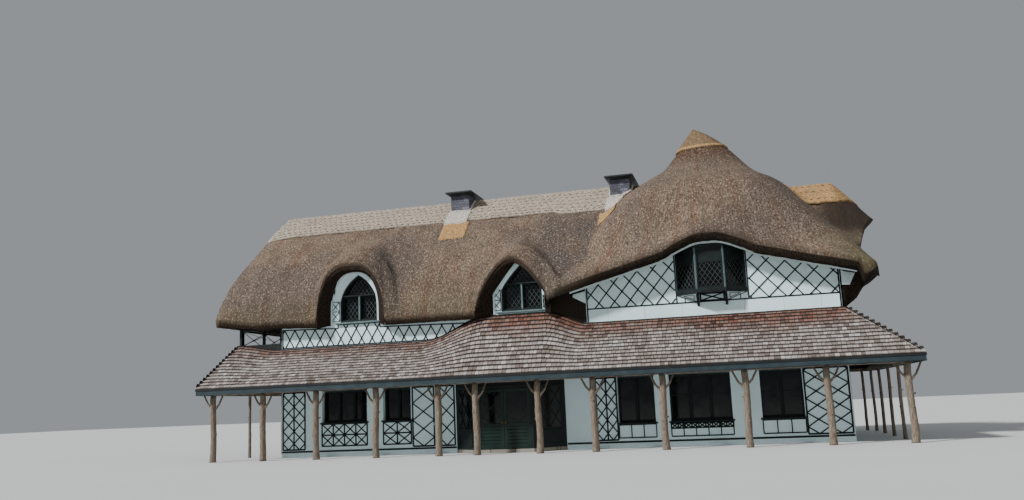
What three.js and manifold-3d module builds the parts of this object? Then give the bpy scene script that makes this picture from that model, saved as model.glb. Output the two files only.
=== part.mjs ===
// Thatched cottage: a long two-storey house under one deep straw roof, with a shingled veranda all round.
// Millimetres, +Z up. X runs along the front from left to right, the front looks along -Y,
// and the origin lies on the ground in the middle of the plan.
import * as THREE from 'three';
import Module from 'manifold-3d';
import { mergeVertices } from 'three/addons/utils/BufferGeometryUtils.js';

const wasm = await Module();
wasm.setup();

// Fits and heights that the whole house shares
const FIT = 0.3;
const STOREY_TOP = 3600;
const FLOOR_THICK = 250;
const UPPER_FLOOR = STOREY_TOP + FLOOR_THICK;
const GROUND_FLOOR = 120;
const SKY = 15000;

// Plan of the walls
const LEFT_WALL = -9900;
const RIGHT_WALL = 10750;
const FRONT_WALL = -3400;
const WALL_THICK = 300;
const UPPER_WALL_THICK = 250;
const GABLE_LEFT = 2150;
const BALCONY_LEFT = -11750;

// Ground floor windows, from left to right
const LEFT_SILL = 1250;
const RIGHT_SILL = 850;
const WINDOW_HEAD = 2430;
const LEFT_WINDOWS = [{ x: -7290, width: 1840 }, { x: -5170, width: 1100 }];
const RIGHT_WINDOWS = [{ x: 3700, width: 1280 }, { x: 5885, width: 2070 }, { x: 8565, width: 1370 }];
const END_WINDOW_WIDTH = 1300;
const GLASS = 8;
const GLASS_LAP = 80;

// Entrance bay
const BAY_X = -830;
const BAY_HALF_FRONT = 1050;
const BAY_HALF_BACK = 2030;
const BAY_DEPTH = 900;
const BAY_FRAME = 90;
const BAY_HEAD = 2330;
const BAY_ROOF = 2480;
const BAY_DADO = 820;
const BAY_PANE = { from: 0.12, to: 0.84, play: 0.01, sink: 30 };
const DOOR_TOP = 2200;
const DOOR_BOTTOM = GROUND_FLOOR + 10;
const DOOR_THICK = 50;
const DOOR_GAP = 6;
const DOOR_SINK = 4;
const DOOR_RAIL = 110;
const LOCK_RAIL = 900;
const PANEL_SINK = 14;
const HINGE = { behind: 8, flap: 24, high: 100, heights: [330, 1120, 1910], sides: 12 };

// Upper windows
const DORMER_SILL = 5000;
const DORMER_SPRING = 5800;
const DORMER_HALF = 770;
const LEFT_DORMER = {
  x: -6660, crest: 7070, outer: 1800, power: 2.4, root: 0.5, apex: 6800, pull: { across: 0.8, up: 0.65 },
  lip: { wall: 1100, edge: 1380, lean: -140, power: 2.8, root: 0.5 },
};
const MIDDLE_DORMER = {
  x: -230, crest: 6850, outer: 1900, power: 1.4, root: 0.8, apex: 6700, pull: { across: 0.62, up: 0.52 },
  lip: { wall: 1100, edge: 1400, lean: -250, power: 1.6, root: 0.7 },
};
const DORMERS = [LEFT_DORMER, MIDDLE_DORMER];
const ORIEL = { x: 6550, half: 1190, halfFront: 480, depth: 560, sill: 5250, head: 6680, frame: 70 };
const ORIEL_PANE = { from: 0.16, to: 0.86, reach: 250 };
const ORIEL_BOARD = { thick: 110, lip: 20 };
const ORIEL_BRACKET = { thick: 80, drop: 430, back: 60, embed: 10 };
const GABLET_WINDOW = { half: 700, sill: 5150, head: 6500 };
const BALCONY_DOOR = { half: 450, head: 5900 };
const BARGE = { y: -3960, thick: 60, drop: 110, inset: 400, steps: 24 };

// Thatch
const THATCH = 450;
const EAVE_HALF = 3900;
const EAVE_TOP = 5450;
const EAVE_BOTTOM = 4880;
const RIDGE_TOP = 10000;
const RIDGE_BOTTOM = 9430;
const SLOPE_CURVE = 0.6;
const UNDER_CURVE = 0.68;
const THATCH_LEFT = -12770;
const END_START = -10400;
const END_CURVE = 0.75;
const END_LIFT = 250;
const END_DROOP = 100;
const HIP_RUN = 1300;
const HIP_THICK = 350;
const LEFT_ROUND = 500;
const RIGHT_ROUND = 750;
const DORMER_RIDGE_SLOPE = 0.45;
const ROOF_SPLIT = 930;
const BLEND = 300;
const UNDER_BLEND = 80;
const SINK = 3000;
const ROLL = 420;
const LIP_CUT = 150;

// Tall tent-shaped roof over the gable
const TENT_X = 6190;
const TENT_POWER = 2.6;
const TENT_RADII = [0, 700, 1300, 2200, 3200, 4300, 4900, 5500, 6100, 6900];
const TENT_LEFT_HEIGHTS = [12000, 11050, 10300, 9750, 9000, 7650, 6850, 6350, 5950, 5450];
const TENT_RIGHT_HEIGHTS = [12000, 11550, 11000, 10000, 9250, 7650, 6850, 6350, 5950, 5450];
const TENT_FRONT = 4300;
const TENT_SKIRT_START = 3000;
const TENT_RIGHT = 12000;
const RIDGE_FADE = 2;
const LIP_CREST = 6550;
const LIP_FLAT_HALF = 1200;
const LIP_SLOPE = 0.28;
const BROW_RISE = 500;
const BROW_FLAT = 525;
const BROW_HALF = 1500;
const BROW_X = TENT_X + 350;
const SPLIT_STEP = 300;

// Gablet on the right-hand end
const GABLET_CREST = 9300;
const GABLET_TURN = 11100;
// Where the thatch ends beyond TENT_RIGHT: far out at the ridge, back in at its flanks, then out to the lip
const END_REACH = { tip: 470, hollow: -470, turn: 2600, back: 3600, tuck: 450, tuckFrom: 1200, tuckTo: 2400 };
const TIP_EXTRA = 350;
const GABLET_FALL = 1.07;
const GABLET_HALF = 2200;
const GABLET_SIDE = 420;
const GABLET_CURVE = { plan: 1.5, rise: 0.7 };
const GABLET_START = 8190;

// Straw caps
const CAP_THICK = 80;
const CAP_SEAT = 60;
const CAP_ROW = 0.36;
const GABLET_CAP = { row: 0.235, end: 11650, taper: 0.9, power: 1.6 };
const CAP_LEFT_END = -11950;
const CAP_RIGHT_END = 3600;
const GABLET_CAP_START = 9200;
const PEAK_CAP_RADII = [300, 600, 900, 1150];

// Chimneys
const CHIMNEYS = [{ name: 'chimney_left', x: -3460 }, { name: 'chimney_right', x: 3190 }];
const STACK = { width: 720, depth: 1100, bottom: 9300, top: 10330 };
const STACK_SLAB = { width: 1170, depth: 1900, thick: 90 };

// Veranda
const VERANDA_FRONT = -5650;
const VERANDA_RIGHT = 12770;
const VERANDA_LEFT = -12200;
const EAVE_UPPER = 2650;
const SHINGLE_THICK = 60;
const TOP_LEFT_END = 4350;
const TOP_LEFT = 4100;
const TOP_RIGHT = 4400;
const WAVE_CREST = 4870;
const WAVE_LEFT = -3900;
const WAVE_CREST_LEFT = -1500;
const WAVE_CREST_RIGHT = 700;
const WAVE_RIGHT = 2100;
const FASCIA = { thick: 40, bottom: 2420, inset: 20 };
const POST_LINE = 450;
const POST_TOP = 2400;
const BEAM = 150;
const BEAM_LIMIT = 3300;
const LEFT_BEAM_TOP = 2640;
const POST_RADIUS = 115;
const SLENDER_RADIUS = 60;
const TRUNK_FLARE = 1.15;
const TRUNK_TAPER = 0.9;
const POST_EMBED = 25;
const BRANCH = { radius: 38, taper: 0.7, low: 1850, reach: 390 };
const FRONT_BEAM_SPLIT = -450;
const FRONT_POSTS_LEFT = [-11700, -9660, -7540, -5240, -2920, -1550];
const FRONT_POSTS_RIGHT = [640, 2520, 4810, 7420, 9900, 12260];
const RIGHT_POSTS = [-2800, -400, 2000, 4400];
const LEFT_POSTS = [-2600, 0, 2600];
const REAR_POSTS = [-11720, -8300, -4900, -1500, 1900, 5300, 8700, 12060];

// Balcony under the left-hand end of the thatch
const BALCONY = { thick: 100, post: 90, parapet: TOP_LEFT_END, rail: 4900, railDeep: 60, bay: 1850 };
const BALCONY_BRACE = { half: 22, crossed: 18, embed: 20, inset: 10 };

const PAINT = {
  thatch: { color: 0x75675a, roughness: 0.95, metalness: 0 },
  straw: { color: 0xb5a284, roughness: 0.9, metalness: 0 },
  plaster: { color: 0xdfe6e8, roughness: 0.85, metalness: 0 },
  timber: { color: 0x1f2b27, roughness: 0.6, metalness: 0 },
  door: { color: 0x1d352c, roughness: 0.45, metalness: 0 },
  glass: { color: 0x1a2326, roughness: 0.08, metalness: 0 },
  shingle: { color: 0x8d8078, roughness: 0.9, metalness: 0 },
  fascia: { color: 0x4c6266, roughness: 0.6, metalness: 0 },
  bark: { color: 0x7a6a58, roughness: 0.95, metalness: 0 },
  slate: { color: 0x3c3a42, roughness: 0.7, metalness: 0 },
  boards: { color: 0x8a7558, roughness: 0.8, metalness: 0 },
};

const cottage = new THREE.Group();

function toSolid(geometry) {
  const merged = mergeVertices(stripped(geometry), 1e-3);
  const mesh = new wasm.Mesh({
    numProp: 3,
    vertProperties: new Float32Array(merged.attributes.position.array),
    triVerts: new Uint32Array(merged.index.array),
  });
  return new wasm.Manifold(mesh);
}

function stripped(geometry) {
  const bare = geometry.clone();
  bare.deleteAttribute('normal');
  bare.deleteAttribute('uv');
  return bare;
}

function toGeometry(solid) {
  const mesh = solid.getMesh();
  const geometry = new THREE.BufferGeometry();
  geometry.setAttribute('position', new THREE.BufferAttribute(new Float32Array(mesh.vertProperties), 3));
  geometry.setIndex(new THREE.BufferAttribute(new Uint32Array(mesh.triVerts), 1));
  geometry.computeVertexNormals();
  return geometry;
}

function place(name, solid, paint) {
  const mesh = new THREE.Mesh(toGeometry(solid), new THREE.MeshStandardMaterial(paint));
  mesh.name = name;
  cottage.add(mesh);
}

function block(x0, x1, y0, y1, z0, z1) {
  const box = new THREE.BoxGeometry(x1 - x0, y1 - y0, z1 - z0);
  box.translate((x0 + x1) / 2, (y0 + y1) / 2, (z0 + z1) / 2);
  return toSolid(box);
}

// A plan outline, raised from z0 to z1
function prism(points, z0, z1) {
  const shape = new THREE.Shape(points.map(([x, y]) => new THREE.Vector2(x, y)));
  const body = new THREE.ExtrudeGeometry(shape, { depth: z1 - z0, bevelEnabled: false });
  body.translate(0, 0, z0);
  return toSolid(body);
}

// An upright outline in X and Z, carried through from y0 to y1
function upright(shape, y0, y1) {
  const body = new THREE.ExtrudeGeometry(shape, { depth: y1 - y0, bevelEnabled: false, curveSegments: 6 });
  body.rotateX(Math.PI / 2);
  body.translate(0, y1, 0);
  return toSolid(body);
}

// A round bar between two points
function bar(from, to, radiusFrom, radiusTo, sides = 8) {
  const a = new THREE.Vector3(...from);
  const b = new THREE.Vector3(...to);
  const along = b.clone().sub(a);
  const rod = new THREE.CylinderGeometry(radiusTo, radiusFrom, along.length(), sides, 1);
  const upward = new THREE.Vector3(0, 1, 0);
  rod.applyQuaternion(new THREE.Quaternion().setFromUnitVectors(upward, along.clone().normalize()));
  const middle = a.add(b).multiplyScalar(0.5);
  rod.translate(middle.x, middle.y, middle.z);
  return toSolid(rod);
}

// Evenly spaced stations through a list of [from, to, steps] spans
function stations(spans) {
  const list = [spans[0][0]];
  for (const [from, to, steps] of spans) {
    for (let i = 1; i <= steps; i += 1) {
      list.push(from + ((to - from) * i) / steps);
    }
  }
  return list;
}

// A closed sheet: a box whose top and bottom are bent to two surfaces over a grid of columns and rows
function sheet(columns, rows, point) {
  const box = new THREE.BoxGeometry(1, 1, 1, columns.length - 1, rows.length - 1, 1);
  const bent = mergeVertices(stripped(box), 1e-6);
  const position = bent.attributes.position;
  for (let i = 0; i < position.count; i += 1) {
    const column = columns[Math.round((position.getX(i) + 0.5) * (columns.length - 1))];
    const row = rows[Math.round((position.getY(i) + 0.5) * (rows.length - 1))];
    position.setXYZ(i, ...point(column, row, position.getZ(i) > 0));
  }
  return toSolid(bent);
}

function clamp01(value) {
  return Math.min(1, Math.max(0, value));
}

function ease(from, to, value) {
  const t = clamp01((value - from) / (to - from));
  return t * t * (3 - 2 * t);
}

function mix(a, b, share) {
  return a + (b - a) * share;
}

function softMax(a, b, blend) {
  const near = Math.max(blend - Math.abs(a - b), 0) / blend;
  return Math.max(a, b) + (near * near * blend) / 4;
}

function softMin(a, b, blend) {
  return -softMax(-a, -b, blend);
}

// The long roof: rounded slopes to front and back, and a steep hip at the left-hand end
function longRoof(x, y, under) {
  const v = clamp01(Math.abs(y) / EAVE_HALF);
  const atEnd = ease(END_START, THATCH_LEFT, x);
  const foot = under ? EAVE_BOTTOM + END_LIFT * atEnd : EAVE_TOP - END_DROOP * atEnd;
  const rise = (under ? RIDGE_BOTTOM : RIDGE_TOP) - foot;
  const slope = foot + rise * (1 - v) ** mix(under ? UNDER_CURVE : SLOPE_CURVE, END_CURVE, atEnd);
  const inward = x - THATCH_LEFT - (under ? HIP_THICK : 0);
  const hip = foot + rise * Math.max(0, inward / HIP_RUN);
  const fade = RIDGE_FADE * Math.max(0, x - TENT_X);
  return softMin(slope, hip, under ? UNDER_BLEND : BLEND) - fade;
}

// A wave of thatch over a dormer window
function dormerWave(dormer, x, y, under) {
  const flare = ease(-FRONT_WALL, EAVE_HALF, Math.abs(y));
  const half = under ? mix(dormer.lip.wall, dormer.lip.edge, flare) : dormer.outer;
  const { power, root } = under ? dormer.lip : dormer;
  const foot = under ? EAVE_BOTTOM : EAVE_TOP;
  const crest = dormer.crest + (under ? 0 : THATCH);
  const middle = dormer.x + (under ? dormer.lip.lean * flare : 0);
  const w = Math.abs(x - middle) / half;
  const back = DORMER_RIDGE_SLOPE * (EAVE_HALF - Math.abs(y));
  if (w >= 1) {
    return foot - (w - 1) * SINK;
  }
  return foot + (crest - foot) * (1 - w ** power) ** root + back * (1 - w * w);
}

const tentLeft = new THREE.CubicInterpolant(TENT_RADII, TENT_LEFT_HEIGHTS, 1);
const tentRight = new THREE.CubicInterpolant(TENT_RADII, TENT_RIGHT_HEIGHTS, 1);
const tentReach = TENT_RADII.at(-1);

// The lower front edge of the gable's thatch, with its brow over the bow window
function gableLip(x) {
  const slope = LIP_SLOPE * Math.max(0, Math.abs(x - BROW_X) - LIP_FLAT_HALF);
  const brow = BROW_RISE * (1 - ease(BROW_FLAT, BROW_HALF, Math.abs(x - BROW_X)));
  return LIP_CREST - slope + brow;
}

function tentRoof(x, y, under) {
  const dx = x - TENT_X;
  const reach = (Math.abs(dx) ** TENT_POWER + Math.abs(y) ** TENT_POWER) ** (1 / TENT_POWER);
  const r = Math.min(reach, tentReach);
  const side = reach > 0 ? 0.5 + (0.5 * dx) / reach : 0.5;
  const high = mix(tentLeft.evaluate(r)[0], tentRight.evaluate(r)[0], side);
  const skirt = ease(TENT_SKIRT_START, TENT_FRONT, Math.abs(y));
  const top = mix(high, gableLip(x) + THATCH, skirt) - (reach - r);
  return under ? top - THATCH : top;
}

// The gablet on the right-hand end, with its own straw cap
function gablet(x, y, under) {
  const fall = GABLET_FALL * Math.max(0, x - GABLET_TURN);
  const thick = THATCH + TIP_EXTRA * ease(GABLET_TURN, TENT_RIGHT, x);
  const crest = GABLET_CREST - fall - (under ? thick : 0);
  const half = GABLET_HALF - (under ? GABLET_SIDE : 0);
  const foot = under ? EAVE_BOTTOM : EAVE_TOP;
  const w = Math.abs(y) / half;
  if (w >= 1) {
    return foot - (w - 1) * SINK;
  }
  const round = (1 - w ** GABLET_CURVE.plan) ** GABLET_CURVE.rise;
  return foot + (crest - foot) * round - Math.max(0, GABLET_START - x);
}

function thatch(x, y, under) {
  const blend = under ? UNDER_BLEND : BLEND;
  let z = longRoof(x, y, under);
  for (const dormer of DORMERS) {
    z = softMax(z, dormerWave(dormer, x, y, under), blend);
  }
  const joined = ease(ROOF_SPLIT - SPLIT_STEP, ROOF_SPLIT, x);
  const tent = mix(EAVE_BOTTOM - SINK, tentRoof(x, y, under), joined);
  z = softMax(z, tent, blend);
  return softMax(z, gablet(x, y, under), blend);
}

// How much a rounded corner takes off the width, at some distance from the end
function cornerCut(radius, fromEnd) {
  const short = radius - Math.min(radius, fromEnd);
  return radius - Math.sqrt(radius ** 2 - short ** 2);
}

// Half width of the thatch in plan at x
function halfWidth(x) {
  const wide = mix(EAVE_HALF, TENT_FRONT, ease(ROOF_SPLIT - SPLIT_STEP, ROOF_SPLIT + SPLIT_STEP, x));
  return wide - cornerCut(LEFT_ROUND, x - THATCH_LEFT) - cornerCut(RIGHT_ROUND, TENT_RIGHT - x);
}

// How far the thatch's right-hand end lies beyond TENT_RIGHT, at some distance from the middle
function endReach(y, under) {
  const off = Math.abs(y);
  const prow = mix(END_REACH.tip, END_REACH.hollow, ease(0, END_REACH.turn, off));
  const tuck = under ? END_REACH.tuck * (1 - ease(END_REACH.tuckFrom, END_REACH.tuckTo, off)) : 0;
  return prow * (1 - ease(END_REACH.turn, END_REACH.back, off)) - tuck;
}

// The height of the underside, which stays below the top
function thatchUnder(x, y) {
  return Math.min(thatch(x, y, true), thatch(x, y, false) - THATCH / 2);
}

// The height of the top, rolled down to a thin cut edge along the eaves and the left-hand end
function thatchTop(column, x, y) {
  const top = thatch(x, y, false);
  const edge = Math.max(0, Math.min(halfWidth(column) - Math.abs(y), column - THATCH_LEFT));
  const near = clamp01(1 - edge / ROLL);
  const fall = Math.max(0, top - thatchUnder(x, y) - LIP_CUT);
  return top - fall * (1 - Math.sqrt(1 - near ** 2));
}

function thatchPoint(x, row, under, drop = 0) {
  const y = row * halfWidth(x);
  const px = x + endReach(y, under) * ease(GABLET_TURN, TENT_RIGHT, x);
  return [px, y, (under ? thatchUnder(px, y) : thatchTop(x, px, y)) - drop];
}

// Columns close together over a dormer's wave, as shares of half the width of its lip
const WAVE_SHARES = [1.3, 1.15, 1.04, 0.97, 0.86, 0.75, 0.6, 0.42, 0.22];

function dormerStations(dormer) {
  const list = WAVE_SHARES.map((share) => -share * dormer.lip.edge);
  return [...list, 0, ...list.map((d) => -d).reverse()].map((d) => dormer.x + d);
}

const EDGE_ROWS = [1, 0.99, 0.965, 0.93, 0.88, 0.77, 0.64, 0.5, CAP_ROW, 0.18];
const ROWS = [...EDGE_ROWS.map((r) => -r), 0, ...EDGE_ROWS.reverse()];
const LEFT_COLUMNS = [
  ...stations([
    [THATCH_LEFT, THATCH_LEFT + LEFT_ROUND, 5], [THATCH_LEFT + LEFT_ROUND, -10500, 6], [-10500, -8700, 2],
  ]),
  ...dormerStations(LEFT_DORMER),
  ...stations([[-4500, -2400, 3]]),
  ...dormerStations(MIDDLE_DORMER).filter((x) => x < ROOF_SPLIT - 150),
  ROOF_SPLIT,
];
const RIGHT_COLUMNS = stations([
  [ROOF_SPLIT, ROOF_SPLIT + 300, 2], [ROOF_SPLIT + 300, 4900, 6], [4900, 8200, 10],
  [8200, 11100, 5], [11100, TENT_RIGHT, 6],
]);

function thatchShell(columns, from, to) {
  const inset = (x) => Math.min(Math.max(x, from), to);
  return sheet(columns.map(inset), ROWS, (x, row, top) => thatchPoint(x, row, !top));
}

// Everything above the underside of the thatch, which trims what stands below it
function aboveThatch(columns) {
  return sheet(columns, ROWS, (x, row, top) => {
    const under = thatchPoint(x, row, true, FIT);
    return top ? [under[0], under[1], SKY] : under;
  });
}

const overLeft = aboveThatch(LEFT_COLUMNS);
const overRight = aboveThatch(RIGHT_COLUMNS);

function underThatch(solid) {
  return solid.subtract(overLeft).subtract(overRight);
}

// How wide the gablet's cap is at a column, as a share; its lower edge stays level while the ridge falls
function gabletCapWidth(x) {
  const past = clamp01((x - GABLET_TURN) / (GABLET_CAP.end - GABLET_TURN));
  return 1 - GABLET_CAP.taper * past ** GABLET_CAP.power;
}

// A straw cap laid into the thatch over some columns and rows; grow widens the seat that is cut for it
function strawCap(columns, rows, grow = 0, width = () => 1) {
  const rim = rows.at(-1);
  const far = [columns[0], columns.at(-1)];
  return sheet(columns, rows, (x, row, top) => {
    const side = Math.abs(row) === rim ? Math.sign(row) * grow : 0;
    const end = x === far[0] ? -grow : grow * Number(x === far[1]);
    const p = thatchPoint(x + end, row * width(x), false);
    return [p[0], p[1] + side, p[2] + (top ? CAP_THICK + grow : -CAP_SEAT - 2 * grow)];
  });
}

// The round straw cap of the peak
function peakCap(grow = 0) {
  const rim = PEAK_CAP_RADII.at(-1);
  const profile = [0, ...PEAK_CAP_RADII].map((r) => new THREE.Vector2(r, -1));
  profile.push(...[...PEAK_CAP_RADII].reverse().map((r) => new THREE.Vector2(r, 1)), new THREE.Vector2(0, 1));
  const lathe = new THREE.LatheGeometry(profile, 16);
  lathe.rotateX(Math.PI / 2);
  const bent = mergeVertices(stripped(lathe), 1e-3);
  const position = bent.attributes.position;
  for (let i = 0; i < position.count; i += 1) {
    const reach = Math.hypot(position.getX(i), position.getY(i));
    const stretch = reach > rim - 1 ? (rim + grow) / reach : 1;
    const x = TENT_X + position.getX(i) * stretch;
    const y = position.getY(i) * stretch;
    const lift = position.getZ(i) > 0 ? CAP_THICK + grow : -CAP_SEAT - 2 * grow;
    position.setXYZ(i, x, y, thatch(x, y, false) + lift);
  }
  return toSolid(bent);
}

function cutAll(solid, cutters) {
  return cutters.reduce((rest, cutter) => rest.subtract(cutter), solid);
}

function joinAll(solids) {
  return solids.reduce((all, one) => all.add(one));
}

// Chimneys, with the holes that they leave in the thatch
for (const { name, x } of CHIMNEYS) {
  const halfW = STACK.width / 2;
  const halfD = STACK.depth / 2;
  const body = block(x - halfW, x + halfW, -halfD, halfD, STACK.bottom, STACK.top);
  const slab = block(
    x - STACK_SLAB.width / 2, x + STACK_SLAB.width / 2,
    -STACK_SLAB.depth / 2, STACK_SLAB.depth / 2, STACK.top, STACK.top + STACK_SLAB.thick,
  );
  place(name, body.add(slab), PAINT.slate);
}
const stackHoles = CHIMNEYS.map(({ x }) => block(
  x - STACK.width / 2 - FIT, x + STACK.width / 2 + FIT,
  -STACK.depth / 2 - FIT, STACK.depth / 2 + FIT, EAVE_BOTTOM, SKY,
));

// Thatch and its straw caps
const capColumns = [...LEFT_COLUMNS, ...RIGHT_COLUMNS.slice(1)];
const longCapColumns = capColumns.filter((x) => x > CAP_LEFT_END && x < CAP_RIGHT_END);
const gabletCapInner = capColumns.filter((x) => x > GABLET_CAP_START && x < GABLET_CAP.end);
const gabletCapColumns = [...gabletCapInner, GABLET_CAP.end];
const longCapRows = ROWS.filter((r) => Math.abs(r) <= CAP_ROW);
const gabletCapRows = [-GABLET_CAP.row, -0.18, 0, 0.18, GABLET_CAP.row];
const seats = [
  strawCap(longCapColumns, longCapRows, FIT),
  strawCap(gabletCapColumns, gabletCapRows, FIT, gabletCapWidth),
  peakCap(FIT),
];

const longShell = thatchShell(LEFT_COLUMNS, THATCH_LEFT, ROOF_SPLIT - FIT);
const gableShell = thatchShell(RIGHT_COLUMNS, ROOF_SPLIT, TENT_RIGHT);
place('thatch_long_roof', cutAll(longShell, [...seats, ...stackHoles]), PAINT.thatch);
place('thatch_gable_roof', cutAll(gableShell, [...seats, ...stackHoles]), PAINT.thatch);
place('ridge_cap_long', cutAll(strawCap(longCapColumns, longCapRows), stackHoles), PAINT.straw);
place('ridge_cap_gablet', strawCap(gabletCapColumns, gabletCapRows, 0, gabletCapWidth), PAINT.straw);
place('peak_cap', peakCap(), PAINT.straw);

// Floors
const bayLeft = BAY_X - BAY_HALF_BACK;
const bayRight = BAY_X + BAY_HALF_BACK;
const insideWall = FRONT_WALL + WALL_THICK;

// The plan of the entrance bay, carried back through the thickness of the wall and a little further
function bayOutline(further = 0) {
  const back = insideWall + further;
  return [
    [bayLeft + FIT, back], [bayLeft + FIT, FRONT_WALL], [BAY_X - BAY_HALF_FRONT, FRONT_WALL - BAY_DEPTH],
    [BAY_X + BAY_HALF_FRONT, FRONT_WALL - BAY_DEPTH], [bayRight - FIT, FRONT_WALL], [bayRight - FIT, back],
  ];
}

const roomFloor = block(
  LEFT_WALL + WALL_THICK + FIT, RIGHT_WALL - WALL_THICK - FIT,
  insideWall + FIT, -insideWall - FIT, 0, GROUND_FLOOR,
);
const bayFloor = prism(bayOutline(2 * FIT), 0, GROUND_FLOOR);
place('ground_floor', roomFloor.add(bayFloor), PAINT.boards);
place('upper_floor', block(
  BALCONY_LEFT, RIGHT_WALL, FRONT_WALL, -FRONT_WALL, STOREY_TOP, UPPER_FLOOR,
), PAINT.boards);

// Ground floor walls
function windowHoles(windows, sill, head, y0, y1) {
  return windows.map(({ x, width }) => block(x - width / 2, x + width / 2, y0, y1, sill, head));
}

function frontWall(x0, x1, windows, sill) {
  const wall = block(x0, x1, FRONT_WALL, insideWall, 0, STOREY_TOP - FIT);
  return cutAll(wall, windowHoles(windows, sill, WINDOW_HEAD, FRONT_WALL - 1, insideWall + 1));
}

place('front_wall_left', frontWall(LEFT_WALL, bayLeft, LEFT_WINDOWS, LEFT_SILL), PAINT.plaster);
place('front_wall_right', frontWall(bayRight, RIGHT_WALL, RIGHT_WINDOWS, RIGHT_SILL), PAINT.plaster);
place('front_wall_over_entrance', block(
  bayLeft + FIT, bayRight - FIT, FRONT_WALL, insideWall, BAY_ROOF + FIT, STOREY_TOP - FIT,
), PAINT.plaster);
const rearWall = block(LEFT_WALL, RIGHT_WALL, -insideWall, -FRONT_WALL, 0, STOREY_TOP - FIT);
place('rear_wall', cutAll(rearWall, [
  ...windowHoles(LEFT_WINDOWS, LEFT_SILL, WINDOW_HEAD, -insideWall - 1, 1 - FRONT_WALL),
  ...windowHoles(RIGHT_WINDOWS, RIGHT_SILL, WINDOW_HEAD, -insideWall - 1, 1 - FRONT_WALL),
]), PAINT.plaster);

function endWall(x0, x1) {
  const wall = block(x0, x1, insideWall + FIT, -insideWall - FIT, 0, STOREY_TOP - FIT);
  const half = END_WINDOW_WIDTH / 2;
  return wall.subtract(block(x0 - 1, x1 + 1, -half, half, RIGHT_SILL, WINDOW_HEAD));
}

place('left_wall', endWall(LEFT_WALL, LEFT_WALL + WALL_THICK), PAINT.plaster);
place('right_wall', endWall(RIGHT_WALL - WALL_THICK, RIGHT_WALL), PAINT.plaster);

// Upper walls, each trimmed to the underside of the thatch
const upperFoot = UPPER_FLOOR + FIT;
const upperInside = FRONT_WALL + UPPER_WALL_THICK;

function pointedWindow({ x, apex, pull }) {
  const pullX = DORMER_HALF * pull.across;
  const pullZ = mix(DORMER_SPRING, apex, pull.up);
  const shape = new THREE.Shape();
  shape.moveTo(x - DORMER_HALF, DORMER_SILL);
  shape.lineTo(x + DORMER_HALF, DORMER_SILL);
  shape.lineTo(x + DORMER_HALF, DORMER_SPRING);
  shape.quadraticCurveTo(x + pullX, pullZ, x, apex);
  shape.quadraticCurveTo(x - pullX, pullZ, x - DORMER_HALF, DORMER_SPRING);
  return shape;
}

const dormerHolesFront = DORMERS.map((d) => upright(pointedWindow(d), FRONT_WALL - 1, upperInside + 1));
const dormerHolesRear = DORMERS.map((d) => upright(pointedWindow(d), -upperInside - 1, 1 - FRONT_WALL));
const orielHalf = ORIEL.half - ORIEL.frame;

function orielHole(y0, y1) {
  return block(ORIEL.x - orielHalf, ORIEL.x + orielHalf, y0, y1, ORIEL.sill, ORIEL.head);
}

const longUpper = block(LEFT_WALL, GABLE_LEFT - FIT, FRONT_WALL, upperInside, upperFoot, RIDGE_TOP);
const gableUpper = block(GABLE_LEFT, RIGHT_WALL, FRONT_WALL, upperInside, upperFoot, RIDGE_TOP);
const rearUpper = block(LEFT_WALL, RIGHT_WALL, -upperInside, -FRONT_WALL, upperFoot, RIDGE_TOP);
place('front_wall_upper', underThatch(cutAll(longUpper, dormerHolesFront)), PAINT.plaster);
place('gable_wall', underThatch(
  gableUpper.subtract(orielHole(FRONT_WALL - 1, upperInside + 1)),
), PAINT.plaster);
place('rear_wall_upper', underThatch(
  cutAll(rearUpper, [...dormerHolesRear, orielHole(-upperInside - 1, 1 - FRONT_WALL)]),
), PAINT.plaster);

const leftUpper = block(
  LEFT_WALL, LEFT_WALL + UPPER_WALL_THICK, upperInside + FIT, -upperInside - FIT, upperFoot, RIDGE_TOP,
);
const balconyDoor = block(
  LEFT_WALL - 1, LEFT_WALL + UPPER_WALL_THICK + 1,
  -BALCONY_DOOR.half, BALCONY_DOOR.half, upperFoot - 1, BALCONY_DOOR.head,
);
place('left_wall_upper', underThatch(leftUpper.subtract(balconyDoor)), PAINT.plaster);
const rightUpper = block(
  RIGHT_WALL - UPPER_WALL_THICK, RIGHT_WALL, upperInside + FIT, -upperInside - FIT, upperFoot, RIDGE_TOP,
);
const gabletHole = block(
  RIGHT_WALL - UPPER_WALL_THICK - 1, RIGHT_WALL + 1,
  -GABLET_WINDOW.half, GABLET_WINDOW.half, GABLET_WINDOW.sill, GABLET_WINDOW.head,
);
place('right_wall_upper', underThatch(rightUpper.subtract(gabletHole)), PAINT.plaster);

// White barge board under the lip of the gable
const bargeShape = new THREE.Shape();
const bargeStations = stations([[ROOF_SPLIT + BARGE.inset, TENT_RIGHT - BARGE.inset, BARGE.steps]]);
bargeShape.moveTo(bargeStations[0], RIDGE_TOP);
for (const x of bargeStations) {
  bargeShape.lineTo(x, gableLip(x) - BARGE.drop);
}
bargeShape.lineTo(bargeStations.at(-1), RIDGE_TOP);
place('gable_barge_board', underThatch(upright(bargeShape, BARGE.y, BARGE.y + BARGE.thick)), PAINT.plaster);

// Entrance bay
const bayFoot = GROUND_FLOOR + FIT;

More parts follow.
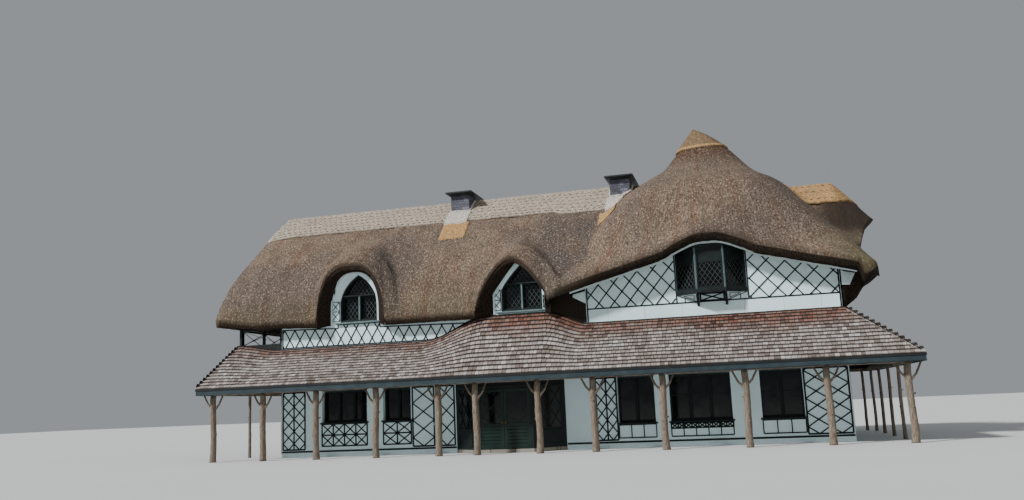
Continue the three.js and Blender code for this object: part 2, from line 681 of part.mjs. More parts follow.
function bayScreen(side) {
  const back = [BAY_X + side * (BAY_HALF_BACK - FIT), FRONT_WALL - FIT];
  const front = [BAY_X + side * (BAY_HALF_FRONT + FIT), FRONT_WALL - BAY_DEPTH];
  const slant = Math.hypot(BAY_HALF_BACK - BAY_HALF_FRONT, BAY_DEPTH);
  const inward = (side * BAY_FRAME * slant) / BAY_DEPTH;
  const outline = [back, front, [front[0], front[1] + BAY_FRAME], [back[0] - inward, back[1]]];
  const at = (share, offset) => [mix(back[0], front[0], share) + offset, mix(back[1], front[1], share)];
  const slab = (from, to, out, into, z0, z1) => {
    const plan = [at(from, side * out), at(to, side * out), at(to, -side * into), at(from, -side * into)];
    return prism(side < 0 ? plan : plan.reverse(), z0, z1);
  };
  const hole = slab(BAY_PANE.from, BAY_PANE.to, 2 * BAY_FRAME, 2 * BAY_FRAME, BAY_DADO, BAY_HEAD - BAY_FRAME);
  const glass = slab(
    BAY_PANE.from + BAY_PANE.play, BAY_PANE.to - BAY_PANE.play, -BAY_PANE.sink, BAY_PANE.sink + GLASS,
    BAY_DADO + FIT, BAY_HEAD - BAY_FRAME - FIT,
  );
  const screen = prism(side < 0 ? outline : outline.reverse(), bayFoot, BAY_HEAD);
  return { screen: screen.subtract(hole), glass };
}

for (const [side, word] of [[-1, 'left'], [1, 'right']]) {
  const { screen, glass } = bayScreen(side);
  place(`bay_screen_${word}`, screen, PAINT.timber);
  place(`bay_glass_${word}`, glass, PAINT.glass);
}
const bayFront = FRONT_WALL - BAY_DEPTH;
const jamb = BAY_HALF_FRONT - BAY_FRAME;
const doorFrame = block(
  BAY_X - BAY_HALF_FRONT, BAY_X + BAY_HALF_FRONT, bayFront, bayFront + BAY_FRAME, bayFoot, BAY_HEAD,
);
const doorway = block(
  BAY_X - jamb, BAY_X + jamb, bayFront - 1, bayFront + BAY_FRAME + 1, bayFoot - 1, DOOR_TOP + DOOR_GAP,
);
place('entrance_frame', doorFrame.subtract(doorway), PAINT.timber);
place('bay_roof', prism(bayOutline(), BAY_HEAD + FIT, BAY_ROOF), PAINT.timber);

// Double door: each leaf hangs on its jamb and opens inwards
const leafBack = bayFront + BAY_FRAME - DOOR_SINK;
const leafFront = leafBack - DOOR_THICK;

// A knuckle round the hinge's axis, just clear of the frame's edge, with the flap that ties it to its leaf
function hinge(side, outer, z) {
  const axisY = leafBack + HINGE.behind;
  const radius = Math.hypot(DOOR_GAP, axisY - bayFront - BAY_FRAME) - FIT;
  const knuckle = bar([outer, axisY, z], [outer, axisY, z + HINGE.high], radius, radius, HINGE.sides);
  const tip = outer - side * HINGE.flap;
  const [x0, x1] = [Math.min(outer, tip), Math.max(outer, tip)];
  const flap = block(x0, x1, leafBack - DOOR_SINK, axisY, z, z + HINGE.high);
  return knuckle.add(flap);
}

function doorLeaf(side) {
  const outer = BAY_X + side * (jamb - DOOR_GAP);
  const inner = BAY_X + side * (DOOR_GAP / 2);
  const x0 = Math.min(outer, inner);
  const x1 = Math.max(outer, inner);
  const leaf = block(x0, x1, leafFront, leafBack, DOOR_BOTTOM, DOOR_TOP);
  const panels = [[DOOR_BOTTOM + DOOR_RAIL, LOCK_RAIL], [LOCK_RAIL + DOOR_RAIL, DOOR_TOP - DOOR_RAIL]];
  const sinks = panels.flatMap(([z0, z1]) => [
    block(x0 + DOOR_RAIL, x1 - DOOR_RAIL, leafFront - 1, leafFront + PANEL_SINK, z0, z1),
    block(x0 + DOOR_RAIL, x1 - DOOR_RAIL, leafBack - PANEL_SINK, leafBack + 1, z0, z1),
  ]);
  return joinAll([cutAll(leaf, sinks), ...HINGE.heights.map((z) => hinge(side, outer, z))]);
}

place('door_left', doorLeaf(-1), PAINT.door);
place('door_right', doorLeaf(1), PAINT.door);

// Glass behind the windows of each wall
function paneBehind(x0, x1, y, z0, z1) {
  return block(x0 - GLASS_LAP, x1 + GLASS_LAP, y, y + GLASS, z0 - GLASS_LAP, z1 + GLASS_LAP);
}

const edge = (w, side) => w.x + (side * w.width) / 2;
const leftSpan = [edge(LEFT_WINDOWS[0], -1), edge(LEFT_WINDOWS.at(-1), 1)];
const rightSpan = [edge(RIGHT_WINDOWS[0], -1), edge(RIGHT_WINDOWS.at(-1), 1)];
const frontGlassY = insideWall + FIT;
const rearGlassY = -insideWall - FIT - GLASS;
place('glass_front_left', paneBehind(...leftSpan, frontGlassY, LEFT_SILL, WINDOW_HEAD), PAINT.glass);
place('glass_front_right', paneBehind(...rightSpan, frontGlassY, RIGHT_SILL, WINDOW_HEAD), PAINT.glass);
place('glass_rear', paneBehind(leftSpan[0], rightSpan[1], rearGlassY, RIGHT_SILL, WINDOW_HEAD), PAINT.glass);
const dormerSpan = [LEFT_DORMER.x - DORMER_HALF, MIDDLE_DORMER.x + DORMER_HALF];
place('glass_front_upper', underThatch(
  paneBehind(...dormerSpan, upperInside + FIT, DORMER_SILL, LEFT_DORMER.apex),
), PAINT.glass);
place('glass_rear_upper', underThatch(
  paneBehind(dormerSpan[0], ORIEL.x + orielHalf, -upperInside - FIT - GLASS, DORMER_SILL, LEFT_DORMER.apex),
), PAINT.glass);

function endPane(x, half, z0, z1) {
  return block(x, x + GLASS, -half - GLASS_LAP, half + GLASS_LAP, z0, z1 + GLASS_LAP);
}

place('glass_left', endPane(
  LEFT_WALL + WALL_THICK + FIT, END_WINDOW_WIDTH / 2, RIGHT_SILL - GLASS_LAP, WINDOW_HEAD,
), PAINT.glass);
place('glass_right', endPane(
  RIGHT_WALL - WALL_THICK - FIT - GLASS, END_WINDOW_WIDTH / 2, RIGHT_SILL - GLASS_LAP, WINDOW_HEAD,
), PAINT.glass);
place('glass_balcony_door', endPane(
  LEFT_WALL + UPPER_WALL_THICK + FIT, BALCONY_DOOR.half, upperFoot, BALCONY_DOOR.head,
), PAINT.glass);
place('glass_gablet', endPane(
  RIGHT_WALL - UPPER_WALL_THICK - FIT - GLASS, GABLET_WINDOW.half,
  GABLET_WINDOW.sill - GLASS_LAP, GABLET_WINDOW.head,
), PAINT.glass);

// Bow window on the gable: a three-sided frame on a bracketed board
const orielRun = ORIEL.half - ORIEL.halfFront;
const orielSlant = Math.hypot(orielRun, ORIEL.depth);

function orielPlan(inset) {
  const back = (inset * orielSlant) / ORIEL.depth;
  const corner = (inset * (orielSlant - orielRun)) / ORIEL.depth;
  return [
    [ORIEL.x - ORIEL.half + back, FRONT_WALL - FIT],
    [ORIEL.x - ORIEL.halfFront + corner, FRONT_WALL - ORIEL.depth + inset],
    [ORIEL.x + ORIEL.halfFront - corner, FRONT_WALL - ORIEL.depth + inset],
    [ORIEL.x + ORIEL.half - back, FRONT_WALL - FIT],
  ];
}

function orielRing(inset, thick, z0, z1) {
  return prism([...orielPlan(inset), ...orielPlan(inset + thick).reverse()], z0, z1);
}

const orielLow = ORIEL.sill + FIT;
const orielFrame = orielRing(0, ORIEL.frame, orielLow, ORIEL.head);
const paneLow = ORIEL.sill + ORIEL.frame;
const paneHigh = ORIEL.head - ORIEL.frame;
const frontPane = block(
  ORIEL.x - ORIEL.halfFront + ORIEL.frame, ORIEL.x + ORIEL.halfFront - ORIEL.frame,
  FRONT_WALL - ORIEL.depth - 1, FRONT_WALL - ORIEL.depth + ORIEL.frame + 1, paneLow, paneHigh,
);
const sidePanes = [-1, 1].map((side) => {
  const { from, to, reach } = ORIEL_PANE;
  const at = (share, push) => [
    ORIEL.x + side * mix(ORIEL.half, ORIEL.halfFront, share) + push, FRONT_WALL - share * ORIEL.depth,
  ];
  return prism([at(from, -reach), at(from, reach), at(to, reach), at(to, -reach)], paneLow, paneHigh);
});
place('bow_window_frame', cutAll(orielFrame, [frontPane, ...sidePanes]), PAINT.timber);
place('bow_window_glass', orielRing(ORIEL.frame + FIT, GLASS, orielLow, ORIEL.head), PAINT.glass);

// A bracket is drawn from the side, with Y across and Z up, then turned to stand across the front
function orielBracket(side) {
  const { thick, drop, back, embed } = ORIEL_BRACKET;
  const top = ORIEL.sill - embed;
  const under = ORIEL.sill - ORIEL_BOARD.thick;
  const tip = FRONT_WALL - ORIEL.depth + back;
  const wall = FRONT_WALL - FIT;
  const outline = [[tip, under - back], [tip, top], [wall, top], [wall, under - drop]];
  const x = ORIEL.x + side * ORIEL.halfFront - thick / 2;
  return prism(outline, 0, thick).rotate([90, 0, 90]).translate([x, 0, 0]);
}

const orielBoard = prism(orielPlan(-ORIEL_BOARD.lip), ORIEL.sill - ORIEL_BOARD.thick, ORIEL.sill);
place('bow_window_board', joinAll([orielBoard, orielBracket(-1), orielBracket(1)]), PAINT.timber);
place('bow_window_head', prism(
  orielPlan(-ORIEL_BOARD.lip), ORIEL.head + FIT, ORIEL.head + ORIEL_BOARD.thick,
), PAINT.timber);

// Shingled veranda roof
function waveTop(x) {
  const left = TOP_LEFT + (TOP_LEFT_END - TOP_LEFT) * (1 - ease(BALCONY_LEFT, LEFT_WALL, x));
  const up = ease(WAVE_LEFT, WAVE_CREST_LEFT, x);
  const down = ease(WAVE_CREST_RIGHT, WAVE_RIGHT, x);
  return mix(mix(left, WAVE_CREST, up), TOP_RIGHT, down);
}

function plainTop(x) {
  const left = TOP_LEFT + (TOP_LEFT_END - TOP_LEFT) * (1 - ease(BALCONY_LEFT, LEFT_WALL, x));
  return mix(left, TOP_RIGHT, ease(-1000, 3000, x));
}

const skirtColumns = stations([
  [BALCONY_LEFT, LEFT_WALL, 4], [LEFT_WALL, WAVE_LEFT, 2], [WAVE_LEFT, WAVE_CREST_LEFT, 6],
  [WAVE_CREST_LEFT, WAVE_CREST_RIGHT, 2], [WAVE_CREST_RIGHT, WAVE_RIGHT, 6], [WAVE_RIGHT, RIGHT_WALL, 3],
]);

function eaveX(x) {
  if (x === BALCONY_LEFT) {
    return VERANDA_LEFT;
  }
  return x === RIGHT_WALL ? VERANDA_RIGHT : x;
}

// Height of a point of the veranda roof: top surface, underside, or the sky above a trimming solid
function skirtZ(z, top, trim) {
  if (trim) {
    return top ? SKY : z - SHINGLE_THICK - 3 * FIT;
  }
  return top ? z : z - SHINGLE_THICK;
}

function longSkirt(side, topEdge, trim = false) {
  const wallY = side * -FRONT_WALL + side * FIT;
  const rows = side < 0 ? [0, 1] : [1, 0];
  const fit = trim ? -FIT : FIT;
  const endFit = (x) => (x === BALCONY_LEFT ? fit : -fit) * Number(x === BALCONY_LEFT || x === RIGHT_WALL);
  return sheet(skirtColumns, rows, (x, up, top) => {
    const z = mix(EAVE_UPPER, topEdge(x), up);
    return [mix(eaveX(x), x, up) + endFit(x), mix(side * -VERANDA_FRONT, wallY, up), skirtZ(z, top, trim)];
  });
}

function endSkirt(side, eave, wall, high, trim = false) {
  const columns = side < 0 ? [0, 1] : [1, 0];
  const topX = wall + side * FIT;
  return sheet(columns, [-1, 1], (up, row, top) => {
    const z = mix(EAVE_UPPER, high, up);
    const y = row * (mix(-VERANDA_FRONT, -FRONT_WALL, up) + (trim ? FIT : -FIT));
    return [mix(eave, topX, up), y, skirtZ(z, top, trim)];
  });
}

place('veranda_roof_front', longSkirt(-1, waveTop), PAINT.shingle);
place('veranda_roof_rear', longSkirt(1, plainTop), PAINT.shingle);
place('veranda_roof_left', endSkirt(-1, VERANDA_LEFT, BALCONY_LEFT, TOP_LEFT_END), PAINT.shingle);
place('veranda_roof_right', endSkirt(1, VERANDA_RIGHT, RIGHT_WALL, TOP_RIGHT), PAINT.shingle);
const overSkirts = [
  longSkirt(-1, waveTop, true), longSkirt(1, plainTop, true),
  endSkirt(-1, VERANDA_LEFT, BALCONY_LEFT, TOP_LEFT_END, true),
  endSkirt(1, VERANDA_RIGHT, RIGHT_WALL, TOP_RIGHT, true),
];

// Fascia boards under the edge of the shingles
const fasciaOut = -VERANDA_FRONT - FASCIA.inset;
const fasciaIn = fasciaOut - FASCIA.thick;
const fasciaLeft = VERANDA_LEFT + FASCIA.inset;
const fasciaRight = VERANDA_RIGHT - FASCIA.inset;
const fasciaHigh = TOP_LEFT;
for (const [word, y0, y1] of [['front', -fasciaOut, -fasciaIn], ['rear', fasciaIn, fasciaOut]]) {
  const plank = block(fasciaLeft, fasciaRight, y0, y1, FASCIA.bottom, fasciaHigh);
  place(`fascia_${word}`, cutAll(plank, overSkirts), PAINT.fascia);
}
for (const [word, x0, x1] of [
  ['left', fasciaLeft, fasciaLeft + FASCIA.thick], ['right', fasciaRight - FASCIA.thick, fasciaRight],
]) {
  const plank = block(x0, x1, FIT - fasciaIn, fasciaIn - FIT, FASCIA.bottom, fasciaHigh);
  place(`fascia_${word}`, cutAll(plank, overSkirts), PAINT.fascia);
}

// Tree-trunk posts with their branches, each row joined by the beam that it carries
function trunk(x, y, radius, top) {
  return bar([x, y, 0], [x, y, top], radius * TRUNK_FLARE, radius * TRUNK_TAPER);
}

function branches(x, y) {
  return [-1, 1].map((side) => bar(
    [x, y, BRANCH.low], [x + side * BRANCH.reach, y, POST_TOP + POST_EMBED],
    BRANCH.radius, BRANCH.radius * BRANCH.taper, 6,
  ));
}

function beamAlongX(x0, x1, y) {
  return block(x0, x1, y - BEAM / 2, y + BEAM / 2, POST_TOP, BEAM_LIMIT);
}

const postY = -VERANDA_FRONT - POST_LINE;
const beamLeftX = VERANDA_LEFT + POST_LINE;
const beamRightX = VERANDA_RIGHT - POST_LINE;

function postRow(name, beam, feet, radius, top = POST_TOP + POST_EMBED) {
  const posts = feet.map(([x, y]) => trunk(x, y, radius, top));
  const forks = radius === POST_RADIUS ? feet.flatMap(([x, y]) => branches(x, y)) : [];
  place(name, joinAll([cutAll(beam, overSkirts), ...posts, ...forks]), PAINT.bark);
}

const beamEnd = BEAM / 2;
postRow(
  'posts_front_left', beamAlongX(beamLeftX - beamEnd, FRONT_BEAM_SPLIT - FIT, -postY),
  FRONT_POSTS_LEFT.map((x) => [x, -postY]), POST_RADIUS,
);
postRow(
  'posts_front_right', beamAlongX(FRONT_BEAM_SPLIT, beamRightX + beamEnd, -postY),
  FRONT_POSTS_RIGHT.map((x) => [x, -postY]), POST_RADIUS,
);
postRow(
  'posts_rear', beamAlongX(beamLeftX - beamEnd, beamRightX + beamEnd, postY),
  REAR_POSTS.map((x) => [x, postY]), SLENDER_RADIUS,
);

// The side rows; the posts on the left go on up to the floor of the balcony
function sideRow(name, x, list, beamTop, top) {
  const inside = postY - POST_RADIUS - FIT;
  const beam = block(x - beamEnd, x + beamEnd, -inside, inside, POST_TOP, beamTop);
  postRow(name, beam, list.map((y) => [x, y]), SLENDER_RADIUS, top);
}

sideRow('posts_left', beamLeftX, LEFT_POSTS, LEFT_BEAM_TOP, STOREY_TOP - FIT);
sideRow('posts_right', beamRightX, RIGHT_POSTS, BEAM_LIMIT);

// A flat bar of the balcony, from its boarded foot up to its rail
function brace(from, to, y, half) {
  const low = BALCONY.parapet - BALCONY_BRACE.embed;
  const high = BALCONY.rail + BALCONY_BRACE.embed;
  const shape = new THREE.Shape();
  shape.moveTo(from - half, low);
  shape.lineTo(from + half, low);
  shape.lineTo(to + half, high);
  shape.lineTo(to - half, high);
  return upright(shape, y - half, y + half);
}

// Balcony sides: a boarded foot, posts up to the thatch, a rail and crossed braces
function balconySide(length) {
  const { thick, post, parapet, rail, railDeep, bay } = BALCONY;
  const { half, crossed, inset } = BALCONY_BRACE;
  const inner = [post / 2, length - post / 2, inset, thick - inset];
  const parts = [
    block(...inner, upperFoot + inset, parapet),
    block(...inner, rail, rail + railDeep),
  ];
  const bays = Math.max(1, Math.round(length / bay));
  const step = (length - post) / bays;
  for (let i = 0; i <= bays; i += 1) {
    parts.push(block(i * step, i * step + post, 0, thick, upperFoot, RIDGE_TOP));
  }
  for (let i = 0; i < bays; i += 1) {
    const near = i * step + post / 2;
    parts.push(brace(near, near + step, thick / 2, half));
    parts.push(brace(near + step, near, thick / 2, crossed));
  }
  return joinAll(parts);
}

const balconyWide = LEFT_WALL - BALCONY_LEFT - FIT;
const balconyDeep = -2 * FRONT_WALL - 2 * (BALCONY.thick + FIT);
place('balcony_front', underThatch(
  balconySide(balconyWide).translate([BALCONY_LEFT, FRONT_WALL, 0]),
), PAINT.timber);
place('balcony_rear', underThatch(
  balconySide(balconyWide).translate([BALCONY_LEFT, -FRONT_WALL - BALCONY.thick, 0]),
), PAINT.timber);
place('balcony_left', underThatch(
  balconySide(balconyDeep).rotate([0, 0, 90]).translate([BALCONY_LEFT + BALCONY.thick, -balconyDeep / 2, 0]),
), PAINT.timber);

export default cottage;
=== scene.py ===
"""Looks of the thatched cottage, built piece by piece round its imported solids.

Every place is in metres in the frame of the solids: X runs along the front, the front looks along -Y,
Z is up and the origin lies on the ground in the middle of the plan.
"""
import logging
import math
from collections.abc import Sequence
from dataclasses import dataclass
from enum import Enum

import bpy
import numpy as np
from mathutils import Matrix, Vector


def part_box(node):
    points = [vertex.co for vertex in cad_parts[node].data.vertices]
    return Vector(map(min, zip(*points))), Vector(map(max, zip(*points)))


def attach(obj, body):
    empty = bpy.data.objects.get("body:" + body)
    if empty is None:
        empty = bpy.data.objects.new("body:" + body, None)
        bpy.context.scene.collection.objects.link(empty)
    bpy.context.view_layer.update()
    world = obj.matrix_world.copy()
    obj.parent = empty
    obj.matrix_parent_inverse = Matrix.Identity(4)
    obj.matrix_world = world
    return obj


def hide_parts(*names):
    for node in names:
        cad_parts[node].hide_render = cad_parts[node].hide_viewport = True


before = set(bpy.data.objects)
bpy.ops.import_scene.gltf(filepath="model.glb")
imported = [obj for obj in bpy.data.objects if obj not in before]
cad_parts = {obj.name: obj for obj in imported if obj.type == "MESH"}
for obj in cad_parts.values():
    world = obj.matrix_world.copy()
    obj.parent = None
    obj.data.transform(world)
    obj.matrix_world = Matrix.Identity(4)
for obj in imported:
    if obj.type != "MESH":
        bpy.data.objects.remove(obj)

logging.basicConfig(level=logging.INFO, format="%(message)s")
log = logging.getLogger("cottage")

HOUSE = "house"
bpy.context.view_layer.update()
# A bar shorter than this, in metres, is left out
SHORTEST = 1e-4
Point2 = tuple[float, float]
Point3 = tuple[float, float, float]
Socket = bpy.types.NodeSocket


# Colour and shader helpers

def linear(code: str) -> tuple[float, float, float, float]:
    """Turn an sRGB hex value into a linear colour.

    Args:
        code: six hex digits, such as "8a7a66".

    Returns:
        Linear red, green, blue and an alpha of one.
    """
    parts = [int(code[i:i + 2], 16) / 255 for i in (0, 2, 4)]
    lin = [p / 12.92 if p <= 0.04045 else ((p + 0.055) / 1.055) ** 2.4 for p in parts]
    return (lin[0], lin[1], lin[2], 1.0)


def per(*sizes: float) -> tuple[float, ...]:
    """Turn real sizes in millimetres into texture scales per metre."""
    return tuple(1000.0 / size for size in sizes)


def add(
    tree: bpy.types.NodeTree, kind: str, wires: dict | None = None,
    stops: Sequence[tuple[float, str]] = (), **settings: object,
) -> bpy.types.Node:
    """Add a node with its settings and links.

    Args:
        tree: the node tree that gets the node.
        kind: the node's type.
        wires: a value, or another node's output socket, for each input by name or number.
        stops: places and hex colours of a colour ramp.
        settings: properties of the node.

    Returns:
        The new node.
    """
    node = tree.nodes.new(kind)
    for key, value in settings.items():
        setattr(node, key, value)
    for key, value in (wires or {}).items():
        if isinstance(value, Socket):
            tree.links.new(value, node.inputs[key])
        else:
            node.inputs[key].default_value = value
    if stops:
        ramp = node.color_ramp.elements
        while len(ramp) < len(stops):
            ramp.new(0.5)
        for element, (place, code) in zip(ramp, stops):
            element.position = place
            element.color = linear(code)
    return node


class Coords(Enum):
    """Where a pattern takes its coordinates from."""

    OBJECT = "object"
    GRAIN = "grain"


class Surface:
    """A material being made: its Principled shader, its coordinates and its patterns."""

    def __init__(
        self, name: str, coords: Coords, rough: float, ior: float = 1.5, metallic: float = 0.0,
        specular: float = 0.5,
    ) -> None:
        """Start a material with the typical values of what it is made of.

        Args:
            name: what it is and how it was made.
            coords: where its patterns take their coordinates from.
            rough: its roughness.
            ior: its index of refraction.
            metallic: 1 for bare metal, less where it is oxidised.
            specular: the strength of its gloss, 0.5 being the typical one.
        """
        self.material = bpy.data.materials.new(name)
        self.material.use_nodes = True
        self.tree = self.material.node_tree
        self.shader = self.tree.nodes["Principled BSDF"]
        for socket, value in (
            ("Roughness", rough), ("IOR", ior), ("Metallic", metallic), ("Specular IOR Level", specular),
        ):
            self.shader.inputs[socket].default_value = value
        if coords is Coords.OBJECT:
            self.where = add(self.tree, "ShaderNodeTexCoord").outputs["Object"]
        else:
            self.where = add(self.tree, "ShaderNodeUVMap", uv_map="grain").outputs["UV"]

    def pattern(
        self, sizes: Sequence[float], detail: float = 3.0, rough: float = 0.55, shift: float = 0.0,
        source: Socket | None = None,
    ) -> Socket:
        """Start a cloudy or streaky pattern of a real size.

        Args:
            sizes: its grain in millimetres along each coordinate; the last one stands for those left out.
            detail: octaves of finer grain.
            rough: strength of the finer grain.
            shift: moves the pattern, so that two of the same size differ.
            source: other coordinates to read.

        Returns:
            The pattern from 0 to 1.
        """
        three = list(sizes) + [sizes[-1]] * (3 - len(sizes))
        mapping = add(self.tree, "ShaderNodeMapping", {
            "Vector": source or self.where, "Scale": per(*three),
            "Location": (shift, shift * 0.7, shift * 1.3),
        })
        return add(self.tree, "ShaderNodeTexNoise", {
            "Vector": mapping.outputs[0], "Scale": 1.0, "Detail": detail, "Roughness": rough,
        }).outputs[0]

    def lay(
        self, under: Socket | str, over: Socket | str, where: Socket | str,
        low: float = 0.0, high: float = 1.0,
        share: Socket | float = 1.0,
    ) -> Socket:
        """Lay one colour over another where a pattern is strong.

        Args:
            under: the colour below, which may be a hex value.
            over: the colour on top, which may be a hex value.
            where: the pattern, or the name of a number that the mesh carries.
            low: the pattern's value where the colour on top starts to show.
            high: the value where it shows fully; a value below low turns the pattern round.
            share: how much of it shows at most.

        Returns:
            The colour that results.
        """
        if isinstance(where, str):
            where = add(self.tree, "ShaderNodeAttribute", attribute_name=where).outputs["Fac"]
        strong = add(self.tree, "ShaderNodeMapRange", {0: where, 1: low, 2: high}, clamp=True)
        part = add(self.tree, "ShaderNodeMath", {0: strong.outputs[0], 1: share}, operation="MULTIPLY")
        below, above = (linear(c) if isinstance(c, str) else c for c in (under, over))
        return add(
            self.tree, "ShaderNodeMix", {0: part.outputs[0], 6: below, 7: above}, data_type="RGBA",
        ).outputs[2]

    def paint(self, colour: Socket) -> bpy.types.Material:
        """Give the shader its colour, and hand over the material."""
        self.tree.links.new(colour, self.shader.inputs["Base Color"])
        return self.material

    def roughen(
        self, pattern: Socket, low: float = 0.0, high: float = 1.0, least: float = 0.0, most: float = 1.0,
    ) -> None:
        """Give the shader a roughness that changes over the surface.

        Args:
            pattern: what it follows.
            low: the pattern's value where the surface is smoothest.
            high: the value where it is roughest.
            least: the roughness at low.
            most: the roughness at high.
        """
        links = {0: pattern, 1: low, 2: high, 3: least, 4: most}
        node = add(self.tree, "ShaderNodeMapRange", links, clamp=True)
        self.tree.links.new(node.outputs[0], self.shader.inputs["Roughness"])

    def bump(self, height: Socket, depth: float, strength: float = 1.0) -> None:
        """Raise a pattern from the surface.

        Args:
            height: the pattern.
            depth: its depth in millimetres.
            strength: its share.
        """
        old = self.shader.inputs["Normal"].links
        wires = {"Height": height, "Distance": depth / 1000, "Strength": strength}
        if old:
            wires["Normal"] = old[0].from_socket
        node = add(self.tree, "ShaderNodeBump", wires)
        self.tree.links.new(node.outputs[0], self.shader.inputs["Normal"])


# Finishes, each named for what it is and how it was made

@dataclass(frozen=True)
class Thatch:
    """Long straw, combed down the slope and weathered for years."""

    name: str = "straw_thatch_combed_weathered"
    base: str = "655548"
    pale: str = "94816f"
    bleached: str = "c0ad97"
    red: str = "75503c"
    rust: str = "56382a"
    damp: str = "483d35"
    worn: str = "544d4a"
    wet: str = "504a47"
    dark: str = "2b231d"
    moss: str = "5d5f35"
    cut_ends_and_shade: tuple[str, str] = ("130f0b", "33281e")

    def make(self) -> bpy.types.Material:
        """Matt brown-grey straw with combed streaks, rusty runs, dark mottles and moss in damp places,
        painted shade in the valley beside the tent and on the waves' right flanks, and near-black cut ends
        that also stand for painted shade.

        Returns:
            the material.
        """
        s = Surface(self.name, Coords.GRAIN, 0.95, specular=0.2)
        plan = add(s.tree, "ShaderNodeTexCoord").outputs["Object"]
        # Single straws are 5 mm thick; they are drawn 18 mm thick, so that they show from the front
        straws = s.pattern((190, 18), 3, 0.7)
        tufts = s.pattern((85, 50), 3, 0.7, 3.1)
        runs = s.pattern((3400, 420), 3, 0.55, 7.7)
        clouds = s.pattern((900,), 4, 0.6, 1.9, plan)
        drift = s.pattern((2600, 2600, 4200), 2, 0.5, 6.2, plan)
        pits = s.pattern((60,), 3, 0.7, 5.3, plan)
        colour = s.lay(self.base, self.pale, tufts, 0.38, 0.62)
        colour = s.lay(colour, self.red, runs, 0.5, 0.68, 0.55)
        colour = s.lay(colour, self.damp, clouds, 0.42, 0.68, 0.5)
        colour = s.lay(colour, self.worn, drift, 0.46, 0.62, 0.5)
        colour = s.lay(colour, self.rust, "rust", share=0.85)
        # Painted shade: in the valley beside the tent and on the right flank of each wave, the straw is
        # darker between the clouds
        shade_weight = add(s.tree, "ShaderNodeAttribute", attribute_name="wet").outputs["Fac"]
        colour = s.lay(colour, self.wet, clouds, 0.75, 0.35, shade_weight)
        colour = s.lay(colour, self.dark, straws, 0.6, 0.36, 0.7)
        colour = s.lay(colour, self.dark, pits, 0.54, 0.68, 0.85)
        colour = s.lay(colour, self.bleached, pits, 0.44, 0.32, 0.65)
        damp = add(s.tree, "ShaderNodeAttribute", attribute_name="moss").outputs["Fac"]
        colour = s.lay(colour, self.moss, pits, 0.3, 0.62, damp)
        # Near-black cut ends: underneath and along the rims their darkness also stands for painted shade
        colour = s.lay(colour, s.lay(*self.cut_ends_and_shade, pits, 0.4, 0.6), "cut")
        s.bump(tufts, 28, 0.8)
        s.bump(straws, 9, 0.9)
        return s.paint(colour)


@dataclass(frozen=True)
class NewStraw:
    """Straw of a ridge cap, newer than the slopes and block-cut."""

    name: str
    pale: str = "cbbfad"
    deep: str = "62564a"
    stain: str = "80766a"
    cut_ends_and_shade: str = "4a3d2e"

    def make(self) -> bpy.types.Material:
        """Pale straw with fine lines down the slope, greyer where the weather has worn it, and darker along
        its cut foot, partly as painted shade.

        Returns:
            the material.
        """
        s = Surface(self.name, Coords.GRAIN, 0.9, specular=0.25)
        plan = add(s.tree, "ShaderNodeTexCoord").outputs["Object"]
        # Straws of 5 mm are drawn 16 mm thick, so that they show
        straws = s.pattern((160, 16), 3, 0.7)
        tufts = s.pattern((95, 130), 3, 0.7, 2.3)
        clouds = s.pattern((700,), 4, 0.6, 4.4, plan)
        pits = s.pattern((55, 90, 55), 3, 0.7, 2.7, plan)
        colour = s.lay(self.deep, self.pale, straws, 0.4, 0.6)
        colour = s.lay(colour, self.deep, pits, 0.54, 0.66, 0.55)
        colour = s.lay(colour, self.pale, pits, 0.46, 0.36, 0.4)
        colour = s.lay(colour, self.deep, tufts, 0.5, 0.64, 0.7)
        colour = s.lay(colour, self.stain, clouds, 0.5, 0.72, 0.6)
        # Dark cut ends at the foot and underneath, partly painted shade under the cap's edge
        colour = s.lay(colour, self.cut_ends_and_shade, "cut")
        s.bump(tufts, 16, 0.7)
        s.bump(straws, 6, 0.8)
        return s.paint(colour)


@dataclass(frozen=True)
class LimePlaster:
    """Lime plaster, trowelled and limewashed."""

    name: str = "lime_plaster_trowelled"
    wash: str = "dbf2f5"
    damp: str = "bdd2d2"
    drip: str = "a9b0aa"

    def make(self) -> bpy.types.Material:
        """Cool chalky white, softly uneven from the trowel, with faint damp in soft clouds.

        Returns:
            the material.
        """
        s = Surface(self.name, Coords.OBJECT, 0.85)
        clouds = s.pattern((1300, 1300, 1800), 4, 0.55)
        drips = s.pattern((160, 160, 1500), 3, 0.6, 2.0)
        trowel = s.pattern((240, 240, 200), 3, 0.5, 5.0)
        sand = s.pattern((12,), 2, 0.6, 1.0)
        colour = s.lay(self.wash, self.damp, clouds, 0.45, 0.75, 0.4)
        s.bump(trowel, 8, 0.5)
        s.bump(sand, 1.2, 0.4)
        return s.paint(s.lay(colour, self.drip, drips, 0.6, 0.8, 0.3))


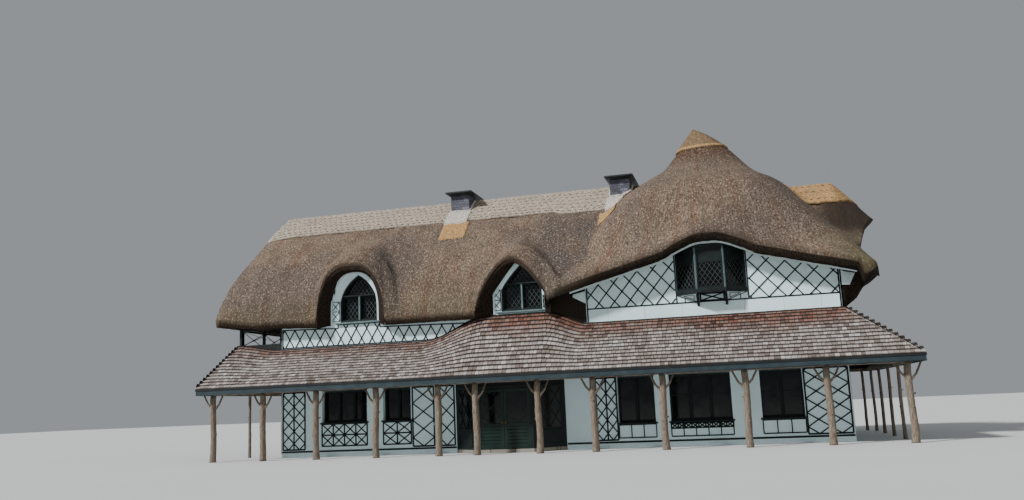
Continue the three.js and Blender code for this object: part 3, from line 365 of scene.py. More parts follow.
@dataclass(frozen=True)
class PaintedTimber:
    """Sawn softwood under several coats of brushed oil paint."""

    name: str
    coat: str
    worn: str
    rough: float = 0.5
    chips: float = 0.25
    coords: Coords = Coords.GRAIN
    bare: str = "8b8375"

    def make(self) -> bpy.types.Material:
        """Paint with brush lines along the grain, chalked on its high spots, and worn through in chips.

        Returns:
            the material.
        """
        s = Surface(self.name, self.coords, self.rough, specular=0.3)
        plan = add(s.tree, "ShaderNodeTexCoord").outputs["Object"]
        # Brush lines of 1 mm are drawn 5 mm wide, so that they show
        brush = s.pattern((240, 5), 3, 0.6)
        fade = s.pattern((420,), 4, 0.6, 3.0, plan)
        chips = s.pattern((28,), 3, 0.7, 6.0, plan)
        colour = s.lay(self.coat, self.worn, fade, 0.42, 0.72, 0.55)
        colour = s.lay(colour, self.worn, brush, 0.5, 0.8, 0.3)
        s.roughen(fade, least=self.rough - 0.15, most=self.rough + 0.15)
        s.bump(brush, 0.8, 0.5)
        s.bump(chips, 0.6, 0.3)
        return s.paint(s.lay(colour, self.bare, chips, 0.72, 0.78, self.chips))


@dataclass(frozen=True)
class SplitShingle:
    """Riven oak or cedar shingles, left bare to the weather."""

    name: str = "cedar_shingle_riven_weathered"
    greys: tuple[str, ...] = ("73665f", "9f958e", "b6ada7", "8a7d76", "cdc6c1")
    reds: tuple[str, ...] = ("482a1f", "6e4231", "8c5640", "593829")
    grain: str = "3b302b"
    damp: str = "5a4a43"
    shade: str = "120e0c"

    def make(self) -> bpy.types.Material:
        """Silver-grey to pinkish brown, each shingle its own tone, and red-brown in sheltered courses.

        Returns:
            the material.
        """
        s = Surface(self.name, Coords.GRAIN, 0.88, specular=0.3)
        plan = add(s.tree, "ShaderNodeTexCoord").outputs["Object"]
        tone = add(s.tree, "ShaderNodeAttribute", attribute_name="shade").outputs["Fac"]
        grey, red = (
            add(s.tree, "ShaderNodeValToRGB", {0: tone}, list(zip(places, tones))).outputs[0]
            for places, tones in (
                ((0.0, 0.25, 0.5, 0.75, 1.0), self.greys), ((0.0, 0.35, 0.7, 1.0), self.reds),
            )
        )
        # Open grain of about 3 mm is drawn 7 mm wide, so that it shows
        grain = s.pattern((7, 160), 3, 0.7, 1.0)
        damp = s.pattern((1500,), 4, 0.6, 8.0, plan)
        colour = s.lay(grey, red, "fresh")
        colour = s.lay(colour, self.grain, grain, 0.62, 0.3, 0.55)
        colour = s.lay(colour, self.damp, damp, 0.5, 0.72, 0.35)
        # The unit shape's grain coordinate runs to 0.2 from butt to head, so this darkens what the next
        # butt shades
        up = add(s.tree, "ShaderNodeSeparateXYZ", {0: s.where}).outputs[0]
        s.bump(grain, 3, 0.8)
        return s.paint(s.lay(colour, self.shade, up, 0.068, 0.1, 0.95))


@dataclass(frozen=True)
class Bark:
    """Whole tree trunks with their bark on, set up as posts."""

    name: str = "tree_bark_left_on_trunk"
    plates: tuple[str, str] = ("5c5147", "978b7b")
    scar: str = "7d5a46"
    crack: str = "33291f"

    def make(self) -> bpy.types.Material:
        """Grey-brown bark in long plates with dark cracks and reddish scars where plates have come away.

        Returns:
            the material.
        """
        s = Surface(self.name, Coords.GRAIN, 0.92, specular=0.25)
        plates = s.pattern((170, 45), 4, 0.65)
        cracks = s.pattern((300, 22), 3, 0.7, 4.0)
        scars = s.pattern((520, 130), 3, 0.55, 9.0)
        colour = s.lay(*self.plates, plates, 0.35, 0.65)
        colour = s.lay(colour, self.scar, scars, 0.56, 0.66, 0.8)
        s.bump(plates, 18, 0.8)
        s.bump(cracks, 8, 0.8)
        return s.paint(s.lay(colour, self.crack, cracks, 0.5, 0.3))


@dataclass(frozen=True)
class SlateHanging:
    """Riven slates hung on the chimneys."""

    name: str = "slate_riven_hung"
    tones: tuple[tuple[float, str], ...] = (
        (0.0, "33323f"), (0.35, "4c4b5b"), (0.7, "3e3e4c"), (1.0, "6c6b79"),
    )
    step: str = "2b2930"
    lichen: str = "8b8a7e"

    def make(self) -> bpy.types.Material:
        """Dark purple-grey stone with a dull sheen, split in low steps, with pale lichen.

        Returns:
            the material.
        """
        s = Surface(self.name, Coords.OBJECT, 0.6)
        tone = add(s.tree, "ShaderNodeAttribute", attribute_name="shade").outputs["Fac"]
        cleft = s.pattern((90, 90, 40), 4, 0.6)
        bloom = s.pattern((60,), 3, 0.65, 4.0)
        colour = add(s.tree, "ShaderNodeValToRGB", {0: tone}, self.tones).outputs[0]
        colour = s.lay(colour, self.step, cleft, 0.45, 0.7, 0.4)
        s.roughen(bloom, -0.6, 1.2)
        s.bump(cleft, 5, 0.7)
        return s.paint(s.lay(colour, self.lichen, bloom, 0.62, 0.74, 0.5))


@dataclass(frozen=True)
class Lead:
    """Sheet lead dressed over an edge, and drawn lead cames."""

    name: str
    tone: str = "2f3034"
    oxide: str = "6c6f73"
    rough: float = 0.55

    def make(self) -> bpy.types.Material:
        """Dull soft metal, nearly black, with a whitish bloom where water has run.

        Returns:
            the material.
        """
        s = Surface(self.name, Coords.OBJECT, self.rough, metallic=0.6)
        bloom = s.pattern((120, 120, 300), 4, 0.65)
        s.bump(s.pattern((60,), 2, 0.5, 2.0), 3, 0.5)
        return s.paint(s.lay(self.tone, self.oxide, bloom, 0.5, 0.75, 0.6))


@dataclass(frozen=True)
class Mortar:
    """Lime mortar packed round the foot of a chimney by hand."""

    name: str = "lime_mortar_packed"
    deep: str = "8b847a"
    pale: str = "d0c9be"

    def make(self) -> bpy.types.Material:
        """Pale grey, lumpy and sandy.

        Returns:
            the material.
        """
        s = Surface(self.name, Coords.OBJECT, 0.95)
        lumps = s.pattern((70,), 4, 0.65)
        s.bump(lumps, 14, 0.8)
        return s.paint(s.lay(self.deep, self.pale, lumps, 0.35, 0.65))


@dataclass(frozen=True)
class WindowGlass:
    """Crown glass in old windows."""

    name: str = "window_glass_blown"
    rough: float = 0.04
    unlit_rooms_shade: str = "040505"
    dusty: str = "0e1314"

    def make(self) -> bpy.types.Material:
        """Near black and glossy, its darkness painted shade for the unlit rooms behind, a little wavy, with
        dust that dulls it in soft clouds.

        Returns:
            the material.
        """
        s = Surface(self.name, Coords.OBJECT, self.rough, 1.52, specular=0.3)
        wave = s.pattern((240, 240, 320), 2, 0.4)
        dust = s.pattern((500, 500, 700), 4, 0.6, 3.0)
        s.roughen(dust, 0.2, 3.2)
        s.bump(wave, 3, 0.35)
        return s.paint(s.lay(self.unlit_rooms_shade, self.dusty, dust, 0.4, 0.75))


@dataclass(frozen=True)
class LaidFloor:
    """Pine boards, planed and nailed, or limestone flags, sawn and laid."""

    name: str
    long: float
    wide: float
    tones: tuple[str, str, str, str]

    def make(self) -> bpy.types.Material:
        """Pieces of two near tones in staggered rows, with dark joints and a grain along them.

        Returns:
            the material.
        """
        s = Surface(self.name, Coords.OBJECT, 0.6)
        pale, deep, joint, line = self.tones
        scale = per(self.long, self.wide, 1000)
        spread = add(s.tree, "ShaderNodeMapping", {"Vector": s.where, "Scale": scale})
        laid = add(s.tree, "ShaderNodeTexBrick", {
            "Vector": spread.outputs[0], "Color1": linear(deep), "Color2": linear(pale),
            "Mortar": linear(joint), "Scale": 1.0, "Mortar Size": 0.02, "Brick Width": 1.0, "Row Height": 1.0,
        })
        grain = s.pattern((self.wide * 4, self.wide / 20), 3, 0.65)
        s.bump(grain, 0.8, 0.5)
        s.bump(laid.outputs["Fac"], -3, 0.6)
        return s.paint(s.lay(laid.outputs[0], line, grain, 0.45, 0.75, 0.5))


@dataclass(frozen=True)
class AgedBrass:
    """Cast brass door furniture."""

    name: str = "brass_cast_aged"
    dull: str = "6b5228"
    rubbed: str = "b08a45"

    def make(self) -> bpy.types.Material:
        """Dull gold, mottled darker and brighter at random."""
        s = Surface(self.name, Coords.OBJECT, 0.35, metallic=1.0)
        return s.paint(s.lay(self.dull, self.rubbed, s.pattern((20,))))


class Palette:
    """The materials of the house, each made once."""

    def __init__(self) -> None:
        """Make every finish."""
        self.thatch = Thatch().make()
        self.straw = NewStraw("straw_ridge_block_cut").make()
        self.gold = NewStraw("straw_ridge_newly_laid", "c9a471", "735333", "7d6548").make()
        self.patch = NewStraw("straw_patch_newly_laid", "c6a26e", "7b5733", "8a7050").make()
        self.peak = NewStraw("straw_peak_block_cut", "8f7858", "4b3a2a", "5f4d38").make()
        self.hazel = PaintedTimber("hazel_rod_split", "3c3026", "5a4a3a", 0.85, 0.0).make()
        self.plaster = LimePlaster().make()
        self.timber = PaintedTimber("softwood_painted_dark_green", "0a1312", "1b2826").make()
        self.door = PaintedTimber("softwood_painted_bottle_green", "0e211b", "1a312a", 0.4, 0.15).make()
        self.white = PaintedTimber("softwood_painted_white", "d0e3e5", "adbdbd", 0.5, 0.35).make()
        self.grey = PaintedTimber("softwood_painted_grey_green", "55696a", "7b8d88", 0.55, 0.3).make()
        self.fascia = PaintedTimber("softwood_painted_blue_green", "243237", "38494d", 0.55, 0.35).make()
        self.solid_timber = self.solid("softwood_painted_dark_green_wide", "0a1312", "1b2826")
        self.solid_white = self.solid("softwood_painted_white_wide", "d0e3e5", "adbdbd")
        self.solid_fascia = self.solid("softwood_painted_blue_green_wide", "243237", "38494d")
        # Near-black boards for the veranda roof's underside and edge: painted shade, so that the edge reads
        # as the shadow under the shingles
        self.under = self.solid("softwood_boards_stained_brown", "191a1a", "262625")
        # Near-black boarding under the tent's left wing: partly its stain, partly painted shade
        self.stained_and_shaded = PaintedTimber("softwood_boards_stained_dark", "1e1610", "2d221a", 0.8, 0.0).make()
        self.shingle = SplitShingle().make()
        self.bark = Bark().make()
        self.slate = SlateHanging().make()
        self.lead = Lead("lead_sheet_dressed").make()
        self.came = Lead("lead_came_drawn", "4d5553", "7d8683", 0.6).make()
        self.mortar = Mortar().make()
        self.glass = WindowGlass().make()
        pine = ("8f7557", "7b6248", "2a2018", "54402c")
        self.boards = LaidFloor("pine_boards_planed", 3200, 180, pine).make()
        stone = ("8d897e", "7b776c", "45423b", "6a665c")
        self.flags = LaidFloor("limestone_flags_sawn", 900, 600, stone).make()
        self.brass = AgedBrass().make()

    def solid(self, name: str, coat: str, worn: str) -> bpy.types.Material:
        """Make a paint for solids, which carry no grain coordinates."""
        return PaintedTimber(name, coat, worn, 0.55, 0.3, Coords.OBJECT).make()


# Mesh helpers

def settle(
    thing: bpy.types.Object, body: str = HOUSE, replaces: Sequence[str] = (),
) -> bpy.types.Object:
    """Hand a finished piece to the frame.

    Args:
        thing: the piece.
        body: the body that it moves with.
        replaces: the solids that it stands for.

    Returns:
        The piece.
    """
    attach(thing, body)
    if replaces:
        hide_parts(*replaces)
    log.info("%s: %d faces", thing.name, len(thing.data.polygons))
    return thing


def new_mesh(
    name: str, points: np.ndarray, faces: Sequence[Sequence[int]], materials: Sequence[bpy.types.Material],
    grain: np.ndarray | None = None, finish: Sequence[int] | None = None, smooth: bool = False,
    numbers: dict[str, np.ndarray] | None = None,
) -> bpy.types.Object:
    """Make a mesh object.

    Args:
        name: its name.
        points: its points in metres, one row each.
        faces: point numbers of each face, turning outwards.
        materials: its materials.
        grain: the grain coordinates of each point, in metres.
        finish: the material number of each face.
        smooth: whether its faces are shaded smooth.
        numbers: further numbers that its points carry, by name.

    Returns:
        The linked object.
    """
    mesh = bpy.data.meshes.new(name)
    mesh.from_pydata(np.asarray(points, dtype=float).tolist(), [], [list(f) for f in faces])
    for material in materials:
        mesh.materials.append(material)
    corner = np.empty(len(mesh.loops), dtype=np.int32)
    mesh.loops.foreach_get("vertex_index", corner)
    if grain is not None:
        layer = mesh.uv_layers.new(name="grain")
        layer.data.foreach_set("uv", np.asarray(grain, dtype=np.float32)[corner].ravel())
    if finish is not None:
        mesh.polygons.foreach_set("material_index", np.asarray(finish, dtype=np.int32))
    for key, values in (numbers or {}).items():
        layer = mesh.attributes.new(key, "FLOAT", "POINT")
        layer.data.foreach_set("value", np.asarray(values, dtype=np.float32))
    mesh.polygons.foreach_set("use_smooth", [smooth] * len(mesh.polygons))
    mesh.update()
    thing = bpy.data.objects.new(name, mesh)
    bpy.context.scene.collection.objects.link(thing)
    return thing


@dataclass(frozen=True)
class Plane:
    """An upright face of the house, seen from outside: u runs to the right, v up and d outwards."""

    origin: Point3
    right: Point3
    up: Point3 = (0.0, 0.0, 1.0)

    def at(self, u: float, v: float, d: float = 0.0) -> np.ndarray:
        """Place a point of the face."""
        right, up = np.array(self.right), np.array(self.up)
        return np.array(self.origin) + u * right + v * up + d * np.cross(right, up)

    @property
    def out(self) -> np.ndarray:
        """Give the direction out of the face."""
        return self.at(0, 0, 1) - self.at(0, 0, 0)


FRONT = Plane((0.0, -3.4, 0.0), (1.0, 0.0, 0.0))
REAR = Plane((0.0, 3.4, 0.0), (-1.0, 0.0, 0.0))
LEFT_END = Plane((-9.9, 0.0, 0.0), (0.0, -1.0, 0.0))
RIGHT_END = Plane((10.75, 0.0, 0.0), (0.0, 1.0, 0.0))


def around(ring: Sequence) -> list[tuple]:
    """Pair each member of a ring with the next one, and the last with the first."""
    return list(zip(ring, [*ring[1:], ring[0]]))


def hoops(rings: int, sides: int) -> list[list[int]]:
    """Give the faces of a tube of rings of points, from its wall to its two closed ends.

    Args:
        rings: how many rings it has.
        sides: how many points each of them has.

    Returns:
        The wall's faces, then the first end and the last.
    """
    wall = [[i * sides + k, i * sides + (k + 1) % sides,
             (i + 1) * sides + (k + 1) % sides, (i + 1) * sides + k]
            for i in range(rings - 1) for k in range(sides)]
    return wall + [list(range(sides - 1, -1, -1)), list(range((rings - 1) * sides, rings * sides))]


def turned(outline: Sequence[Point2]) -> list[Point2]:
    """Give an outline in its anticlockwise order."""
    area = sum(a[0] * b[1] - b[0] * a[1] for a, b in around(outline))
    return list(outline) if area > 0 else list(outline)[::-1]


class Joinery:
    """The bars, boards and plates of one piece, joined in a single mesh."""

    def __init__(self) -> None:
        """Start with nothing."""
        self.points: list[np.ndarray] = []
        self.grain: list[Point2] = []
        self.faces: list[list[int]] = []
        self.finish: list[int] = []
        self.smooth: list[bool] = []

    def take(
        self, points: Sequence[np.ndarray], grain: Sequence[Point2], faces: Sequence[Sequence[int]],
        finish: int, smooth: bool = False,
    ) -> None:
        """Add points and faces, with the faces counted from the first new point.

        Args:
            points: the points, in metres.
            grain: place of each point along and across the grain.
            faces: the faces, as numbers of the new points.
            finish: number of the finish.
            smooth: whether to shade them smoothly.
        """
        first = len(self.points)
        self.points.extend(points)
        self.grain.extend(grain)
        self.faces.extend([first + i for i in face] for face in faces)
        self.finish.extend([finish] * len(faces))
        self.smooth.extend([smooth] * len(faces))

    def bar(
        self, start: np.ndarray, end: np.ndarray, wide: float, thick: float, out: Sequence[float],
        finish: int = 0, bevel: float = 0.0,
    ) -> None:
        """Add a straight bar.

        Args:
            start: the middle of one end.
            end: the middle of the other end.
            wide: its width across the line of sight.
            thick: its depth along out.
            out: the direction that its broad face looks along.
            finish: material number.
            bevel: how much its outer edges are eased.
        """
        start, end = np.asarray(start, float), np.asarray(end, float)
        along = end - start
        length = float(np.linalg.norm(along))
        if length < SHORTEST:
            return
        along = along / length
        face = np.asarray(out, float)
        face = face - along * float(face @ along)
        face = face / np.linalg.norm(face)
        side = np.cross(face, along)
        w, t, b = wide / 2, thick / 2, bevel
        if b:
            section = [(-w, -t), (w, -t), (w, t - b), (w - b, t), (b - w, t), (-w, t - b)]
        else:
            section = [(-w, -t), (w, -t), (w, t), (-w, t)]
        points = [p + side * a + face * c for p in (start, end) for a, c in section]
        # Every bar is cut from another stretch of the grain
        shift = float(abs(start.sum()) * 3.7 % 5)
        grain = [(shift + run, shift * 0.3 + a + c) for run in (0.0, length) for a, c in section]
        self.take(points, grain, [f[::-1] for f in hoops(2, len(section))], finish)

    def strip(
        self, plane: Plane, a: Point2, b: Point2, wide: float, low: float, high: float, finish: int = 0,
        bevel: float = 0.0,
    ) -> None:
        """Add a bar on a face of the house, from a to b, between two distances out of it.

        Args:
            plane: the face they lie on.
            a: where it starts on the face.
            b: where it ends on the face.
            wide: width in metres.
            low: how far out of the face the back lies.
            high: how far out of the face the front lies.
            finish: number of the finish.
            bevel: width of the bevel in metres.
        """
        middle = (low + high) / 2
        self.bar(plane.at(*a, middle), plane.at(*b, middle), wide, high - low, plane.out, finish, bevel)

    def plate(
        self, plane: Plane, outline: Sequence[Point2], low: float, high: float, finish: int = 0,
    ) -> None:
        """Add a flat board of any outline on a face of the house.

        Args:
            plane: the face they lie on.
            outline: the corners, as places on the face in metres.
            low: how far out of the face the back lies.
            high: how far out of the face the front lies.
            finish: number of the finish.
        """
        ring = turned(outline)
        points = [plane.at(u, v, d) for d in (low, high) for u, v in ring]
        grain = [(v, u) for _ in (low, high) for u, v in ring]
        self.take(points, grain, hoops(2, len(ring)), finish)

    def ribbon(
        self, plane: Plane, inner: Sequence[Point2], outer: Sequence[Point2], low: float, high: float,
        finish: int = 0,
    ) -> None:
        """Add a curved board between two lines of the same number of points, listed from left to right.

        Args:
            plane: the face they lie on.
            inner: the lower or inner line.
            outer: the upper or outer line.
            low: how far out of the face the back lies.
            high: how far out of the face the front lies.
            finish: number of the finish.
        """
        count = len(inner)
        rows = [(inner, low), (inner, high), (outer, high), (outer, low)]
        points = [plane.at(u, v, d) for line, d in rows for u, v in line]
        runs = np.concatenate(([0.0], np.cumsum(np.hypot(*np.diff(np.array(inner), axis=0).T))))
        grain = [(runs[i], 0.1 * k) for k in range(4) for i in range(count)]
        faces = []
        for k in range(4):
            here, there = k * count, ((k + 1) % 4) * count
            faces += [[here + i, here + i + 1, there + i + 1, there + i] for i in range(count - 1)]
        ends = [k * count for k in range(4)]
        faces.append(ends)
        faces.append([e + count - 1 for e in ends][::-1])
        self.take(points, grain, faces, finish)

    def box(self, low: Point3, high: Point3, finish: int = 0) -> None:
        """Add a block between two corners, its grain along its longest side.

        Args:
            low: the corner with the smallest coordinates, in metres.
            high: the corner with the largest coordinates, in metres.
            finish: number of the finish.
        """
        low, high = np.array(low, float), np.array(high, float)
        size = high - low
        axis = int(np.argmax(size))
        others = [i for i in range(3) if i != axis]
        middle = (low + high) / 2
        start, end = middle.copy(), middle.copy()
        start[axis], end[axis] = low[axis], high[axis]
        out = np.zeros(3)
        out[others[1]] = 1.0
        self.bar(start, end, size[others[0]], size[others[1]], out, finish)

    def tube(
        self, path: Sequence[np.ndarray], radii: Sequence[float], sides: int = 8, finish: int = 0,
    ) -> None:
        """Add a round bar along a path, closed at both ends.

        Args:
            path: the points of its middle line, in metres.
            radii: its radius at each point.
            sides: number of its sides.
            finish: number of the finish.
        """
        path = [np.asarray(p, float) for p in path]
        steps = [path[1] - path[0]] + [path[i + 1] - path[i - 1] for i in range(1, len(path) - 1)]
        steps.append(path[-1] - path[-2])
        side = np.cross(steps[0], (0.31, 0.17, 0.93) if abs(steps[0][2]) < 0.9 else (1.0, 0.0, 0.0))
        points, grain, run = [], [], 0.0
        for i, (p, step, radius) in enumerate(zip(path, steps, radii)):
            t = step / np.linalg.norm(step)
            side = side - t * float(side @ t)
            side = side / np.linalg.norm(side)
            other = np.cross(t, side)
            if i:
                run += float(np.linalg.norm(p - path[i - 1]))
            for k in range(sides):
                turn = 2 * math.pi * k / sides
                points.append(p + radius * (math.cos(turn) * side + math.sin(turn) * other))
                grain.append((run, radius * abs(math.pi - turn)))
        self.take(points, grain, hoops(len(path), sides), finish, True)
        self.smooth[-2:] = [False, False]

    def piece(self, name: str, materials: Sequence[bpy.types.Material]) -> bpy.types.Object:
        """Turn what was added into one mesh object.

        Args:
            name: name of the object.
            materials: the finishes, in the order of their numbers.

        Returns:
            the mesh object.
        """
        points, grain = np.array(self.points), np.array(self.grain)
        thing = new_mesh(name, points, self.faces, materials, grain, self.finish)
        thing.data.polygons.foreach_set("use_smooth", self.smooth)
        return thing


# The form of the thatch, worked out in millimetres as in the part's source

def clamp01(value: np.ndarray) -> np.ndarray:
    """Keep values between 0 and 1."""
    return np.clip(value, 0.0, 1.0)


def ease(start: float, end: float, value: np.ndarray) -> np.ndarray:
    """Go smoothly from 0 at start to 1 at end."""
    t = clamp01((np.asarray(value, float) - start) / (end - start))
    return t * t * (3 - 2 * t)


def mix(a: np.ndarray, b: np.ndarray, share: np.ndarray) -> np.ndarray:
    """Go from a to b."""
    return a + (b - a) * share


def soft_max(a: np.ndarray, b: np.ndarray, blend: float) -> np.ndarray:
    """Take the higher of two surfaces, with a rounded valley between them."""
    near = np.maximum(blend - np.abs(a - b), 0) / blend
    return np.maximum(a, b) + near * near * blend / 4


def grain_noise(u: np.ndarray, v: np.ndarray, seed: float) -> np.ndarray:
    """Give smooth noise between -1 and 1, the same on every run.

    Args:
        u: first coordinate, in grains.
        v: second coordinate, in grains.
        seed: picks the pattern.

    Returns:
        The noise at each place.
    """
    iu, iv = np.floor(u), np.floor(v)
    fu, fv = u - iu, v - iv
    fu, fv = fu * fu * (3 - 2 * fu), fv * fv * (3 - 2 * fv)

    def corner(a: np.ndarray, b: np.ndarray) -> np.ndarray:
        """Give the fixed value of one corner."""
        h = np.sin(a * 127.1 + b * 311.7 + seed * 74.7) * 43758.5453
        return 2 * (h - np.floor(h)) - 1

    low = mix(corner(iu, iv), corner(iu + 1, iv), fu)
    high = mix(corner(iu, iv + 1), corner(iu + 1, iv + 1), fu)
    return mix(low, high, fv)


@dataclass(frozen=True)
class Lip:
    """The underside of a wave: half its width at the wall and at the edge, its lean there and its curve."""

    wall: float
    edge: float
    lean: float
    power: float
    root: float


@dataclass(frozen=True)
class Dormer:
    """One window with its wave of thatch, in millimetres."""

    x: float
    crest: float
    outer: float
    power: float
    root: float
    apex: float
    pull: Point2
    lip: Lip
    board: tuple[float, float, float, float, float, float]
    board_share: float = 1.0


@dataclass(frozen=True)
class ThatchForm:
    """The sizes of the thatch in millimetres, and the surfaces that follow from them."""

    thick: float = 450
    eave_half: float = 3900
    eave_top: float = 5450
    eave_bottom: float = 4880
    ridge_top: float = 10000
    ridge_bottom: float = 9430
    slope_curve: float = 0.6
    under_curve: float = 0.68
    left: float = -12770
    end_start: float = -10400
    end_curve: float = 0.75
    end_lift: float = 250
    end_droop: float = 100
    hip_run: float = 1300
    hip_thick: float = 350
    left_round: float = 500
    right_round: float = 750
    dormer_slope: float = 0.45
    split: float = 930
    blend: float = 300
    under_blend: float = 80
    sink: float = 3000
    tent_x: float = 6190
    tent_power: float = 2.6
    tent_radii: tuple = (0, 700, 1300, 2200, 3200, 4300, 4900, 5500, 6100, 6900)
    tent_left: tuple = (12000, 11050, 10300, 9750, 9000, 7650, 6850, 6350, 5950, 5450)
    tent_right: tuple = (12000, 11550, 11000, 10000, 9290, 8030, 7300, 6750, 6050, 5300)
    tent_right_under: tuple = (12000, 11550, 11000, 10000, 9250, 7650, 6850, 6350, 5950, 5450)
    tent_front: float = 4300
    skirt_start: float = 3000
    right: float = 12000
    ridge_fade: float = 2
    lip_crest: float = 6390
    lip_flat: float = 1200
    lip_slope: float = 0.26
    lip_thick: float = 580
    brow_rise: float = 450
    brow_flat: float = 200
    brow_half: float = 1700
    brow_x: float = 6540
    split_step: float = 300
    gablet_crest: float = 9300
    gablet_turn: float = 11100
    end_reach: tuple[float, float, float, float] = (470, -470, 2600, 3600)
    end_tuck: tuple[float, float, float] = (450, 1200, 2400)
    tip_extra: float = 350
    front_wall: float = 3400
    roll: float = 420
    lip_cut: float = 260
    eave_drop: float = 130
    end_soffit: tuple[tuple, tuple] = (
        (10770, 10950, 11200, 11500, 11700, 11850, 11930), (4430, 4450, 4640, 5060, 5150, 5270, 5480),
    )
    gablet_fall: float = 1.07
    gablet_half: float = 2200
    gablet_side: float = 420
    gablet_curve: Point2 = (1.5, 0.7)
    gablet_start: float = 8190
    dormers: tuple[Dormer, ...] = (
        Dormer(-6660, 7070, 1800, 2.4, 0.5, 6800, (0.8, 0.65), Lip(1100, 1380, -140, 2.8, 0.5),
               (-150, 985, 5500, 6900, 2.6, 0.5)),
        Dormer(-230, 6850, 1900, 1.4, 0.8, 6700, (0.62, 0.52), Lip(1100, 1400, -250, 1.6, 0.7),
               (-110, 960, 5650, 6820, 1.1, 1.0), 0.52),
    )
    drop_span: Point2 = (-10200, -6500)
    drop_end: float = 330
    drop_depth: Point2 = (3450, 3850)
    soffit_near: Point2 = (1800, 2500)
    soffit_far: Point2 = (3480, 3620)
    soffit_turn: Point2 = (11300, 11500)
    share_blend: float = 150

    def long_roof(self, x: np.ndarray, y: np.ndarray, under: bool) -> np.ndarray:
        """Give the height of the long roof with its steep hip on the left.

        Args:
            x: places along the house, in millimetres.
            y: places across the house, in millimetres.
            under: whether the underside is meant, and not the top.

        Returns:
            the heights, in millimetres.
        """
        v = clamp01(np.abs(y) / self.eave_half)
        at_end = ease(self.end_start, self.left, x)
        foot = self.eave_bottom + self.end_lift * at_end if under else self.eave_top - self.end_droop * at_end
        rise = (self.ridge_bottom if under else self.ridge_top) - foot
        power = mix(self.under_curve if under else self.slope_curve, self.end_curve, at_end)
        slope = foot + rise * (1 - v) ** power
        inward = x - self.left - (self.hip_thick if under else 0)
        hip = foot + rise * np.maximum(0, inward / self.hip_run)
        fade = self.ridge_fade * np.maximum(0, x - self.tent_x)
        return -soft_max(-slope, -hip, self.under_blend if under else self.blend) - fade

    def wave(self, dormer: Dormer, x: np.ndarray, y: np.ndarray, under: bool) -> np.ndarray:
        """Give the height of the wave over a dormer window.

        Args:
            dormer: the window.
            x: places along the house, in millimetres.
            y: places across the house, in millimetres.
            under: whether the underside is meant, and not the top.

        Returns:
            the heights, in millimetres.
        """
        flare = ease(self.front_wall, self.eave_half, np.abs(y)) * under
        lip = dormer.lip
        half = mix(lip.wall, lip.edge, flare) if under else dormer.outer
        power, root = (lip.power, lip.root) if under else (dormer.power, dormer.root)
        foot = self.eave_bottom if under else self.eave_top
        crest = dormer.crest + (0 if under else self.thick)
        w = np.abs(x - dormer.x - lip.lean * flare) / half
        back = self.dormer_slope * (self.eave_half - np.abs(y))
        inside = np.clip(w, 0, 1)
        high = foot + (crest - foot) * (1 - inside ** power) ** root + back * (1 - inside * inside)
        return np.where(w >= 1, foot - (w - 1) * self.sink, high)

    def lip(self, x: np.ndarray) -> np.ndarray:
        """Give the height of the lower front edge over the gable wall."""
        off = np.abs(x - self.brow_x)
        return self.lip_crest - self.lip_slope * np.maximum(0, off - self.lip_flat) + self.brow_rise * (
            1 - ease(self.brow_flat, self.brow_half, off))

    def profile(self, heights: Sequence[float], r: np.ndarray) -> np.ndarray:
        """Give a smooth curve through the tent's heights at its radii.

        Args:
            heights: the height at each radius of the tent.
            r: distances from the peak.

        Returns:
            the heights, in millimetres.
        """
        at = np.array(self.tent_radii, float)
        high = np.array(heights, float)
        i = np.clip(np.searchsorted(at, r, side="right"), 1, len(at) - 1)
        t0, t1 = at[i - 1], at[i]
        before, after = np.where(i >= 2, i - 2, i), np.where(i + 1 < len(at), i + 1, i - 1)
        w_prev = 0.5 * (t1 - t0) / (t0 - np.where(i >= 2, at[before], t1))
        w_next = 0.5 * (t1 - t0) / (np.where(i + 1 < len(at), at[after], t0) - t1)
        p = (r - t0) / (t1 - t0)
        pp, ppp = p ** 2, p ** 3
        return (
            (-w_prev * ppp + 2 * w_prev * pp - w_prev * p) * high[before]
            + ((1 + w_prev) * ppp + (-1.5 - 2 * w_prev) * pp + (-0.5 + w_prev) * p + 1) * high[i - 1]
            + ((-1 - w_next) * ppp + (1.5 + w_next) * pp + 0.5 * p) * high[i]
            + (w_next * ppp - w_next * pp) * high[after]
        )

    def tent(self, x: np.ndarray, y: np.ndarray, under: bool) -> np.ndarray:
        """Give the height of the tall roof over the gable.

        Args:
            x: places along the house, in millimetres.
            y: places across the house, in millimetres.
            under: whether the underside is meant, and not the top.

        Returns:
            the heights, in millimetres.
        """
        dx = x - self.tent_x
        reach = (np.abs(dx) ** self.tent_power + np.abs(y) ** self.tent_power) ** (1 / self.tent_power)
        r = np.minimum(reach, self.tent_radii[-1])
        side = 0.5 + 0.5 * dx / np.maximum(reach, 1e-6)
        right = self.tent_right_under if under else self.tent_right
        high = mix(self.profile(self.tent_left, r), self.profile(right, r), side)
        skirt = ease(self.skirt_start, self.tent_front, np.abs(y))
        thick = mix(self.thick, self.lip_thick, skirt)
        top = mix(high, self.lip(x) + self.lip_thick, skirt) - (reach - r)
        return top - thick if under else top

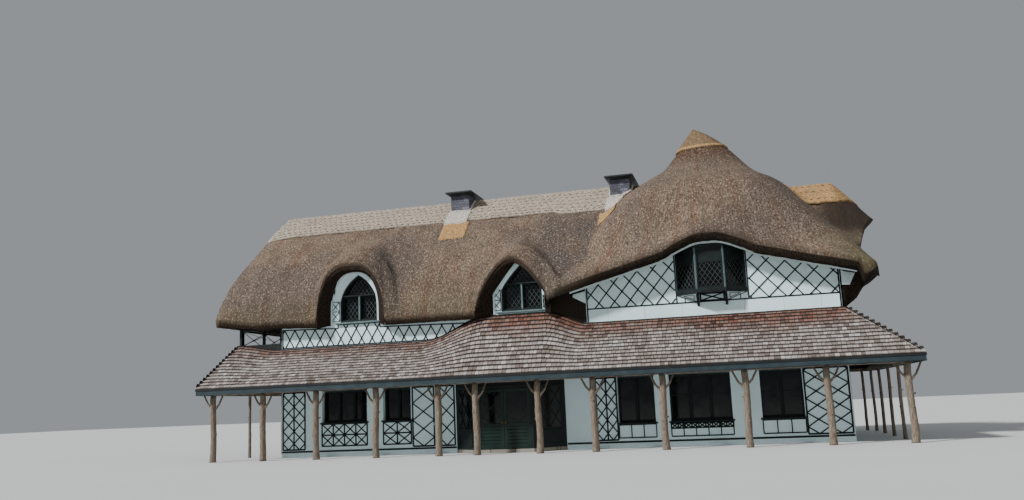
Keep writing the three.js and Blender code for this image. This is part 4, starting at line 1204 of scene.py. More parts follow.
    def gablet(self, x: np.ndarray, y: np.ndarray, under: bool) -> np.ndarray:
        """Give the height of the gablet at the right-hand end.

        Args:
            x: places along the house, in millimetres.
            y: places across the house, in millimetres.
            under: whether the underside is meant, and not the top.

        Returns:
            the heights, in millimetres.
        """
        fall = self.gablet_fall * np.maximum(0, x - self.gablet_turn)
        thick = self.thick + self.tip_extra * ease(self.gablet_turn, self.right, x)
        crest = self.gablet_crest - fall - (thick if under else 0)
        half = self.gablet_half - (self.gablet_side if under else 0)
        foot = self.eave_bottom if under else self.eave_top
        w = np.abs(y) / half
        plan, rise = self.gablet_curve
        high = foot + (crest - foot) * (1 - clamp01(w) ** plan) ** rise - np.maximum(0, self.gablet_start - x)
        return np.where(w >= 1, foot - (w - 1) * self.sink, high)

    def height(self, x: np.ndarray, y: np.ndarray, under: bool = False) -> np.ndarray:
        """Give the height of the whole thatch.

        Args:
            x: places along the house, in millimetres.
            y: places across the house, in millimetres.
            under: whether the underside is meant, and not the top.

        Returns:
            the heights, in millimetres.
        """
        blend = self.under_blend if under else self.blend
        z = self.long_roof(x, y, under)
        for dormer in self.dormers:
            z = soft_max(z, self.wave(dormer, x, y, under), blend)
        joined = ease(self.split - self.split_step, self.split, x)
        z = soft_max(z, mix(self.eave_bottom - self.sink, self.tent(x, y, under), joined), blend)
        return soft_max(z, self.gablet(x, y, under), blend)

    def half_width(self, x: np.ndarray) -> np.ndarray:
        """Give half the depth of the thatch in plan.

        Args:
            x: places along the house, in millimetres.

        Returns:
            the half depths, in millimetres.
        """
        step = ease(self.split - self.split_step, self.split + self.split_step, x)
        wide = mix(self.eave_half, self.tent_front, step)
        for radius, far in ((self.left_round, x - self.left), (self.right_round, self.right - x)):
            short = radius - np.minimum(radius, np.maximum(far, 0))
            wide = wide - radius + np.sqrt(radius ** 2 - short ** 2)
        return wide

    def plan(
        self, x: np.ndarray, row: np.ndarray, under: bool = False,
    ) -> tuple[np.ndarray, np.ndarray]:
        """Give the place in plan of a column and a row, which runs from -1 at the front to 1 at the rear.

        Args:
            x: places along the house, in millimetres.
            row: the rows, from -1 to 1.
            under: whether the underside is meant, and not the top.

        Returns:
            the places along and across.
        """
        y = row * self.half_width(x)
        off = np.abs(y)
        tip, hollow, turn, back = self.end_reach
        reach = mix(tip, hollow, ease(0, turn, off)) * (1 - ease(turn, back, off))
        if under:
            reach = reach - self.end_tuck[0] * (1 - ease(self.end_tuck[1], self.end_tuck[2], off))
        return x + reach * ease(self.gablet_turn, self.right, x), y

    def low(self, x: np.ndarray, y: np.ndarray) -> np.ndarray:
        """Give the height of the underside, which hangs lower at the eaves and on the right.

        Args:
            x: places along the house, in millimetres.
            y: places across the house, in millimetres.

        Returns:
            the heights, in millimetres.
        """
        off = np.abs(y)
        z = np.minimum(self.height(x, y, True), self.height(x, y) - self.thick / 2)
        long = ease(*self.drop_span, x) * (1 - ease(self.drop_end, self.split, x))
        z = z - self.eave_drop * long * ease(*self.drop_depth, off)
        outer = ease(*self.soffit_far, off) * (1 - ease(*self.soffit_turn, x))
        corner = ease(*self.soffit_near, off) * (1 - outer)
        soffit = np.interp(x, *self.end_soffit)
        return mix(z, np.minimum(z, soffit), corner * (x > self.end_soffit[0][0]))

    def rolled(self, column: np.ndarray, x: np.ndarray, y: np.ndarray) -> np.ndarray:
        """Give the height of the top, rolled down to a thin edge along the eaves and the left-hand end.

        Args:
            column: the column of each point, along the house in millimetres.
            x: places along the house, in millimetres.
            y: places across the house, in millimetres.

        Returns:
            the heights, in millimetres.
        """
        top = self.height(x, y)
        edge = np.maximum(np.minimum(self.half_width(column) - np.abs(y), column - self.left), 0)
        near = clamp01(1 - edge / self.roll)
        return top - np.maximum(top - self.low(x, y) - self.lip_cut, 0) * (1 - np.sqrt(1 - near ** 2))

    def tent_share(self, x: np.ndarray, y: np.ndarray) -> np.ndarray:
        """Give how far the straw lies down the slopes of the tent, from 0 to 1.

        Args:
            x: places along the house, in millimetres.
            y: places across the house, in millimetres.

        Returns:
            the shares.
        """
        others = np.maximum(self.long_roof(x, y, False), self.gablet(x, y, False))
        for dormer in self.dormers:
            others = np.maximum(others, self.wave(dormer, x, y, False))
        above = self.tent(x, y, False) - others
        return ease(-self.share_blend, self.share_blend, above) * (x > self.split - 1)

    def level(self, x: float, y: float, under: bool = False) -> float:
        """Give the height over one place, all in metres."""
        return float(self.height(np.array(x * 1000), np.array(y * 1000), under)) / 1000


FORM = ThatchForm()


def zipper(
    top: Sequence[int], under: Sequence[int], top_at: Sequence[float], under_at: Sequence[float],
) -> list[list[int]]:
    """Join two rows of points of different number by triangles.

    Args:
        top: point numbers of the first row.
        under: point numbers of the second row.
        top_at: how far along each point of the first row is.
        under_at: the same for the second row.

    Returns:
        Triangles that go round from the first row to the second.
    """
    faces, i, j = [], 0, 0
    while i < len(top) - 1 or j < len(under) - 1:
        if j == len(under) - 1 or (i < len(top) - 1 and top_at[i + 1] <= under_at[j + 1]):
            faces.append([top[i], top[i + 1], under[j]])
            i += 1
        else:
            faces.append([top[i], under[j + 1], under[j]])
            j += 1
    return faces


def strips(index: np.ndarray) -> list[list[int]]:
    """Give the faces between neighbouring columns of points, each column being a closed ring."""
    a, b = index[:-1], index[1:]
    corners = (a, b, np.roll(b, -1, axis=1), np.roll(a, -1, axis=1))
    return np.stack(corners, axis=-1).reshape(-1, 4).tolist()


def down_slope(top: np.ndarray) -> np.ndarray:
    """Give how far each point of a grid lies from the start of its column, measured over the surface."""
    return np.cumsum(np.linalg.norm(np.diff(top, axis=1, prepend=top[:, :1]), axis=2), axis=1)


@dataclass
class ThatchShell:
    """The thatch with combed relief, rounded eaves and cut straw ends, whose near-black also stands for
    painted shade. Sizes in millimetres.

    Columns run from left to right; each is a closed ring over the top and back underneath.
    """

    name: str
    start: float = FORM.left
    end: float = FORM.right
    step: float = 70
    least_step: float = 14
    wave_shares: tuple[float, ...] = (1.0, 0.99, 0.97, 0.94, 0.9)
    rows: int = 88
    row_power: float = 1.67
    under_rows: int = 24
    under_power: float = 1.5
    undercut: float = 110
    frayed: float = 14
    frayed_grain: float = 90
    cut_band: float = 260
    least_rim: float = 0.25
    rim_span: Point2 = (900, 2800)
    hood_span: Point2 = (9700, 10900)
    hood_rise: Point2 = (6700, 7500)
    rust_rise: Point2 = (10100, 10950)
    valley_near: Point2 = (-350, 150)
    valley_far: Point2 = (900, 2200)
    valley_start: Point2 = (200, 1000)
    flank_near: Point2 = (300, 900)
    flank_far: Point2 = (1500, 2400)
    flank_top: Point2 = (9200, 8000)
    bundle_turn: float = 5000
    left_margin: float = 4
    right_limit: float = 12760
    top_limit: float = 12030

    def columns(self) -> np.ndarray:
        """Space the columns evenly, closer where the waves rise steeply.

        Returns:
            the columns, along the house in millimetres.
        """
        xs = list(np.linspace(self.start, self.end, int((self.end - self.start) / self.step) + 1))
        for dormer in FORM.dormers:
            for half in (dormer.lip.wall, dormer.lip.edge, dormer.outer):
                for share in self.wave_shares:
                    xs += [dormer.x - share * half, dormer.x + share * half]
        xs = sorted(x for x in xs if self.start <= x <= self.end)
        kept = [xs[0]]
        for x in xs[1:]:
            if x - kept[-1] > self.least_step:
                kept.append(x)
        kept[-1] = self.end
        return np.array(kept)

    def build(self) -> bpy.types.Object:
        """Make the mesh.

        Returns:
            the object.
        """
        xs = self.columns()
        side = np.linspace(0, 1, self.rows) ** self.row_power
        top_rows = np.concatenate((-1 + side, (1 - side)[::-1][1:]))
        below = -1 + np.linspace(0, 1, self.under_rows) ** self.under_power
        under_rows = np.concatenate((below, -below[::-1][1:]))
        gx, gr = np.meshgrid(xs, top_rows, indexing="ij")
        px, py = FORM.plan(gx, gr)
        top, along = self.relief(np.stack((px, py, FORM.rolled(gx, px, py)), axis=-1), px, py)
        under = self.underside(*np.meshgrid(xs, under_rows, indexing="ij"))
        n, m, ring = len(xs), len(top_rows), len(top_rows) + len(under_rows)
        points = np.concatenate((top, under[:, ::-1]), axis=1).reshape(-1, 3) / 1000
        index = np.arange(n * ring).reshape(n, ring)
        faces = strips(index)
        back = index[:, m:][:, ::-1]
        for column, flip in ((0, 1), (-1, -1)):
            end = zipper(list(index[column, :m]), list(back[column]), top_rows, under_rows)
            faces += [face[::flip] for face in end]
        grain = np.concatenate((along, under[:, ::-1, 1::-1] / 1000), axis=1).reshape(-1, 2)
        numbers = {
            "cut": self.cut(gx, top, px, py, ring).ravel(), "moss": self.moss(points),
            "rust": ease(*self.rust_rise, points[:, 2] * 1000), "wet": self.wet(points),
        }
        return new_mesh(self.name, points, faces, [], grain, None, True, numbers)

    def underside(self, ux: np.ndarray, ur: np.ndarray) -> np.ndarray:
        """Give the points of the underside, frayed a little and cut back along the eaves.

        Args:
            ux: columns of the points.
            ur: rows of the points, from -1 to 1.

        Returns:
            the points, in millimetres.
        """
        bx, by = FORM.plan(ux, ur, True)
        bz = FORM.low(bx, by)
        bz = bz + self.frayed * grain_noise(bx / self.frayed_grain, by / self.frayed_grain, 8.0)
        by = np.sign(by) * np.maximum(np.abs(by) - self.undercut * ease(0.9, 1.0, np.abs(ur)), 0)
        return np.stack((np.maximum(bx, FORM.left + self.undercut * 0.6), by, bz), axis=-1)

    def cut(self, gx: np.ndarray, top: np.ndarray, px: np.ndarray, py: np.ndarray, ring: int) -> np.ndarray:
        """Give how dark each point is painted: the cut ends of the straw, whose near-black also stands for
        painted shade, underneath and on the rim, darkest under the tent's lip and fading up from the edge;
        and the thatch round the gablet, beyond the tent.

        Args:
            gx: columns of the top's points.
            top: points of the top.
            px: places of the top's points along the house.
            py: places of the top's points across the house.
            ring: number of points on the rim.

        Returns:
            a share for each point.
        """
        m = top.shape[1]
        tent = FORM.tent_share(px, py)
        # The rim is darkest under the tent's lip, where the dark cut face is painted shade
        rim = mix(self.least_rim, 1.0, tent[:, :1] * ease(*self.rim_span, px[:, :1]))
        near = clamp01(1 - (FORM.half_width(gx) - np.abs(py)) / self.cut_band)
        # The thatch round the gablet, beyond the tent, is darkened as well
        hood = 0.85 * ease(*self.hood_span, px) * ease(*self.hood_rise, top[..., 2]) * (1 - tent)
        cut = np.ones((len(gx), ring))
        cut[:, :m] = np.maximum(0.5 * rim * near ** 2, hood)
        cut[:, [0, m - 1]] = rim
        cut[:, [m, ring - 1]] = 0.5 + 0.5 * rim
        return cut

    def wet(self, points: np.ndarray) -> np.ndarray:
        """Give where the straw is darkened as painted shade: the valley beside the tent, and the right flank
        of each wave.

        Args:
            points: the points, in millimetres.

        Returns:
            a share for each point.
        """
        x, y, z = points.T * 1000
        gap = FORM.long_roof(x, y, False) - FORM.tent(x, y, False)
        valley = ease(*self.valley_near, gap) * (1 - ease(*self.valley_far, gap))
        valley = valley * ease(*self.valley_start, x)
        for dormer in FORM.dormers:
            off = x - dormer.x
            flank = 0.85 * ease(*self.flank_near, off) * (1 - ease(*self.flank_far, off))
            valley = np.maximum(valley, flank * ease(*self.flank_top, z))
        return valley

    def relief(self, top: np.ndarray, px: np.ndarray, py: np.ndarray) -> tuple[np.ndarray, np.ndarray]:
        """Lift the combed bundles from the surface.

        Args:
            top: the points of the upper surface in millimetres.
            px: their places along the front.
            py: their places in depth.

        Returns:
            The lifted points, and each one's grain coordinates in metres.
        """
        share = FORM.tent_share(px, py)
        dx = px - FORM.tent_x
        reach = np.hypot(dx, py)
        # On the tent the straw runs down from the peak, so its bundles are counted by their direction
        bundle = np.arctan2(dx, np.abs(py) + 1e-3) * self.bundle_turn + np.sign(py) * 60000
        runs = down_slope(top)
        across = np.where(share > 0.5, bundle, px)
        down = np.where(share > 0.5, reach, runs)
        normal = np.cross(np.gradient(top, axis=0), np.gradient(top, axis=1))
        normal /= np.maximum(np.linalg.norm(normal, axis=2, keepdims=True), 1e-9)
        rough = (
            24 * grain_noise(px / 1050 + 7, (py + top[..., 2]) / 1300, 1.0)
            + mix(self.combed(px, runs), self.combed(bundle, reach), share)
            + 7 * grain_noise(px / 150, (py - top[..., 2]) / 150, 4.0)
        )
        lifted = top + normal * (rough - 8)[..., None]
        lifted[..., 0] = np.clip(lifted[..., 0], FORM.left + self.left_margin, self.right_limit)
        lifted[..., 2] = np.minimum(lifted[..., 2], self.top_limit)
        return lifted, np.stack((down / 1000, across / 1000), axis=-1)

    def combed(self, across: np.ndarray, down: np.ndarray) -> np.ndarray:
        """Give the height of the combed bundles, which run down the slope."""
        wide = 14 * grain_noise(across / 300, down / 1900, 2.0)
        return wide + 11 * grain_noise(across / 130, down / 1500, 3.0)

    def moss(self, points: np.ndarray) -> np.ndarray:
        """Give how damp each point stays: the tip on the right, and the foot of the peak.

        Args:
            points: the points, in millimetres.

        Returns:
            a share for each point.
        """
        x, _, z = points.T
        tip = ease(9.6, 12.2, x) * ease(8.0, 6.0, z) * 0.6
        peak = ease(10.6, 11.7, z) * 0.3
        foot = ease(6.2, 5.4, z) * 0.18
        return np.clip(tip + peak + foot, 0, 1)


def closed_sheet(
    name: str, top: np.ndarray, low: np.ndarray, grain: np.ndarray, material: bpy.types.Material,
    worn: float = 0.0,
) -> bpy.types.Object:
    """Join two grids of points into one closed sheet.

    Args:
        name: its name.
        top: the upper points in millimetres, column by column.
        low: the lower points, in the same order.
        grain: the grain coordinates of each pair, in metres.
        material: its material.
        worn: the number "cut" of its upper side, which is 1 on its lower side; that darkness stands for cut
            ends and painted shade.

    Returns:
        The mesh object.
    """
    n, m = top.shape[:2]
    points = np.concatenate((top, low[:, ::-1]), axis=1).reshape(-1, 3) / 1000
    index = np.arange(n * 2 * m).reshape(n, 2 * m)
    faces = strips(index)
    for column, flip in ((index[0], 1), (index[-1], -1)):
        faces += [[column[i], column[i + 1], column[2 * m - 2 - i], column[2 * m - 1 - i]][::flip]
                  for i in range(m - 1)]
    cut = np.ones((n, 2 * m))
    cut[:, :m] = worn
    both = np.concatenate((grain, grain[:, ::-1]), axis=1).reshape(-1, 2)
    numbers = {"cut": cut.ravel(), "moss": cut.ravel() * 0}
    return new_mesh(name, points, faces, [material], both, None, True, numbers)


@dataclass
class StrawCap:
    """A block-cut straw cap or patch laid over the thatch, between two columns and two rows."""

    name: str
    start: float
    end: float
    reach: Point2
    proud: float = 80
    seat: float = 60
    step: float = 80
    rows: int = 81
    ragged: float = 18
    taper: Point3 | None = None

    def width(self, x: np.ndarray) -> np.ndarray:
        """Give how wide the cap is at a column, as a share; it narrows where the ridge falls.

        Args:
            x: columns, along the house in millimetres.

        Returns:
            the shares.
        """
        if self.taper is None:
            return np.ones_like(x)
        start, share, power = self.taper
        return 1 - share * clamp01((x - start) / (self.end - start)) ** power

    def build(self, material: bpy.types.Material) -> bpy.types.Object:
        """Make the mesh as a closed sheet that follows the thatch.

        Args:
            material: the finish.

        Returns:
            the object.
        """
        xs = np.linspace(self.start, self.end, int((self.end - self.start) / self.step) + 1)
        rows = np.linspace(*self.reach, self.rows)
        gx, gr = np.meshgrid(xs, rows, indexing="ij")
        px, py = FORM.plan(gx, gr * self.width(gx))
        low, high = self.reach
        near = np.minimum(gr - low, high - gr) / (high - low)
        side = np.where(gr - low < high - gr, -1.0, 1.0)
        py = py + np.where(near < 1e-9, side * (self.ragged * grain_noise(px / 120, py * 0, 5.0) - 12), 0)
        ends = np.minimum(gx - self.start, self.end - gx) < 1
        base = FORM.height(px, py)
        lift = self.proud * (0.8 + 0.2 * np.minimum(near * 18, 1)) - 12
        lift = lift + 7 * grain_noise(px / 240, py / 240, 6.0) + 4 * grain_noise(px / 70, py / 400, 7.0)
        top = np.stack((px, py, base + np.where(ends, lift * 0.8, lift)), axis=-1)
        bottom = np.stack((px, py, base - self.seat), axis=-1)
        grain = np.stack((down_slope(top), px), axis=-1) / 1000
        return closed_sheet(self.name, top, bottom, grain, material)


@dataclass
class PeakCap:
    """The straw cap of the tent's peak down to a level line, with a rolled band at its foot."""

    name: str = "peak_straw_cap"
    level: float = 11000
    band: float = 70
    sides: int = 96
    rings: int = 26
    middle: float = 24
    proud: float = 66
    highest: float = 12070

    def reach(self, turn: np.ndarray) -> np.ndarray:
        """Find how far the level line lies from the peak in each direction.

        Args:
            turn: the directions, as angles in plan.

        Returns:
            the distances, in millimetres.
        """
        near, far = np.full_like(turn, 20.0), np.full_like(turn, 2500.0)
        for _ in range(24):
            half = (near + far) / 2
            above = FORM.height(FORM.tent_x + half * np.cos(turn), half * np.sin(turn)) > self.level
            near, far = np.where(above, half, near), np.where(above, far, half)
        return near

    def build(self, straw: bpy.types.Material, band: bpy.types.Material) -> bpy.types.Object:
        """Make the mesh as rings round the peak.

        Args:
            straw: the finish of the straw.
            band: the finish of the band.

        Returns:
            the object.
        """
        turn = np.linspace(0, 2 * np.pi, self.sides, endpoint=False)
        reach = self.reach(turn)
        foot = reach - self.band
        profile = [(self.middle + (foot - self.middle) * share, self.proud)
                   for share in np.linspace(0, 1, self.rings)]
        half = self.band / 2
        turns = np.linspace(0, np.pi, 7)
        profile += [(foot + half * (1 - math.cos(a)), 60 + 40 * math.sin(a)) for a in turns]
        profile += [(reach - 8, 10), (reach - 30, -55), (reach * 0.5, -60), (reach * 0 + self.middle, -60)]
        points, grain = [], []
        for r, lift in profile:
            x, y = FORM.tent_x + r * np.cos(turn), r * np.sin(turn)
            rough = 9 * grain_noise(turn * 14, r / 420, 9.0) * (lift > 0)
            z = np.minimum(FORM.height(x, y) + lift + rough, self.highest)
            points.append(np.stack((x, y, z), axis=1) / 1000)
            grain.append(np.stack((r, turn * 1000), axis=1) / 1000)
        count, sides = len(profile), self.sides
        faces = [[(i + 1) * sides + k, (i + 1) * sides + (k + 1) % sides,
                  i * sides + (k + 1) % sides, i * sides + k]
                 for i in range(count - 1) for k in range(sides)]
        faces += [list(range(sides)), list(range(count * sides - 1, (count - 1) * sides - 1, -1))]
        finish = [int(self.rings - 1 <= i < self.rings + 6) for i in range(count - 1) for _ in range(sides)]
        # Points below the thatch's surface show the dark cut ends, which at the cap's foot also stand for
        # painted shade
        cut = np.repeat([float(lift <= 0) for _, lift in profile], sides)
        return new_mesh(
            self.name, np.concatenate(points), faces, [straw, band], np.concatenate(grain), finish + [0, 0],
            True, {"cut": cut, "moss": cut * 0},
        )


def board_line(dormer: Dormer, steps: int = 41) -> np.ndarray:
    """Give the outer edge of the white board round a dormer window, from left to right.

    Args:
        dormer: the window.
        steps: number of points.

    Returns:
        its points on the wall, in metres.
    """
    shift, half, foot, crest, power, root = dormer.board
    w = 0.999 * np.sin(np.linspace(-np.pi / 2, np.pi / 2, steps))
    z = foot + (crest - foot) * (1 - np.abs(w) ** power) ** root
    line = np.stack((dormer.x + shift + half * w, z), axis=1) / 1000
    ends = [[line[0, 0] - 0.004, 4.91], [line[-1, 0] + 0.004, 4.91]]
    return np.concatenate((ends[:1], line, ends[1:]))


@dataclass
class DormerHood:
    """The straw under a wave, swept from the lip of the thatch in to the board on the wall."""

    name: str
    dormer: Dormer
    way: int
    depths: int = 9
    wall: float = 3.4
    edge: float = 3.86
    thick: float = 0.035

    def build(self, material: bpy.types.Material) -> bpy.types.Object:
        """Make the mesh as a closed sheet between the two lines.

        Args:
            material: the finish.

        Returns:
            the object.
        """
        inner = board_line(self.dormer)
        lip = self.dormer.lip
        w = np.sin(np.linspace(-np.pi / 2, np.pi / 2, len(inner) - 2))
        x = self.dormer.x + lip.lean + lip.edge * 0.985 * w
        z = FORM.height(x, np.full_like(x, -self.edge * 1000), True)
        outer = np.stack((x, z - 10), axis=1) / 1000
        outer = np.concatenate(([[outer[0, 0], 4.76]], outer, [[outer[-1, 0], 4.76]]))
        share = np.linspace(0, 1, self.depths)[None, :, None]
        line = inner[:, None] + (outer - inner)[:, None] * share ** 1.4
        deep = np.broadcast_to(self.wall + (self.edge - self.wall) * share, (*line.shape[:2], 1))
        away = line - np.array((self.dormer.x / 1000, 5.2))
        away = away / np.linalg.norm(away, axis=2, keepdims=True) * self.thick
        sheets = []
        for plan in (line, line + away):
            sheets.append(np.concatenate((plan[..., :1], self.way * deep, plan[..., 1:]), axis=2) * 1000)
        sheets = sheets if self.way < 0 else sheets[::-1]
        grain = np.concatenate((line[..., 1:], line[..., :1]), axis=2)
        # The hood's upper side takes 0.72 of the dark cut-end colour: painted shade inside the window's
        # reveal
        return closed_sheet(self.name, *sheets[::-1], grain, material, 0.72)


# Repeated shapes, set out by Geometry Nodes on guide points

def set_out(
    name: str, spots: np.ndarray, turns: np.ndarray, sizes: np.ndarray, unit: bpy.types.Object,
    material: bpy.types.Material, shade: np.ndarray | None = None, jitter: float = 0.0, seed: int = 7,
    numbers: dict[str, np.ndarray] | None = None,
) -> bpy.types.Object:
    """Repeat one small shape at many places.

    Args:
        name: name of the finished piece.
        spots: the places, in metres.
        turns: each one's turn as Euler angles.
        sizes: each one's size along its three sides.
        unit: the shape of unit size, which is deleted afterwards by its maker.
        material: the material of all of them.
        shade: a tone from 0 to 1 for each of them.
        jitter: largest random turn in radians.
        seed: fixed seed of the random turns.
        numbers: further numbers that each of them carries.

    Returns:
        One plain mesh object.
    """
    guide = bpy.data.meshes.new(name + "_guide")
    guide.from_pydata(np.asarray(spots, float).tolist(), [], [])
    for key, values in (("turn", turns), ("size", sizes)):
        layer = guide.attributes.new(key, "FLOAT_VECTOR", "POINT")
        layer.data.foreach_set("vector", np.asarray(values, np.float32).ravel())
    extra = dict(numbers or {})
    extra["shade"] = shade if shade is not None else np.full(len(spots), 0.5)
    for key, values in extra.items():
        guide.attributes.new(key, "FLOAT", "POINT").data.foreach_set("value", np.asarray(values, np.float32))
    holder = bpy.data.objects.new(name + "_guide", guide)
    bpy.context.scene.collection.objects.link(holder)
    tree = bpy.data.node_groups.new(name + "_layout", "GeometryNodeTree")
    face = tree.interface
    for label, kind in (
        ("Geometry", "NodeSocketGeometry"), ("Shape", "NodeSocketObject"), ("Finish", "NodeSocketMaterial"),
        ("Random turn", "NodeSocketFloat"), ("Seed", "NodeSocketInt"),
    ):
        face.new_socket(name=label, in_out="INPUT", socket_type=kind)
    face.new_socket(name="Geometry", in_out="OUTPUT", socket_type="NodeSocketGeometry")
    start = add(tree, "NodeGroupInput")
    shape = add(tree, "GeometryNodeObjectInfo", {"Object": start.outputs["Shape"]})
    turn = add(tree, "GeometryNodeInputNamedAttribute", {"Name": "turn"}, data_type="FLOAT_VECTOR")
    size = add(tree, "GeometryNodeInputNamedAttribute", {"Name": "size"}, data_type="FLOAT_VECTOR")
    spread = add(tree, "FunctionNodeRandomValue", {
        "Min": (-1.0, -1.0, -1.0), "Max": (1.0, 1.0, 1.0), "Seed": start.outputs["Seed"],
    }, data_type="FLOAT_VECTOR")
    loose = add(tree, "ShaderNodeVectorMath", {
        0: spread.outputs[0], "Scale": start.outputs["Random turn"],
    }, operation="SCALE")
    both = {0: turn.outputs["Attribute"], 1: loose.outputs[0]}
    angles = add(tree, "ShaderNodeVectorMath", both, operation="ADD")
    rotation = add(tree, "FunctionNodeEulerToRotation", {0: angles.outputs[0]})
    laid = add(tree, "GeometryNodeInstanceOnPoints", {
        "Points": start.outputs["Geometry"], "Instance": shape.outputs["Geometry"],
        "Rotation": rotation.outputs[0], "Scale": size.outputs["Attribute"],
    })
    real = add(tree, "GeometryNodeRealizeInstances", {"Geometry": laid.outputs[0]})
    dressed = {"Geometry": real.outputs[0], "Material": start.outputs["Finish"]}
    done = add(tree, "GeometryNodeSetMaterial", dressed)
    add(tree, "NodeGroupOutput", {"Geometry": done.outputs[0]})
    layout = holder.modifiers.new("layout", "NODES")
    layout.node_group = tree
    values = {"Shape": unit, "Finish": material, "Random turn": jitter, "Seed": seed}
    for item in face.items_tree:
        if item.in_out == "INPUT" and item.name in values:
            layout[item.identifier] = values[item.name]
    thing = as_plain(holder, name)
    bpy.data.node_groups.remove(tree)
    return thing


def as_plain(holder: bpy.types.Object, name: str) -> bpy.types.Object:
    """Turn an object and its modifiers into a plain mesh object of another name, and delete the first.

    Args:
        holder: the object with modifiers.
        name: name of the new one.

    Returns:
        the new object.
    """
    bpy.context.view_layer.update()
    graph = bpy.context.evaluated_depsgraph_get()
    mesh = bpy.data.meshes.new_from_object(holder.evaluated_get(graph), depsgraph=graph)
    old = holder.data
    bpy.data.objects.remove(holder)
    bpy.data.meshes.remove(old)
    mesh.name = name
    thing = bpy.data.objects.new(name, mesh)
    bpy.context.scene.collection.objects.link(thing)
    return thing


def aim(x_axis: np.ndarray, z_axis: np.ndarray) -> tuple[float, float, float]:
    """Give the Euler angles that turn a shape's X along one direction and its Z close to another.

    Args:
        x_axis: where the shape's X goes.
        z_axis: where its Z goes, as nearly as it can.

    Returns:
        the angles.
    """
    x = np.asarray(x_axis, float) / np.linalg.norm(x_axis)
    z = np.asarray(z_axis, float) - x * float(np.dot(x, z_axis))
    z = z / np.linalg.norm(z)
    y = np.cross(z, x)
    return tuple(Matrix((x, y, z)).transposed().to_euler())


def unit_shape(name: str, points: Sequence[Point3], faces: Sequence[Sequence[int]]) -> bpy.types.Object:
    """Make a small closed shape of unit size, to be repeated.

    Args:
        name: its name.
        points: its points.
        faces: its faces, turning outwards.

    Returns:
        The object, which its user deletes.
    """
    array = np.array(points, float)
    return new_mesh(name, array, faces, [], np.stack((array[:, 1] * 0.2, array[:, 0] * 0.13), axis=1))


def unit_block(name: str, near: float, front: Point3, back: Point3) -> bpy.types.Object:
    """Make a block of unit size whose upper edges are eased, to be repeated.

    Args:
        name: its name.
        near: where its base starts along Y, which is one long.
        front: half the width, the place along Y and the height of its upper edge in front.
        back: the same for its upper edge at the back.

    Returns:
        The object, which its user deletes.
    """
    low = [(-0.5, near, 0), (0.5, near, 0), (0.5, near + 1, 0), (-0.5, near + 1, 0)]
    high = [(-front[0], *front[1:]), front, back, (-back[0], *back[1:])]
    faces = [[0, 3, 2, 1], [4, 5, 6, 7], [0, 1, 5, 4], [1, 2, 6, 5], [2, 3, 7, 6], [3, 0, 4, 7]]
    return unit_shape(name, low + high, faces)


